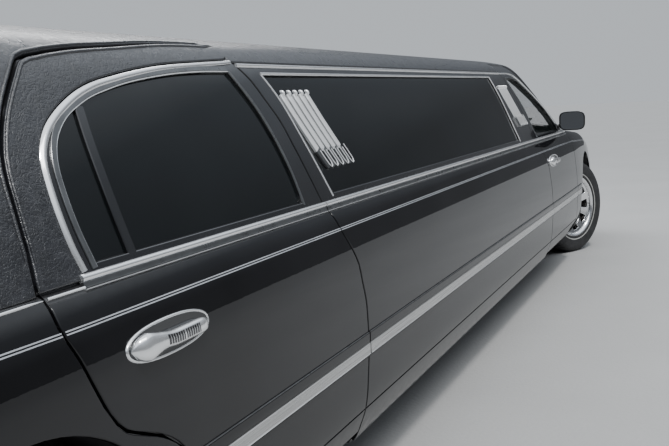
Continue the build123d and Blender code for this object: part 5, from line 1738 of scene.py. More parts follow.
for i in range(5):
    t0 = 2 * math.pi * (i + 0.5) / 5
    c0 = np.array((0.0572 * math.cos(t0), 0, 0.0572 * math.sin(t0)))
    hexa = [(c0[0] + 0.0095 * math.cos(math.pi / 3 * q), 0.058, c0[2] + 0.0095 * math.sin(math.pi / 3 * q)) for q in range(6)]
    nuts.append(solid_prism(hexa, (0, 0.0125, 0)))
    v_, f_ = lathe([(0.0, 0.0700), (0.0075, 0.0700), (0.0072, 0.0735), (0.0045, 0.0758), (0.0, 0.0762)], 12)
    nuts.append(fix_out(v_ + c0, f_))
NUTS = join(nuts)
valve = fix_out(*tube([(0.203, 0.062, 0.0), (0.199, 0.075, 0.0), (0.196, 0.088, 0.0)], [0.0042, 0.0036, 0.0042], 8))
WIN_ = windows_()
for end, w_, s_, f, g in wheel_frames():
    bd = end + "_wheel_" + w_
    o = emit(end + "_tyre_tread_" + w_, f(TYRE[0]), TYRE[1], bd, "tyre_rubber", slot="tyre_rubber", side=s_, sharp=32)
    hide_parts(end + "_tyre_" + w_)
    emit(end + "_tyre_stripe_" + w_, f(RING[0]), RING[1], bd, "tyre_ring", slot="tyre_rubber", side=s_, sharp=32)
    o = emit(end + "_rim_barrel_" + w_, f(RIM[0]), RIM[1], bd, "wheel_chrome", slot="wheel_chrome", side=s_, sharp=40)
    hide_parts(end + "_rim_" + w_)
    circ = np.array([(0.2085 * math.cos(t), 0.2085 * math.sin(t)) for t in np.linspace(0, 2 * math.pi, 90, endpoint=False)])
    panel(end + "_rim_face_" + w_, circ, face_surf(f, g), "", "wheel_chrome", WIN_, off=0.0, radius=0.0035, lip=0.026, gx=0.011, gy=0.011, step=0.009, slot="wheel_chrome", sides=(s_,), bodies=bd)
    V, F = join(HUBP)
    emit(end + "_rim_hub_" + w_, f(V), F, bd, "wheel_chrome", slot="wheel_chrome", side=s_, sharp=35)
    emit(end + "_rim_cap_" + w_, f(cap[0]), cap[1], bd, "wheel_chrome", slot="wheel_chrome", side=s_, sharp=35)
    emit(end + "_rim_nuts_" + w_, f(NUTS[0]), NUTS[1], bd, "chrome_trim", slot="wheel_chrome", side=s_, sharp=30)
    emit(end + "_rim_valve_" + w_, f(valve[0]), valve[1], bd, "rubber_trim", slot="wheel_chrome", side=s_, sharp=50)
    emit(end + "_brake_disc_" + w_, f(DISC[0]), DISC[1], bd, "bare_steel", slot="bare_steel", side=s_, sharp=35)


# ------------------------------------------------------------------ door mirrors
def super_loop(cy, cz, hy, hz, p, n=40):
    out = []
    for i in range(n):
        a = 2 * math.pi * i / n
        c, s = math.cos(a), math.sin(a)
        out.append((cy + hy * abs(c) ** (2 / p) * (1 if c >= 0 else -1), cz + hz * abs(s) ** (2 / p) * (1 if s >= 0 else -1)))
    return out


def loft(sections, closed_ends=True):
    """Closed skin through loops with the same number of points."""
    V = np.vstack([np.array(s, float) for s in sections])
    n = len(sections[0])
    F = []
    for k_ in range(len(sections) - 1):
        for i in range(n):
            j = (i + 1) % n
            F.append((k_ * n + i, k_ * n + j, (k_ + 1) * n + j, (k_ + 1) * n + i))
    if closed_ends:
        F.append(tuple(range(n))[::-1])
        F.append(tuple((len(sections) - 1) * n + i for i in range(n)))
    return fix_out(V, F)


MC = (0.990, 1.030)
secs = []
for x_, k_, p_ in ((5.2300, 0.900, 4.2), (5.2300, 0.925, 4.2), (5.2170, 0.955, 4.2), (5.2175, 0.985, 4.0), (5.2200, 1.0, 4.0), (5.2400, 1.0, 3.6), (5.2600, 0.975, 3.2), (5.2800, 0.90, 2.8), (5.2950, 0.775, 2.5), (5.3040, 0.58, 2.3), (5.3070, 0.30, 2.1), (5.3072, 0.05, 2.0)):
    secs.append([(x_ + 0.012 * (y_ - MC[0]) / 0.085 * (1 if x_ < 5.235 else 0.6), y_, z_) for y_, z_ in super_loop(MC[0] + 0.002 * (1 - k_), MC[1] + 0.004 * (1 - k_), 0.084 * k_, 0.064 * k_, p_)])
V, F = loft(secs)
for s_, w_ in ((1, "left"), (-1, "right")):
    o = emit("door_mirror_head_" + w_, V, F, "front_door_" + w_, "black_paint", slot="black_paint", side=s_, sharp=50)
    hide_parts("door_mirror_" + w_)
gl = [[(x_ + 0.012 * (y_ - MC[0]) / 0.085, y_, z_) for y_, z_ in super_loop(MC[0], MC[1], 0.084 * 0.90, 0.064 * 0.90, 4.2)] for x_ in (5.2325, 5.2265)]
V, F = loft(gl)
both("door_mirror_glass", V, F, "front_door", "mirror_glass", slot="clear_glass", sharp=30)
# foot: triangular cover in the window's front corner, and a short neck to the head
sail = green_side([(5.150, 0.9665), (5.158, 1.004), (5.185, 1.012), (5.236, 0.990), (5.270, 0.9665)])
panel("door_mirror_sail", sail, green_surf, "front_door", "black_paint", slot="black_paint", off=0.008, radius=0.004, lip=0.012, gx=0.02, gy=0.02, corner=0.006)
nk = []
for q, (x_, y_, z_) in enumerate(((5.222, 0.872, 0.992), (5.228, 0.895, 0.995), (5.240, 0.915, 1.004), (5.248, 0.940, 1.016))):
    h1, h2 = ((0.032, 0.016), (0.026, 0.0135), (0.024, 0.0135), (0.026, 0.018))[q]
    nk.append([(x_ + a_, y_, z_ + b_) for a_, b_ in super_loop(0, 0, h1, h2, 2.6, 24)])
V, F = loft(nk)
both("door_mirror_neck", V, F, "front_door", "rubber_trim", slot="black_paint", sharp=50)

# ------------------------------------------------------------------ front and rear ends
def bucket(name, outline, surf, d0, d1, t, body, mat, slot=None, sides=(1, -1), bodies=None, gx=0.04, gy=0.03, step=0.02):
    """Open tray behind an outline, from depth d0 to depth d1, with walls t thick."""
    lp_ = densify(clean(np.array(outline, float)), step)
    if poly_area(lp_) < 0:
        lp_ = lp_[::-1]
    li_ = offset_loop(lp_, t)
    n = len(lp_)
    parts_uv, parts_d = [lp_, lp_, li_, li_], [d0, d1, d0, d1 + t if d1 > d0 else d1 - t]
    parts_d[3] = d1 + (t if d1 < d0 else -t)
    uv = np.vstack(parts_uv)
    P, Nn = surf(uv[:, 0], uv[:, 1])
    dd = np.repeat(parts_d, n)
    V = P + Nn * dd[:, None]
    F = []
    for i in range(n):
        j = (i + 1) % n
        F.append((i, j, n + j, n + i))                  # outer wall
        F.append((i, 2 * n + i, 2 * n + j, j))          # rim
        F.append((2 * n + i, 3 * n + i, 3 * n + j, 2 * n + j))   # inner wall
    base = len(V)
    extra = []
    for k_, loop_, dep_, rev in ((1, lp_, parts_d[1], False), (3, li_, parts_d[3], True)):
        lo, hi = loop_.min(0), loop_.max(0)
        nx, ny = max(2, int((hi[0] - lo[0]) / gx)), max(2, int((hi[1] - lo[1]) / gy))
        grid = np.array([(a, b) for a in np.linspace(lo[0], hi[0], nx + 1)[1:-1] for b in np.linspace(lo[1], hi[1], ny + 1)[1:-1]])
        src, tri, _ = fill([loop_], grid, min(gx, gy))
        Pg, Ng = surf(src[n:, 0], src[n:, 1]) if len(src) > n else (np.zeros((0, 3)), np.zeros((0, 3)))
        Vg = Pg + Ng * dep_
        off_ = base + sum(len(e) for e in extra)
        extra.append(Vg)
        for tr_ in tri:
            q = [int(i) + k_ * n if i < n else off_ + int(i) - n for i in tr_]
            F.append(tuple(q) if rev else tuple(q[::-1]))
    V = np.vstack([V] + extra)
    V, F = fix_out(V, F)
    made = []
    for s_ in sides:
        word = "" if sides == (0,) else ("_left" if s_ > 0 else "_right")
        made.append(emit(name + word, V, F, (body + word) if bodies is None else bodies, mat, slot=slot, side=s_, sharp=35))
    return made


def plan_chart(points, lean=lambda z: 0.0 * z):
    """Upright surface along a plan curve: u is length along it, v is z. lean moves it out with z."""
    P2 = smooth_line(points, False, 0.01, 60)
    d = np.concatenate([[0], np.cumsum(np.linalg.norm(np.diff(P2, axis=0), axis=1))])
    T = np.gradient(P2, axis=0); T /= np.linalg.norm(T, axis=1, keepdims=True)

    def surf(u, v):
        u, v = np.asarray(u, float), np.asarray(v, float)
        x, y = np.interp(u, d, P2[:, 0]), np.interp(u, d, P2[:, 1])
        over = np.where(u > d[-1], u - d[-1], np.where(u < 0, u, 0))
        tx, ty = np.interp(u, d, T[:, 0]), np.interp(u, d, T[:, 1])
        q = np.hypot(tx, ty); tx, ty = tx / q, ty / q
        nx, ny = ty, -tx
        x, y = x + over * tx + nx * lean(v), y + over * ty + ny * lean(v)
        e = 1e-3
        sl = (lean(v + e) - lean(v - e)) / (2 * e)
        n = np.column_stack([nx, ny, -sl])
        return np.column_stack([x, y, v]), n / np.linalg.norm(n, axis=1, keepdims=True)
    return surf, d[-1], (P2, d)


def u_at(curve, x=None, y=None):
    P2, d = curve
    if x is not None:
        return float(d[np.argmin(np.abs(P2[:, 0] - x))])
    return float(d[np.argmin(np.abs(P2[:, 1] - y))])


# nose: from the left side forward round the corner to the middle, and on to the right side
nose_lean = lambda z: -np.interp(z, [0.58, 0.62, 0.70, 0.78, 0.82], [0.000, 0.002, 0.008, 0.019, 0.030])
NOSE_HALF = [(6.680, 0.899), (6.760, 0.880), (6.840, 0.857), (6.890, 0.834), (6.925, 0.800), (6.945, 0.755), (6.955, 0.69), (6.961, 0.58), (6.9655, 0.40), (6.968, 0.20), (6.969, 0.0)]
nose, NL, NC = plan_chart([(x, -y) for x, y in NOSE_HALF] + [(x, y) for x, y in NOSE_HALF[::-1][1:]], nose_lean)


def nose_panel(name, y0, y1, z0, z1, mat, body="root", corner=0.01, sides=(1, -1), slot=None, **kw):
    ua, ub = u_at(NC, y=y0), u_at(NC, y=y1)
    return panel(name, [(ua, z0), (ub, z0), (ub, z1), (ua, z1)], nose, "", mat, corner=corner, sides=sides, bodies=body, slot=slot, **kw)


UI, UO = u_at(NC, y=0.392), NL - u_at(NC, y=-0.8865)
UO = u_at(NC, y=0.8885)
lamp = [(UI, 0.632), (UI + 0.25, 0.630), (UO - 0.04, 0.634), (UO, 0.655), (UO - 0.004, 0.735), (UO - 0.03, 0.764), (UI + 0.25, 0.770), (UI, 0.772)]
lamp = round_corners(lamp, 0.016, 20)
bucket("headlamp_bowl", lamp, nose, -0.006, -0.070, 0.003, "", "reflector", slot="lamp_clear", bodies="root")
made = panel("headlamp_lens", offset_loop(lamp if poly_area(lamp) > 0 else lamp[::-1], 0.004), nose, "", "lamp_clear", off=0.002, radius=0.004, lip=0.005, gx=0.03, gy=0.02, slot="lamp_clear", bodies="root")
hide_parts("headlamps")
lp3 = lamp if poly_area(lamp) > 0 else lamp[::-1]
P, Nn = nose(lp3[:, 0], lp3[:, 1])
V, F = sweep(P, Nn, [(-0.0045, -0.008), (-0.0045, 0.0018), (-0.002, 0.0038), (0.002, 0.0038), (0.0045, 0.0018), (0.0045, -0.008)], closed=True)
V, F = fix_out(V, F)
for s_, w_ in ((1, "_left"), (-1, "_right")):
    emit("headlamp_rim" + w_, V, F, "root", "chrome_trim", slot="chrome_trim", side=s_, sharp=50)
for i, yc in enumerate((0.505, 0.665)):
    uc = u_at(NC, y=yc)
    P0, N0 = nose(np.array([uc]), np.array([0.701]))
    c0, n0 = P0[0] - N0[0] * 0.004, np.array((1.0, 0.0, 0.0))
    rings = []
    for q in range(9):
        t = q / 8
        rr, dep = 0.056 * (1 - t) ** 0.75 + 0.012 * t, -0.052 * math.sin(t * math.pi / 2)
        rings.append([(c0[0] + dep, c0[1] + rr * math.cos(a) * 1.12, c0[2] + rr * math.sin(a)) for a in np.linspace(0, 2 * math.pi, 32, endpoint=False)])
    back = [[(p_[0] - 0.0025, p_[1] + (p_[1] - c0[1]) * 0.04, p_[2] + (p_[2] - c0[2]) * 0.04) for p_ in rg] for rg in rings[::-1]]
    V, F = loft(rings + back, closed_ends=False)
    n_, m_ = 32, len(rings) * 2
    F += [((m_ - 1) * n_ + q, (m_ - 1) * n_ + (q + 1) % n_, (q + 1) % n_, q) for q in range(n_)]
    V, F = fix_out(V, F)
    for s_, w_ in ((1, "_left"), (-1, "_right")):
        emit("headlamp_dish_%d" % i + w_, V, F, "root", "chrome_trim", slot="lamp_clear", side=s_, sharp=60)
    v_, f_ = lathe([(0.0, 0.0), (0.0125, 0.0), (0.0125, 0.010), (0.010, 0.018), (0.005, 0.022), (0.0, 0.023)], 20)
    v_ = np.column_stack([v_[:, 1] + c0[0] - 0.044, v_[:, 0] + c0[1], v_[:, 2] + c0[2]])
    v_, f_ = fix_out(v_, f_)
    for s_, w_ in ((1, "_left"), (-1, "_right")):
        emit("headlamp_bulb_%d" % i + w_, v_, f_, "root", "satin_grey", slot="lamp_clear", side=s_, sharp=40)
ua, ub = UO - 0.150, UO - 0.012
amb = round_corners([(ua, 0.640), (ub, 0.645), (ub, 0.752), (ua, 0.762)], 0.01, 20)
panel("side_lamp", amb, nose, "", "lamp_amber", off=-0.006, radius=0.003, lip=0.008, gx=0.03, gy=0.02, slot="lamp_clear", bodies="root")

# grille: rounded bright frame, upright bars, dark mesh behind
GF = round_corners([(-0.366, 0.600), (0.366, 0.600), (0.372, 0.700), (0.340, 0.764), (0.18, 0.776), (-0.18, 0.776), (-0.340, 0.764), (-0.372, 0.700)], 0.045, 12, 7)


def front_face(u, v):
    """Grille face: u is y, v is z; bows forward a little in the middle."""
    u, v = np.asarray(u, float), np.asarray(v, float)
    x = 6.9685 - 0.012 * (u / 0.37) ** 2 - 0.10 * (v - 0.60) ** 1.0 * 0.16
    n = np.column_stack([np.ones_like(u), 0.065 * u / 0.37, np.full_like(u, 0.016)])
    return np.column_stack([x, u, v]), n / np.linalg.norm(n, axis=1, keepdims=True)


gl_ = densify(GF, 0.02)
P, Nn = front_face(gl_[:, 0], gl_[:, 1])
V, F = sweep(P, Nn, [(-0.013, -0.050), (-0.013, 0.000), (-0.009, 0.0065), (-0.002, 0.0090), (0.006, 0.0075), (0.012, 0.0010), (0.013, -0.050)], closed=True)
V, F = fix_out(V, F)
o = emit("grille_frame", V, F, "root", "chrome_trim", slot="chrome_trim", sharp=50)
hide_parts("grille")
bars_ = []
for i in range(27):
    y_ = -0.338 + i * 0.026
    top_z = 0.762 - 0.018 * max(0.0, (abs(y_) - 0.16) / 0.18) ** 1.3
    zz = np.linspace(0.610, top_z, 7)
    P, Nn = front_face(np.full(7, y_), zz)
    bars_.append(fix_out(*sweep(P - Nn * 0.004, Nn, [(-0.0040, -0.040), (-0.0040, -0.004), (-0.0028, 0.0), (0.0, 0.0014), (0.0028, 0.0), (0.0040, -0.004), (0.0040, -0.040)])))
V, F = join(bars_)
emit("grille_bars", V, F, "root", "chrome_trim", slot="chrome_trim", sharp=45)
xb = []
for z_ in (0.650, 0.692, 0.734):
    ys = np.linspace(-0.345, 0.345, 12)
    P, Nn = front_face(ys, np.full(12, z_))
    xb.append(fix_out(*sweep(P - Nn * 0.020, Nn, [(-0.003, -0.010), (-0.003, 0.0), (0.003, 0.0), (0.003, -0.010)])))
V, F = join(xb)
emit("grille_ribs", V, F, "root", "satin_grey", slot="chrome_trim", sharp=30)
V, F = join([rbox(6.885, 6.900, -0.356, 0.356, 0.606, 0.766, 0.004)])
emit("grille_back", V, F, "root", "rubber_trim", slot="chrome_trim", sharp=30)


# bumpers: upright profiles carried round the plan
def plan_sweep(name, curve, ua, ub, profile, mat, body="root", step=0.03, slot=None, sharp=40, sides=(0,), zscale=None, end_round=0.0, replaces=None):
    """profile is (z, out) points; carried from ua to ub along the curve."""
    surf_, C = curve
    n = max(3, int((ub - ua) / step))
    us = np.linspace(ua, ub, n + 1)
    P, Nn = surf_(us, np.zeros(n + 1))
    Nn[:, 2] = 0
    Nn /= np.linalg.norm(Nn, axis=1, keepdims=True)
    V = np.zeros((n + 1, len(profile), 3))
    for i in range(n + 1):
        for a, (z_, o_) in enumerate(profile):
            V[i, a] = (P[i, 0] + Nn[i, 0] * o_, P[i, 1] + Nn[i, 1] * o_, z_)
    q = len(profile)
    F = [(i * q + a, i * q + (a + 1) % q, (i + 1) * q + (a + 1) % q, (i + 1) * q + a) for i in range(n) for a in range(q)]
    F += [tuple(range(q))[::-1], tuple(n * q + a for a in range(q))]
    V, F = fix_out(V.reshape(-1, 3), F)
    made = []
    for s_ in sides:
        word = "" if sides == (0,) else ("_left" if s_ > 0 else "_right")
        made.append(emit(name + word, V, F, body, mat, slot=slot, side=s_, sharp=sharp))
    return made


FBH = [(6.598, 0.930), (6.700, 0.912), (6.800, 0.886), (6.870, 0.857), (6.935, 0.815), (6.990, 0.765), (7.032, 0.690), (7.058, 0.600), (7.075, 0.450), (7.084, 0.250), (7.087, 0.0)]
fbs, FBL, FBC = plan_chart([(x, -y) for x, y in FBH] + [(x, y) for x, y in FBH[::-1][1:]])
FCUR = (fbs, FBC)
up_prof = [(0.3745, -0.050), (0.3745, -0.016), (0.382, -0.007), (0.398, -0.003), (0.430, -0.001), (0.505, -0.0005), (0.528, -0.003), (0.545, -0.009), (0.562, -0.020), (0.574, -0.034), (0.580, -0.052), (0.5825, -0.080), (0.5825, -0.105), (0.572, -0.105), (0.565, -0.060), (0.400, -0.050)]
o = plan_sweep("front_bumper_cover", FCUR, 0.004, FBL - 0.004, up_prof, "black_paint", slot="black_paint")[0]
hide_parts("front_bumper")
low_prof = [(0.2170, -0.050), (0.2170, -0.026), (0.222, -0.018), (0.236, -0.013), (0.300, -0.009), (0.368, -0.010), (0.3735, -0.016), (0.3735, -0.050)]
u_in = u_at(FBC, y=0.560)
plan_sweep("front_bumper_corner", FCUR, u_in, FBL - 0.004, low_prof, "black_paint", slot="black_paint", sides=(1, -1))
chin = [(0.2170, -0.060), (0.2170, -0.024), (0.223, -0.014), (0.250, -0.012), (0.262, -0.016), (0.266, -0.030), (0.266, -0.060)]
plan_sweep("front_bumper_chin", FCUR, FBL - u_in + 0.001, u_in - 0.001, chin, "black_paint", slot="black_paint")
slats = []
plan_sweep("front_intake_back", FCUR, FBL - u_in + 0.001, u_in - 0.001, [(0.262, -0.075), (0.262, -0.070), (0.376, -0.070), (0.376, -0.075)], "rubber_trim", slot="black_paint")
for i, z_ in enumerate((0.288, 0.316, 0.344)):
    plan_sweep("front_intake_slat_%d" % i, FCUR, FBL - u_in + 0.001, u_in - 0.001, [(z_ - 0.004, -0.068), (z_ - 0.004, -0.024), (z_, -0.019), (z_ + 0.004, -0.024), (z_ + 0.004, -0.068)], "interior_plastic", slot="black_paint")
plan_sweep("front_bumper_strip", FCUR, 0.05, FBL - 0.05, [(0.4440, -0.004), (0.4440, 0.0010), (0.448, 0.0030), (0.474, 0.0030), (0.478, 0.0010), (0.478, -0.004)], "rubber_trim", slot="black_paint")
plan_sweep("front_bumper_bead", FCUR, 0.05, FBL - 0.05, [(0.4785, -0.004), (0.4785, 0.0012), (0.481, 0.0030), (0.4855, 0.0030), (0.488, 0.0012), (0.488, -0.004)], "chrome_trim", slot="chrome_trim")
for yc in (0.665,):
    uc = u_at(FBC, y=yc)
    P0, N0 = fbs(np.array([uc]), np.array([0.312]))
    n0 = N0[0]; t0 = np.array((-n0[1], n0[0], 0.0)); c0 = P0[0] - n0 * 0.008
    for nm, prof_, mt in (("bezel", [(0.030, 0.0), (0.048, 0.0), (0.048, 0.004), (0.043, 0.0085), (0.036, 0.0085), (0.033, 0.004), (0.030, 0.003)], "chrome_trim"), ("lens", [(0.0, 0.001), (0.034, 0.001), (0.033, 0.0045), (0.020, 0.0070), (0.0, 0.0080)], "reflector")):
        v_, f_ = lathe(prof_, 36)
        v_ = c0 + np.outer(v_[:, 0], t0) + np.outer(v_[:, 1], n0) + np.outer(v_[:, 2], (0, 0, 1.0))
        v_, f_ = fix_out(v_, f_)
        for s_, w_ in ((1, "_left"), (-1, "_right")):
            emit("fog_lamp_" + nm + w_, v_, f_, "root", mt, slot="lamp_clear", side=s_, sharp=40)
scr = []
for y_ in (-0.0889, 0.0889):
    for z_ in (0.4897, 0.3897 + 0.0206):
        v_, f_ = lathe([(0.0, 0.0), (0.0065, 0.0), (0.0065, 0.0018), (0.004, 0.0030), (0.0, 0.0032)], 16)
        scr.append(fix_out(np.column_stack([v_[:, 1] + 7.0835, v_[:, 0] + y_, v_[:, 2] + z_]), f_))

# nose skin over the lamps and the grille, and the ledge behind the bumper's top
def nose_u(y):
    return float(np.interp(y, NC[0][:, 1], NC[1]))


def nose_flip(p):
    q = np.array(p, float)[::-1].copy()
    q[:, 0] = NL - q[:, 0]
    return q


u_e = NL - 0.018
n_half = [(nose_u(0.0), 0.562), (nose_u(0.30), 0.562), (nose_u(0.60), 0.562), (u_e, 0.562), (u_e, 0.6205), (UO + 0.012, 0.6235), (UO + 0.010, 0.7785), (nose_u(0.700), 0.7845), (nose_u(0.600), 0.7890), (nose_u(0.30), 0.7893), (nose_u(0.0), 0.7893)]
n_out = tidy(np.vstack([np.array(n_half), nose_flip(n_half)[1:-1]]), 0.0015)
lamp_ccw = lamp if poly_area(lamp) > 0 else lamp[::-1]
grille_hole = np.array([(nose_u(y_), z_) for y_, z_ in densify(GF, 0.02)])
panel("nose_panel", n_out, nose, "root", "black_paint", [lamp_ccw, nose_flip(lamp_ccw), grille_hole], slot="black_paint", off=-0.001, radius=0.003, lip=0.026, gx=0.03, gy=0.012, sides=(0,), bodies="root")
# bonnet's front edge, turned down over the grille
P2 = [(6.9515, -0.598), (6.9595, -0.45), (6.963, -0.25), (6.964, 0.0), (6.963, 0.25), (6.9595, 0.45), (6.9515, 0.598)]
bl_, BLL, BLC = plan_chart(P2)
plan_sweep("bonnet_lip", (bl_, BLC), 0.0, BLL, [(0.7905, -0.030), (0.7905, -0.006), (0.793, 0.0), (0.802, 0.002), (0.811, -0.002), (0.8165, -0.012), (0.8185, -0.030)], "black_paint", body="bonnet", slot="black_paint")
plan_sweep("bonnet_lip_strip", (bl_, BLC), 0.18, BLL - 0.18, [(0.7910, -0.004), (0.7910, 0.0022), (0.7925, 0.0042), (0.797, 0.0042), (0.7985, 0.0022), (0.7985, -0.004)], "chrome_trim", body="bonnet", slot="chrome_trim")

# tail
tail_lean = lambda z: -np.interp(z, [0.60, 0.70, 0.80, 0.90, 0.95], [0.0, 0.001, 0.004, 0.010, 0.018])
TH = [(-1.3755, 0.0), (-1.3755, 0.40), (-1.3755, 0.70), (-1.3745, 0.790), (-1.3685, 0.845), (-1.352, 0.886), (-1.325, 0.915), (-1.290, 0.934), (-1.235, 0.9535)]
tail, TL, TC = plan_chart([(x, -y) for x, y in TH[::-1]] + [(x, y) for x, y in TH[1:]], tail_lean)


def tail_surf(u, v):
    P, n = tail(u, v)
    flip_ = np.array([-1.0, -1.0, 1.0])
    n = n.copy()
    # the curve runs clockwise seen from above, so its left normal points inwards
    n[:, :2] *= -1
    P = P.copy()
    P[:, 0] += 2 * n[:, 0] * tail_lean(np.asarray(v, float))
    P[:, 1] += 2 * n[:, 1] * tail_lean(np.asarray(v, float))
    return P, n / np.linalg.norm(n, axis=1, keepdims=True)


TI, TO = u_at(TC, y=0.5725), u_at(TC, y=0.9335)
tl = round_corners([(TI, 0.696), (TO - 0.02, 0.698), (TO, 0.715), (TO, 0.862), (TO - 0.03, 0.889), (TO - 0.13, 0.912), (TI, 0.922)], 0.016, 20)
tl = tl if poly_area(tl) > 0 else tl[::-1]
bucket("tail_lamp_bowl", tl, tail_surf, -0.006, -0.055, 0.003, "", "reflector", slot="lamp_red", bodies="root")
split = 0.775


def clip_z(p, z0, z1):
    q = densify(p, 0.01)
    return tidy(np.column_stack([q[:, 0], np.clip(q[:, 1], z0, z1)]), 0.0005)


tin = offset_loop(tl, 0.004)
made = panel("tail_lamp_lens", clip_z(tin, split + 0.002, 1.0), tail_surf, "", "lamp_red", off=0.003, radius=0.004, lip=0.006, gx=0.03, gy=0.02, slot="lamp_red", bodies="root")
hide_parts("tail_lamps")
UM = u_at(TC, y=0.74)
lowp = clip_z(tin, 0.0, split - 0.002)
rev = np.column_stack([np.clip(lowp[:, 0], None, UM - 0.002), lowp[:, 1]])
brk = np.column_stack([np.clip(lowp[:, 0], UM + 0.002, None), lowp[:, 1]])
panel("tail_lamp_reverse", tidy(rev, 0.0005), tail_surf, "", "lamp_clear", off=0.003, radius=0.003, lip=0.006, gx=0.03, gy=0.02, slot="lamp_red", bodies="root")
panel("tail_lamp_lower", tidy(brk, 0.0005), tail_surf, "", "lamp_red", off=0.003, radius=0.003, lip=0.006, gx=0.03, gy=0.02, slot="lamp_red", bodies="root")
P, Nn = tail_surf(tl[:, 0], tl[:, 1])
V, F = sweep(P, Nn, [(-0.005, -0.008), (-0.005, 0.002), (-0.002, 0.0050), (0.002, 0.0050), (0.005, 0.002), (0.005, -0.008)], closed=True)
V, F = fix_out(V, F)
for s_, w_ in ((1, "_left"), (-1, "_right")):
    emit("tail_lamp_rim" + w_, V, F, "root", "chrome_trim", slot="chrome_trim", side=s_, sharp=50)
for nm, u0_, u1_, z_ in (("bar", TI + 0.004, TO - 0.004, split),):
    us = np.linspace(u0_, u1_, 22)
    P, Nn = tail_surf(us, np.full(22, z_))
    V, F = fix_out(*sweep(P, Nn, box_profile(0.005, 0.0050, 0.001, 0.004)))
    for s_, w_ in ((1, "_left"), (-1, "_right")):
        emit("tail_lamp_" + nm + w_, V, F, "root", "chrome_trim", slot="chrome_trim", side=s_, sharp=50)
panel("quarter_tail_corner", [(TI - 0.006, 0.9255), (TO - 0.13, 0.9155), (TO - 0.03, 0.8925), (TO + 0.003, 0.867), (TO + 0.010, 0.867), (TO + 0.010, 0.890), (TO - 0.03, 0.925), (TO - 0.13, 0.940), (TI - 0.006, 0.944)][::-1], tail_surf, "", "black_paint", off=-0.004, radius=0.002, lip=0.010, gx=0.03, gy=0.015, slot="black_paint", bodies="root")
panel("quarter_tail_ledge", [(TI - 0.008, 0.600), (TO + 0.05, 0.600), (TO + 0.05, 0.690), (TI - 0.008, 0.690)], tail_surf, "", "black_paint", off=0.0005, radius=0.003, lip=0.020, gx=0.05, gy=0.03, slot="black_paint", bodies="root")
panel("tail_apron", [(u_at(TC, y=-0.5645), 0.600), (u_at(TC, y=0.5645), 0.600), (u_at(TC, y=0.5645), 0.6395), (u_at(TC, y=-0.5645), 0.6395)], tail_surf, "", "black_paint", off=-0.001, radius=0.003, lip=0.020, gx=0.06, gy=0.03, slot="black_paint", sides=(0,), bodies="root")
# bright band and reflectors across the boot lid
ys = np.linspace(-0.545, 0.545, 30)
P, Nn = rear_face(ys, np.full(30, 0.6900))
V, F = fix_out(*sweep(P + Nn * 0.001, Nn, band_profile(0.022, 0.008)))
emit("boot_lid_strip", V, F, "boot_lid", "chrome_trim", slot="chrome_trim", sharp=50)
panel("boot_lid_reflector", round_corners([(-0.545, 0.712), (0.545, 0.712), (0.545, 0.772), (-0.545, 0.772)], 0.008), rear_face, "", "lamp_red", off=0.0045, radius=0.003, lip=0.006, gx=0.05, gy=0.02, slot="lamp_red", sides=(0,), bodies="boot_lid")
v_, f_ = lathe([(0.0, 0.0), (0.017, 0.0), (0.017, 0.003), (0.0145, 0.006), (0.0095, 0.006), (0.009, 0.0045), (0.0, 0.0045)], 28)
v_ = np.column_stack([-1.3820 - v_[:, 1] + 0.001, v_[:, 0], v_[:, 2] + 0.845])
emit("boot_lid_lock", *fix_out(v_, f_), "boot_lid", "chrome_trim", slot="chrome_trim", sharp=40)

RBH = [(-1.252, 0.966), (-1.300, 0.957), (-1.345, 0.936), (-1.380, 0.896), (-1.402, 0.840), (-1.415, 0.76), (-1.423, 0.60), (-1.4265, 0.35), (-1.428, 0.0)]
rb_, RBL, RBC = plan_chart([(x, y) for x, y in RBH] + [(x, -y) for x, y in RBH[::-1][1:]])
RCUR = (rb_, RBC)
# the rear bar's normals must point outwards
_p, _n = rb_(np.array([RBL / 2]), np.array([0.5]))
RSIGN = 1.0 if _n[0, 0] < 0 else -1.0
if RSIGN < 0:
    base_rb = rb_

    def rb_(u, v):
        P, n = base_rb(u, v)
        return P, n * np.array([-1.0, -1.0, 1.0])
    RCUR = (rb_, RBC)
rprof = [(0.3420, -0.045), (0.3420, -0.020), (0.349, -0.010), (0.370, -0.005), (0.420, -0.001), (0.520, -0.001), (0.548, -0.005), (0.570, -0.014), (0.586, -0.028), (0.594, -0.046), (0.5955, -0.060), (0.584, -0.060), (0.400, -0.045)]
o = plan_sweep("rear_bumper_cover", RCUR, 0.004, RBL - 0.004, rprof, "black_paint", slot="black_paint")[0]
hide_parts("rear_bumper")
plan_sweep("rear_bumper_strip", RCUR, 0.03, RBL - 0.03, [(0.4960, -0.004), (0.4960, 0.0003), (0.500, 0.0018), (0.524, 0.0018), (0.528, 0.0003), (0.528, -0.004)], "rubber_trim", slot="black_paint")
plan_sweep("rear_bumper_bead", RCUR, 0.03, RBL - 0.03, [(0.5285, -0.005), (0.5285, 0.0005), (0.531, 0.0018), (0.5355, 0.0018), (0.538, 0.0005), (0.538, -0.006)], "chrome_trim", slot="chrome_trim")
plan_sweep("rear_bumper_top_pad", RCUR, 0.12, RBL - 0.12, [(0.5945, -0.060), (0.5990, -0.058), (0.5990, -0.050), (0.5930, -0.044)], "rubber_trim", slot="black_paint")
# blank plate with its four screws
P_ = round_corners([(-0.1525, 0.3905), (0.1525, 0.3905), (0.1525, 0.4930), (-0.1525, 0.4930)], 0.008)


def rear_plane(u, v):
    u, v = np.asarray(u, float), np.asarray(v, float)
    return np.column_stack([np.full_like(u, -1.4285), u, v]), np.tile((-1.0, 0.0, 0.0), (len(u), 1))


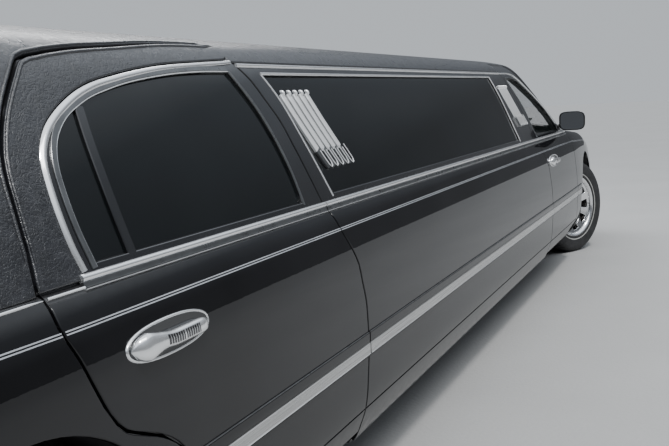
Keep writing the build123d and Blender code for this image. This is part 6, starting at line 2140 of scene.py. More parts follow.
exh = fix_out(*tube([(-1.398, -0.25, 0.302), (-1.408, -0.25, 0.2995)], [0.0335, 0.0335], 24))
pipe_out = [(-1.335, -0.25, 0.3175), (-1.36, -0.25, 0.3115), (-1.4185, -0.25, 0.2975)]
tp = []
for r0_, rev_ in ((0.0325, 1), (0.0295, -1)):
    tp.append((r0_, rev_))
Vt, Ft = tube(pipe_out, 0.0325, 28, cap=False)
Vi, Fi = tube(pipe_out, 0.0298, 28, cap=False)
n_ = 28
Va = np.vstack([Vt, Vi]); k0 = len(Vt)
Fa = list(Ft) + [tuple(reversed([i + k0 for i in f])) for f in Fi]
for i in range(n_):
    j = (i + 1) % n_
    Fa.append((i, k0 + i, k0 + j, j))
    Fa.append((2 * n_ + j, k0 + 2 * n_ + j, k0 + 2 * n_ + i, 2 * n_ + i))
V, F = fix_out(Va, Fa)
emit("exhaust_tip", V, F, "root", "chrome_trim", slot="exhaust_steel", sharp=40)

# cowl: louvred panel between bonnet and windscreen and two wipers, made further down

# ------------------------------------------------------------------ cabin
def cushion(O, U, Vd, lu, lv, t, cu=0, cv=0, r=0.05, crown=0.014, depth=0.011, gw=0.010):
    """Closed stuffed pad: base corner O, length lu along U, width lv along Vd, cu by cv stitched panels."""
    O, U, Vd = (np.array(a, float) for a in (O, U, Vd))
    U, Vd = U / np.linalg.norm(U), Vd / np.linalg.norm(Vd)
    W = np.cross(U, Vd)
    r = min(r, t * 0.9, lu * 0.45, lv * 0.45)

    def ticks(L, k_):
        a = [L * i / 18 for i in range(19)] + list(r * (1 - np.cos(np.linspace(0, math.pi / 2, 6)))) + list(L - r * (1 - np.cos(np.linspace(0, math.pi / 2, 6))))
        lines = [L * i / k_ for i in range(1, k_)] if k_ > 1 else []
        for c in lines:
            a += [c - 2.2 * gw, c - gw, c - 0.4 * gw, c, c + 0.4 * gw, c + gw, c + 2.2 * gw]
        a = sorted(x for x in a if -1e-9 <= x <= L + 1e-9)
        out = [a[0]]
        for x in a[1:]:
            if x - out[-1] > gw * 0.3:
                out.append(x)
        out[-1] = L
        return np.array(out), lines

    us, lu_lines = ticks(lu, cu)
    vs, lv_lines = ticks(lv, cv)

    def edge(s, L):
        d = np.clip(np.minimum(s, L - s) / r, 0, 1)
        return np.sqrt(np.clip(1 - (1 - d) ** 2, 0, 1))

    def puff(s, L, k_, lines):
        if not lines:
            return np.ones_like(s)
        w_ = L / k_
        q = (s % w_) / w_
        return np.clip(np.sin(math.pi * np.clip(q, 0, 1)), 0, 1) ** 0.4

    A, B = np.meshgrid(us, vs, indexing="ij")
    e = edge(A, lu) * edge(B, lv)
    p_ = np.minimum(puff(A, lu, cu, lu_lines), puff(B, lv, cv, lv_lines)) if (cu > 1 or cv > 1) else np.ones_like(A)
    h = (t - r) + r * e + crown * np.sin(math.pi * A / lu) * np.sin(math.pi * B / lv) - depth * (1 - p_) * e
    V = O + A[..., None] * U + B[..., None] * Vd + h[..., None] * W
    m, n_ = len(us), len(vs)
    V = list(V.reshape(-1, 3))
    F = [(i * n_ + j, (i + 1) * n_ + j, (i + 1) * n_ + j + 1, i * n_ + j + 1) for i in range(m - 1) for j in range(n_ - 1)]
    ring_ = [i * n_ for i in range(m)] + [(m - 1) * n_ + j for j in range(1, n_)] + [i * n_ + n_ - 1 for i in range(m - 2, -1, -1)] + [j for j in range(n_ - 2, 0, -1)]
    mid, low_ = [], []
    c0 = O + U * lu / 2 + Vd * lv / 2
    for k_ in ring_:
        a, b = V[k_] - O, None
        au, bv = float(a @ U), float(a @ Vd)
        low_.append(O + U * (lu / 2 + (au - lu / 2) * 0.985) + Vd * (lv / 2 + (bv - lv / 2) * 0.985))
    base = len(V)
    V += low_
    q = len(ring_)
    for i in range(q):
        j = (i + 1) % q
        F.append((ring_[i], base + i, base + j, ring_[j]))
    F.append(tuple(base + i for i in range(q)))
    return fix_out(np.array(V), F)


def soft(name, V, F, node=None, side=None, mat="seat_leather", body="root"):
    o = emit(name, V, F, body, mat, slot="seat_leather", side=side, sharp=60)
    if node:
        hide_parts(node)
    return o


def piping(path, r_=0.0045):
    P = np.array(path, float)
    return fix_out(*tube(P, r_, 6, closed=True))


# rear bench seat
V, F = cushion((0.022, -0.553, 0.532), (1, 0, 0), (0, 1, 0), 0.566, 1.106, 0.078, cu=1, cv=10, r=0.055)
soft("rear_seat_cushion", V, F, "rear_seat")
V, F = cushion((-0.034, -0.553, 0.566), (-0.39, 0, 0.921), (0, 1, 0), 0.425, 1.106, 0.132, cu=1, cv=10, r=0.055)
V = np.array(V)
if V[:, 0].max() < 0.05:
    V, F = cushion((-0.034, 0.553, 0.566), (-0.39, 0, 0.921), (0, -1, 0), 0.425, 1.106, 0.132, cu=1, cv=10, r=0.055)
soft("rear_seat_back", V, F)
for s_, w_ in ((1, "_left"), (-1, "_right")):
    V, F = cushion((-0.02, 0.557, 0.50), (0, 0, 1), (1, 0, 0), 0.24, 0.52, 0.10, cu=1, cv=1, r=0.05)
    V = np.array(V)
    if V[:, 1].max() < 0.60:
        V, F = cushion((0.50, 0.557, 0.50), (0, 0, 1), (-1, 0, 0), 0.24, 0.52, 0.10, cu=1, cv=1, r=0.05)
    soft("rear_armrest" + w_, V, F, side=s_)
V, F = rbox(0.040, 0.575, -0.545, 0.545, 0.289, 0.531, 0.01)
emit("rear_seat_base", V, F, "root", "carpet", slot="interior_plastic")
V, F = rbox(-0.640, -0.195, -0.700, 0.700, 0.925, 0.945, 0.006)
emit("parcel_shelf", V, F, "root", "carpet", slot="interior_plastic")
V, F = rbox(-0.235, -0.218, -0.700, 0.700, 0.300, 0.924, 0.004)
emit("cabin_rear_wall", V, F, "root", "carpet", slot="interior_plastic")

# long seat down the left side
V, F = rbox(1.482, 3.998, 0.432, 0.818, 0.290, 0.432, 0.012)
o = emit("side_bench_base", V, F, "root", "interior_plastic", slot="seat_leather")
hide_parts("side_bench")
for i in range(4):
    x0_ = 1.482 + i * 0.629
    V, F = cushion((x0_, 0.418, 0.434), (1, 0, 0), (0, 1, 0), 0.627, 0.318, 0.094, cu=5, cv=1, r=0.045)
    soft("side_bench_cushion_%d" % i, V, F)
    V, F = cushion((x0_, 0.800, 0.505), (1, 0, 0.0), (0, 0.055, 1.0), 0.627, 0.378, 0.080, cu=5, cv=1, r=0.045)
    V = np.array(V)
    if V[:, 1].min() > 0.78:
        V, F = cushion((x0_ + 0.627, 0.800, 0.505), (-1, 0, 0.0), (0, 0.055, 1.0), 0.627, 0.378, 0.080, cu=5, cv=1, r=0.045)
    soft("side_bench_back_%d" % i, V, F)

# bar cabinet down the right side: doors, knobs, rail, cups and an ice bucket
for i in range(6):
    x0_ = 1.712 + i * 0.3645
    V, F = rbox(x0_, x0_ + 0.354, -0.5615, -0.5500, 0.330, 0.740, 0.004)
    emit("bar_door_%d" % i, V, F, "root", "veneer", slot="interior_plastic")
    v_, f_ = lathe([(0.0, 0.0), (0.005, 0.0), (0.005, 0.010), (0.010, 0.014), (0.0105, 0.020), (0.006, 0.024), (0.0, 0.0245)], 18)
    xk = x0_ + (0.320 if i % 2 == 0 else 0.034)
    emit("bar_knob_%d" % i, *fix_out(v_ + np.array((xk, -0.5502, 0.620)), f_), "root", "chrome_trim", slot="chrome_trim")
V, F = rbox(1.700, 3.900, -0.825, -0.580, 0.789, 0.801, 0.004)
emit("bar_top", V, F, "root", "gloss_black", slot="interior_plastic")
V, F = fix_out(*tube([(1.73, -0.598, 0.801), (1.73, -0.598, 0.822), (1.738, -0.598, 0.830), (2.6, -0.598, 0.830), (3.862, -0.598, 0.830), (3.870, -0.598, 0.822), (3.870, -0.598, 0.801)], 0.0045, 10))
emit("bar_rail", V, F, "root", "chrome_trim", slot="chrome_trim")


def up_axis(v_):
    return np.column_stack([v_[:, 0], v_[:, 2], v_[:, 1]])


for i in range(8):
    v_, f_ = lathe([(0.0, 0.0), (0.026, 0.0), (0.026, 0.002), (0.004, 0.005), (0.0035, 0.055), (0.012, 0.066), (0.026, 0.085), (0.030, 0.110), (0.027, 0.138), (0.0258, 0.138), (0.0286, 0.110), (0.0245, 0.086), (0.010, 0.068), (0.0, 0.066)], 24)
    emit("bar_glass_%d" % i, *fix_out(up_axis(v_) + np.array((1.86 + 0.085 * (i % 4) + 1.05 * (i // 4), -0.700 - 0.03 * (i % 2), 0.801)), f_), "root", "lamp_clear", slot="clear_glass", sharp=50)
v_, f_ = lathe([(0.0, 0.0), (0.062, 0.0), (0.066, 0.004), (0.078, 0.120), (0.082, 0.126), (0.080, 0.130), (0.074, 0.128), (0.062, 0.008), (0.0, 0.006)], 36)
emit("ice_bucket", *fix_out(up_axis(v_) + np.array((2.50, -0.700, 0.801)), f_), "root", "chrome_trim", slot="chrome_trim", sharp=50)
for i in range(3):
    v_, f_ = lathe([(0.0, 0.0), (0.036, 0.0), (0.039, 0.004), (0.040, 0.110), (0.034, 0.136), (0.016, 0.156), (0.013, 0.172), (0.013, 0.186), (0.016, 0.190), (0.017, 0.205), (0.012, 0.214), (0.0, 0.216)], 28)
    emit("decanter_%d" % i, *fix_out(up_axis(v_) + np.array((3.30 + 0.12 * i, -0.705, 0.801)), f_), "root", "lamp_clear", slot="clear_glass", sharp=50)

# front seats
for s_, w_ in ((1, "_left"), (-1, "_right")):
    V, F = cushion((4.452, 0.132, 0.392), (1, 0, -0.0), (0, 1, 0), 0.530, 0.516, 0.185, cu=1, cv=5, r=0.06)
    o = soft("front_seat_cushion" + w_, V, F, side=s_)
    if s_ > 0:
        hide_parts("front_seats")
    V, F = cushion((4.432, 0.648, 0.470), (-0.165, 0, 0.986), (0, -1, 0), 0.610, 0.516, 0.120, cu=1, cv=5, r=0.055)
    V = np.array(V)
    if V[:, 0].max() < 4.50:
        V, F = cushion((4.432, 0.132, 0.470), (-0.165, 0, 0.986), (0, 1, 0), 0.610, 0.516, 0.120, cu=1, cv=5, r=0.055)
    soft("front_seat_back" + w_, V, F, side=s_)
    V, F = cushion((4.352, 0.510, 1.105), (0, 0, 1), (0, -1, 0), 0.140, 0.240, 0.085, cu=1, cv=1, r=0.04)
    V = np.array(V)
    if V[:, 0].max() < 4.40:
        V, F = cushion((4.352, 0.270, 1.105), (0, 0, 1), (0, 1, 0), 0.140, 0.240, 0.085, cu=1, cv=1, r=0.04)
    soft("front_headrest" + w_, V, F, side=s_)
    for k_, yy in enumerate((0.330, 0.450)):
        V, F = fix_out(*tube([(4.372, yy, 1.05), (4.380, yy, 1.13)], 0.006, 10))
        emit("headrest_post_%d" % k_ + w_, V, F, "root", "chrome_trim", slot="seat_leather", side=s_)
    V, F = rbox(4.470, 4.955, 0.150, 0.630, 0.330, 0.394, 0.014)
    emit("front_seat_frame" + w_, V, F, "root", "interior_plastic", slot="seat_leather", side=s_)
    for k_, yy in enumerate((0.225, 0.525)):
        V, F = rbox(4.440, 4.980, yy, yy + 0.032, 0.288, 0.331, 0.006)
        emit("seat_rail_%d" % k_ + w_, V, F, "root", "bare_steel", slot="seat_leather", side=s_)

# centre console with its lid
V, F = rbox(4.42, 5.14, -0.100, 0.100, 0.425, 0.560, 0.018)
emit("centre_console", V, F, "root", "interior_plastic", slot="interior_plastic")
V, F = cushion((4.43, -0.095, 0.561), (1, 0, 0), (0, 1, 0), 0.300, 0.190, 0.045, cu=1, cv=1, r=0.03, crown=0.006)
soft("console_lid", V, F)
V, F = rbox(4.76, 5.10, -0.085, 0.085, 0.559, 0.566, 0.003)
emit("console_tray", V, F, "root", "veneer", slot="interior_plastic")

# dashboard: veneer band, vents, instrument hood and dials, centre panel
dn = np.array((-0.9778, 0, -0.2095))      # face between (5.230, .720) and (5.200, .860)


def dash_box(name, y0_, y1_, h0, h1, t0, t1, mat, r=0.004):
    """Block on the dashboard's face: h runs up the face from its lower edge."""
    V, F = rbox(t0, t1, y0_, y1_, h0, h1, r)
    e1 = np.array((-0.2095, 0, 0.9778))
    V = np.array((5.230, 0, 0.720)) + V[:, :1] * dn + V[:, 1:2] * np.array((0, 1.0, 0)) + V[:, 2:3] * e1
    return emit(name, *fix_out(V, F), "root", mat, slot="interior_plastic")


dash_box("dash_veneer_right", -0.790, -0.175, 0.030, 0.105, -0.004, 0.007, "veneer")
dash_box("dash_veneer_left", 0.600, 0.790, 0.030, 0.105, -0.004, 0.007, "veneer")
dash_box("dash_centre_panel", -0.165, 0.165, 0.000, 0.138, -0.004, 0.012, "gloss_black", 0.006)
for i, (a, b) in enumerate(((-0.150, -0.020), (0.020, 0.150))):
    dash_box("dash_vent_frame_%d" % i, a, b, 0.088, 0.128, 0.008, 0.0155, "rubber_trim", 0.002)
    for j in range(4):
        dash_box("dash_vent_slat_%d_%d" % (i, j), a + 0.006, b - 0.006, 0.0925 + j * 0.009, 0.0955 + j * 0.009, 0.012, 0.0185, "interior_plastic", 0.0008)
for j in range(5):
    dash_box("dash_button_%d" % j, -0.130 + j * 0.054, -0.088 + j * 0.054, 0.016, 0.034, 0.008, 0.0160, "interior_plastic", 0.003)
dash_box("dash_panel_blank", -0.130, 0.130, 0.044, 0.080, 0.008, 0.0140, "dark_glass", 0.002)
for i, (a, b) in enumerate(((-0.785, -0.690), (0.695, 0.785))):
    for j in range(4):
        dash_box("dash_side_vent_%d_%d" % (i, j), a, b, 0.112 + j * 0.0065, 0.1145 + j * 0.0065, -0.003, 0.0050, "rubber_trim", 0.0008)
V, F = rbox(5.232, 5.240, -0.70, -0.24, 0.650, 0.716, 0.002)
hoodsec = []
for y_, hh in ((0.155, 0.002), (0.175, 0.028), (0.230, 0.044), (0.390, 0.050), (0.550, 0.044), (0.605, 0.028), (0.625, 0.002)):
    hoodsec.append([(5.172, y_, 0.868), (5.168, y_, 0.888 + hh * 0.9), (5.180, y_, 0.905 + hh), (5.215, y_, 0.922 + hh), (5.262, y_, 0.934 + hh), (5.330, y_, 0.945 + hh * 0.7), (5.380, y_, 0.950), (5.390, y_, 0.930), (5.240, y_, 0.880)])
emit("instrument_hood", *loft(hoodsec), "root", "interior_plastic", slot="interior_plastic", sharp=50)
V, F = rbox(5.186, 5.196, 0.200, 0.580, 0.770, 0.892, 0.004)
emit("instrument_panel", V, F, "root", "gloss_black", slot="interior_plastic")
for i, (yy, rr) in enumerate(((0.300, 0.044), (0.390, 0.048), (0.480, 0.044), (0.235, 0.022), (0.545, 0.022))):
    v_, f_ = lathe([(0.0, 0.0), (rr, 0.0), (rr, 0.006), (rr - 0.003, 0.008), (rr - 0.006, 0.006), (rr - 0.007, 0.003), (0.0, 0.003)], 36)
    v_ = np.column_stack([5.187 - v_[:, 1], yy + v_[:, 0], 0.835 + v_[:, 2]])
    emit("dial_%d" % i, *fix_out(v_, f_), "root", "satin_grey", slot="interior_plastic", sharp=40)
    V, F = rbox(5.1820, 5.1835, yy - 0.0012, yy + 0.0012, 0.835 - rr * 0.15, 0.835 + rr * 0.75, 0.0006)
    emit("dial_needle_%d" % i, V, F, "root", "lamp_amber", slot="interior_plastic")

# steering column shroud, wheel pad, stalks
tl_ = math.radians(-62)
ex = np.array((math.cos(tl_), 0, -math.sin(tl_)))
ez = np.array((math.sin(tl_), 0, math.cos(tl_)))
C0 = np.array((5.080, 0.390, 0.905))


def on_wheel(V):
    V = np.asarray(V, float)
    return C0 + V[:, :1] * ex + V[:, 1:2] * np.array((0, 1.0, 0)) + V[:, 2:3] * ez


V, F = rbox(-0.058, 0.075, -0.085, 0.085, 0.006, 0.040, 0.022, 5)
emit("steering_wheel_pad", *fix_out(on_wheel(V), F), "root", "interior_plastic", slot="interior_plastic")
V, F = rbox(-0.048, 0.048, -0.055, 0.055, -0.190, -0.035, 0.022, 4)
emit("column_shroud", *fix_out(on_wheel(V), F), "root", "interior_plastic", slot="interior_plastic")
V, F = fix_out(*tube(on_wheel([(0.0, 0.05, -0.060), (0.005, 0.10, -0.058), (0.010, 0.165, -0.050)]), [0.0055, 0.006, 0.0075], 12))
emit("column_stalk_left", V, F, "root", "interior_plastic", slot="interior_plastic")
V, F = fix_out(*tube(on_wheel([(0.0, -0.05, -0.060), (-0.03, -0.11, -0.052), (-0.06, -0.185, -0.045)]), [0.0065, 0.007, 0.010], 12))
emit("column_stalk_right", V, F, "root", "interior_plastic", slot="interior_plastic")
MATS_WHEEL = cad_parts["steering_wheel"]
MATS_WHEEL.data.materials.clear()
MATS_WHEEL.data.materials.append(MATS["interior_plastic"])
for nm, yy, w_, z_ in (("brake", 0.330, 0.085, 0.40), ("throttle", 0.225, 0.045, 0.37)):
    V, F = rbox(5.385, 5.400, yy - w_ / 2, yy + w_ / 2, z_, z_ + 0.06, 0.005)
    emit("pedal_pad_" + nm, V, F, "root", "rubber_trim", slot="interior_plastic")
    V, F = fix_out(*tube([(5.400, yy, z_ + 0.03), (5.420, yy, z_ + 0.16), (5.415, yy, z_ + 0.30)], 0.007, 8))
    emit("pedal_arm_" + nm, V, F, "root", "bare_steel", slot="interior_plastic")

# carpets and the trimmed tunnel
for s_, w_ in ((1, "_left"), (-1, "_right")):
    V, F = rbox(0.620, 4.232, 0.084, 0.800, 0.2875, 0.2896, 0.0008)
    emit("carpet_rear" + w_, V, F, "root", "carpet", slot="interior_plastic", side=s_)
    V, F = rbox(4.275, 5.440, 0.084, 0.800, 0.2875, 0.2915, 0.001)
    emit("carpet_front" + w_, V, F, "root", "carpet", slot="interior_plastic", side=s_)
    V, F = rbox(0.620, 5.440, 0.0805, 0.0845, 0.2890, 0.4235, 0.0015)
    emit("carpet_tunnel_side" + w_, V, F, "root", "carpet", slot="interior_plastic", side=s_)
V, F = rbox(0.620, 5.440, -0.084, 0.084, 0.4205, 0.4245, 0.0015)
emit("carpet_tunnel_top", V, F, "root", "carpet", slot="interior_plastic")

# partition: framed glass
for nm, (a, b, c, d) in (("top", (-0.350, 0.350, 1.288, 1.308)), ("base", (-0.350, 0.350, 0.982, 1.002)), ("left", (0.328, 0.348, 0.990, 1.300)), ("right", (-0.348, -0.328, 0.990, 1.300))):
    V, F = rbox(4.226, 4.279, a, b, c, d, 0.005)
    emit("partition_frame_" + nm, V, F, "root", "gloss_black", slot="interior_plastic")
V, F = rbox(4.249, 4.256, -0.331, 0.331, 0.998, 1.292, 0.0015)
emit("partition_glass", V, F, "root", "clear_glass", slot="clear_glass")


# door trims: panel, armrest, pull, switch plate, speaker
def inner_plane(u, v):
    u, v = np.asarray(u, float), np.asarray(v, float)
    return np.column_stack([u, np.full_like(u, 0.830), v]), np.tile((0.0, -1.0, 0.0), (len(u), 1))


def trim_plate(outline, y_in, y_out, r=0.006):
    p = round_corners(np.array(outline, float), 0.035)
    p = p if poly_area(p) > 0 else p[::-1]
    q = offset_loop(p, r)
    n_ = len(p)
    L = [[(a[0], y_out, a[1]) for a in p], [(a[0], y_in + r, a[1]) for a in p], [(a[0], y_in + 0.3 * r, a[1]) for a in offset_loop(p, 0.3 * r)], [(a[0], y_in, a[1]) for a in q]]
    return loft(L)


RT = [(0.505, 0.330), (1.340, 0.330), (1.362, 0.52), (1.366, 0.66), (1.345, 0.77), (1.295, 0.86), (1.285, 0.918), (0.205, 0.918), (0.220, 0.87), (0.245, 0.80), (0.280, 0.735), (0.335, 0.705), (0.425, 0.660), (0.485, 0.600), (0.500, 0.53)]
FT = [(4.465, 0.330), (5.380, 0.330), (5.380, 0.918), (4.410, 0.918), (4.425, 0.87), (4.475, 0.77), (4.492, 0.66), (4.488, 0.52)]
for body_, poly_, xa, xb in (("rear_door", RT, 0.62, 1.25), ("front_door", FT, 4.62, 5.16)):
    both(body_ + "_trim", *trim_plate(poly_, 0.8185, 0.8360), body_, "interior_plastic", slot="interior_plastic", sharp=40)
    both(body_ + "_armrest", *rbox(xa, xb, 0.752, 0.8200, 0.600, 0.645, 0.018, 4), body_, "seat_leather", slot="seat_leather")
    both(body_ + "_switch_plate", *rbox(xb - 0.24, xb - 0.06, 0.766, 0.806, 0.6440, 0.6490, 0.002), body_, "gloss_black", slot="interior_plastic")
    both(body_ + "_trim_veneer", *rbox(xa - 0.08, xb + 0.02, 0.8120, 0.8190, 0.725, 0.790, 0.003), body_, "veneer", slot="interior_plastic")
    both(body_ + "_inner_pull", *rbox(xb - 0.13, xb - 0.03, 0.8010, 0.8125, 0.742, 0.770, 0.005), body_, "chrome_trim", slot="chrome_trim")
    v_, f_ = lathe([(0.0, 0.0), (0.075, 0.0), (0.075, 0.003), (0.070, 0.006), (0.0, 0.0075)], 40)
    both(body_ + "_speaker", *fix_out(np.column_stack([xb - 0.10 + v_[:, 0], 0.8188 - v_[:, 1], 0.455 + v_[:, 2]]), f_), body_, "rubber_trim", slot="interior_plastic")

# headlining, hung under the roof
hx = np.concatenate([np.linspace(-0.10, 4.40, 26), np.linspace(4.46, 4.70, 5)])
HW = np.interp(hx, [-0.10, 0.3, 1.0, 4.2, 4.40, 4.55, 4.70], [0.500, 0.560, 0.585, 0.585, 0.560, 0.520, 0.440])
grid = []
for x_, w_ in zip(hx, HW):
    ys_ = np.linspace(-w_, w_, 15)
    p_, n_ = green_z(np.column_stack([np.full(15, x_), ys_]))
    grid.append(p_[:, 2])
G = np.array(grid)
Vh, Fh = [], []
for lay, dz in ((0, 0.040), (1, 0.046)):
    for i, (x_, w_) in enumerate(zip(hx, HW)):
        for j, y_ in enumerate(np.linspace(-w_, w_, 15)):
            Vh.append((x_, y_, G[i, j] - dz))
m_ = len(hx)
ix = lambda lay, i, j: lay * m_ * 15 + i * 15 + j
for i in range(m_ - 1):
    for j in range(14):
        Fh.append((ix(0, i, j), ix(0, i + 1, j), ix(0, i + 1, j + 1), ix(0, i, j + 1)))
        Fh.append((ix(1, i, j + 1), ix(1, i + 1, j + 1), ix(1, i + 1, j), ix(1, i, j)))
for i in range(m_ - 1):
    Fh.append((ix(0, i + 1, 0), ix(0, i, 0), ix(1, i, 0), ix(1, i + 1, 0)))
    Fh.append((ix(0, i, 14), ix(0, i + 1, 14), ix(1, i + 1, 14), ix(1, i, 14)))
for j in range(14):
    Fh.append((ix(0, 0, j), ix(0, 0, j + 1), ix(1, 0, j + 1), ix(1, 0, j)))
    Fh.append((ix(0, m_ - 1, j + 1), ix(0, m_ - 1, j), ix(1, m_ - 1, j), ix(1, m_ - 1, j + 1)))
emit("headlining", *fix_out(np.array(Vh), Fh), "root", "headlining", slot="interior_plastic", sharp=60)
# rear-view mirror
V, F = rbox(4.815, 4.835, -0.120, 0.120, 1.268, 1.325, 0.009, 4)
emit("cabin_mirror", V, F, "root", "rubber_trim", slot="interior_plastic")
V, F = rbox(4.8125, 4.8155, -0.108, 0.108, 1.276, 1.317, 0.0012)
emit("cabin_mirror_glass", V, F, "root", "mirror_glass", slot="clear_glass")
V, F = fix_out(*tube([(4.833, 0, 1.300), (4.850, 0, 1.325), (4.852, 0, 1.345)], 0.007, 8))
emit("cabin_mirror_stem", V, F, "root", "rubber_trim", slot="interior_plastic")


# ------------------------------------------------------------------ plate, screws, cowl and wipers
emit("front_plate_screws", *join(scr), "root", "chrome_trim", slot="chrome_trim", sharp=40)
panel("rear_plate", P_, rear_plane, "", "plate_white", off=0.0002, radius=0.0006, lip=0.002, gx=0.05, gy=0.03, slot="chrome_trim", sides=(0,), bodies="root")
rs_ = []
for y_ in (-0.125, 0.125):
    for z_ in (0.404, 0.480):
        v_, f_ = lathe([(0.0, 0.0), (0.0055, 0.0), (0.0055, 0.0008), (0.0035, 0.0014), (0.0, 0.0015)], 16)
        rs_.append(fix_out(np.column_stack([-1.4285 - v_[:, 1], v_[:, 0] + y_, v_[:, 2] + z_]), f_))
emit("rear_plate_screws", *join(rs_), "root", "chrome_trim", slot="chrome_trim", sharp=40)

# cowl panel between bonnet and windscreen: dark plastic with ribs over the air slots
yy_ = np.linspace(0.0, 0.800, 17)
zb_ = np.interp(yy_, [a for a, b in cowl_yz[::-1]], [b for a, b in cowl_yz[::-1]])
xw_ = green_x(np.column_stack([yy_, zb_]), 1)[0][:, 0]
HB = np.array([(0.0, 5.690), (0.20, 5.689), (0.44, 5.654), (0.66, 5.554), (0.8315, 5.464)])
xb_ = np.interp(yy_, HB[:, 0], HB[:, 1])
half_ = np.vstack([np.column_stack([xw_ + 0.006, yy_])[::-1], np.column_stack([xb_ - 0.002, yy_])])
cowl_out = np.vstack([np.column_stack([xb_ - 0.002, yy_]), np.column_stack([xw_ + 0.006, yy_])[::-1]])
cowl_out = np.vstack([cowl_out, (cowl_out[::-1] * np.array([1.0, -1.0]))[1:-1]])
panel("cowl_panel", tidy(cowl_out, 0.0015), deck_surf, "", "rubber_trim", off=0.002, radius=0.002, lip=0.008, gx=0.03, gy=0.03, slot="interior_plastic", sides=(0,), bodies="root")
ribs_ = []
for t_ in (0.30, 0.42, 0.54, 0.66, 0.78):
    for sg_ in (1, -1):
        yr = np.linspace(0.070, 0.700, 22)
        xr = np.interp(yr, yy_, xw_ * (1 - t_) + xb_ * t_)
        P, Nn = deck_surf(xr, yr * sg_)
        ribs_.append(fix_out(*sweep(P + Nn * 0.0018, Nn, box_profile(0.0075, 0.0030, 0.0008, 0.0015))))
emit("cowl_ribs", *join(ribs_), "root", "interior_plastic", slot="interior_plastic", sharp=30)


def on_glass(y_, z_, up_):
    P, Nn = green_x(np.column_stack([np.atleast_1d(y_), np.atleast_1d(z_)]), 1)
    return P + Nn * np.atleast_1d(up_)[:, None], Nn


base_z = lambda y_: np.interp(np.abs(y_), [0.0, 0.30, 0.50, 0.70, 0.80], [1.034, 1.030, 1.024, 1.014, 1.002])
for w_, py, ya, yb in (("left", 0.610, 0.500, -0.030), ("right", -0.060, -0.170, -0.690)):
    ys_ = np.linspace(ya, yb, 26)
    zs_ = base_z(ys_) + 0.017 + 0.010 * np.linspace(0, 1, 26)
    P, Nn = on_glass(ys_, zs_, 0.0)
    V, F = fix_out(*sweep(P, Nn, [(-0.0022, 0.0005), (-0.0035, 0.010), (-0.006, 0.0115), (-0.006, 0.0150), (-0.002, 0.0185), (0.002, 0.0185), (0.006, 0.0150), (0.006, 0.0115), (0.0035, 0.010), (0.0022, 0.0005)]))
    emit("wiper_blade_" + w_, V, F, "root", "rubber_trim", slot="interior_plastic", sharp=40)
    ym = (ya + yb) / 2
    Pm, Nm = on_glass(ym, float(base_z(ym)) + 0.022, 0.021)
    xp_ = float(np.interp(abs(py), yy_, xw_ * 0.62 + xb_ * 0.38))
    Pp, Np = deck_surf(np.array([xp_]), np.array([py]))
    A0 = Pp[0] + Np[0] * 0.022
    A3 = Pm[0]
    A1 = A0 * 0.80 + A3 * 0.20 + np.array((0, 0, 0.006))
    A2 = A0 * 0.35 + A3 * 0.65 + np.array((0.006, 0, 0.006))
    V, F = fix_out(*tube([A0, A0 * 0.93 + A1 * 0.07 + np.array((0, 0, 0.002)), A1, A2, A3], [0.0095, 0.0095, 0.0070, 0.0052, 0.0045], 12))
    emit("wiper_arm_" + w_, V, F, "root", "rubber_trim", slot="interior_plastic", sharp=40)
    v_, f_ = lathe([(0.0, 0.0), (0.017, 0.0), (0.017, 0.014), (0.0135, 0.024), (0.006, 0.030), (0.0, 0.031)], 24)
    V, F = fix_out(up_axis(v_) + Pp[0] + np.array((0, 0, 0.001)), f_)
    emit("wiper_pivot_" + w_, V, F, "root", "rubber_trim", slot="interior_plastic", sharp=40)

# ------------------------------------------------------------------ floor and lights
def floor_piece(name, mat, z=0.0, size=70.0):
    fm = bpy.data.meshes.new(name)
    fm.from_pydata([(-size, -size, z), (size, -size, z), (size, size, z), (-size, size, z)], [], [(0, 1, 2, 3)])
    fm.materials.append(mat)
    o_ = bpy.data.objects.new(name, fm)
    bpy.context.collection.objects.link(o_)
    return o_


k = new_mat("floor_pale", (0.36, 0.36, 0.357), rough=0.9)
v = coords(k)
vary(k, (0.36, 0.36, 0.357), 0.965, 1.03, 1.1, vec=v)
link(k, bump(k, noise(k, v, 55.0, 4.0), 0.25, 0.01), bsdf(k).inputs["Normal"])
floor_piece("ground", k)

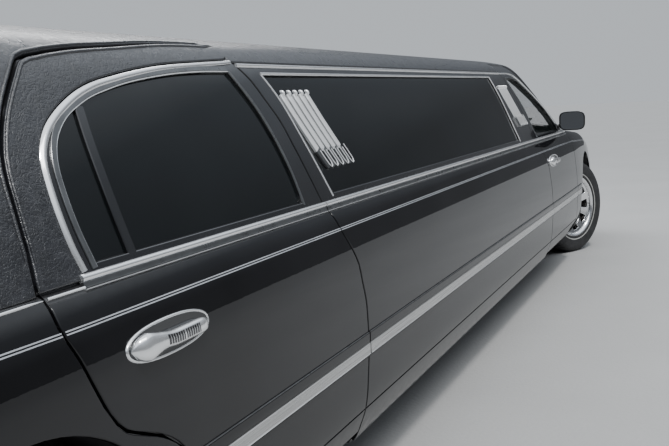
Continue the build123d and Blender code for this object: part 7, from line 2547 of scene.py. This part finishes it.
# even studio surroundings: darker towards the horizon, lighter overhead
w = bpy.data.worlds.new("studio")
bpy.context.scene.world = w
w.use_nodes = True
nt = w.node_tree
bgn = nt.nodes["Background"]
tc = nt.nodes.new("ShaderNodeTexCoord")
sx = nt.nodes.new("ShaderNodeSeparateXYZ")
nt.links.new(tc.outputs["Generated"], sx.inputs[0])
cr = nt.nodes.new("ShaderNodeValToRGB")
nt.links.new(sx.outputs["Z"], cr.inputs["Fac"])
el = cr.color_ramp.elements
stops = [(0.0, (0.13, 0.137, 0.147)), (0.18, (0.12, 0.128, 0.14)), (0.40, (0.30, 0.335, 0.38)), (0.60, (1.10, 1.19, 1.30)), (1.0, (1.35, 1.42, 1.50))]
while len(el) < len(stops):
    el.new(0.5)
for e, (p, c) in zip(el, stops):
    e.position, e.color = p, (*c, 1)
# the backdrop itself is one plain pale grey
lp = nt.nodes.new("ShaderNodeLightPath")
mixw = nt.nodes.new("ShaderNodeMix")
mixw.data_type = "RGBA"
nt.links.new(lp.outputs["Is Camera Ray"], mixw.inputs["Factor"])
nt.links.new(cr.outputs["Color"], mixw.inputs["A"])
mixw.inputs["B"].default_value = (0.55, 0.585, 0.62, 1)
nt.links.new(mixw.outputs["Result"], bgn.inputs["Color"])
bgn.inputs["Strength"].default_value = 1.0


def area(name, loc, target, size, power, color=(1, 1, 1), size_y=None):
    d = bpy.data.lights.new(name, "AREA")
    d.energy, d.color, d.size = power, color, size
    if size_y:
        d.shape, d.size_y = "RECTANGLE", size_y
    o_ = bpy.data.objects.new(name, d)
    bpy.context.collection.objects.link(o_)
    o_.location = loc
    o_.rotation_euler = (Vector(target) - Vector(loc)).to_track_quat("-Z", "Y").to_euler()
    return o_


sun = bpy.data.lights.new("sun", "SUN")
sun.energy, sun.angle, sun.color = 1.9, math.radians(7), (1.0, 0.985, 0.96)
so = bpy.data.objects.new("sun", sun)
bpy.context.collection.objects.link(so)
so.rotation_euler = (Vector((0, 0, 0)) - Vector((-2.5, -2.4, 7.0))).to_track_quat("-Z", "Y").to_euler()
area("softbox", (-2.0, -4.5, 7.0), (0, 0, 0.8), 6.0, 240.0, size_y=3.0)
area("softbox_far", (4.5, 4.5, 6.5), (0, 0, 0.8), 6.0, 260.0, size_y=3.0)
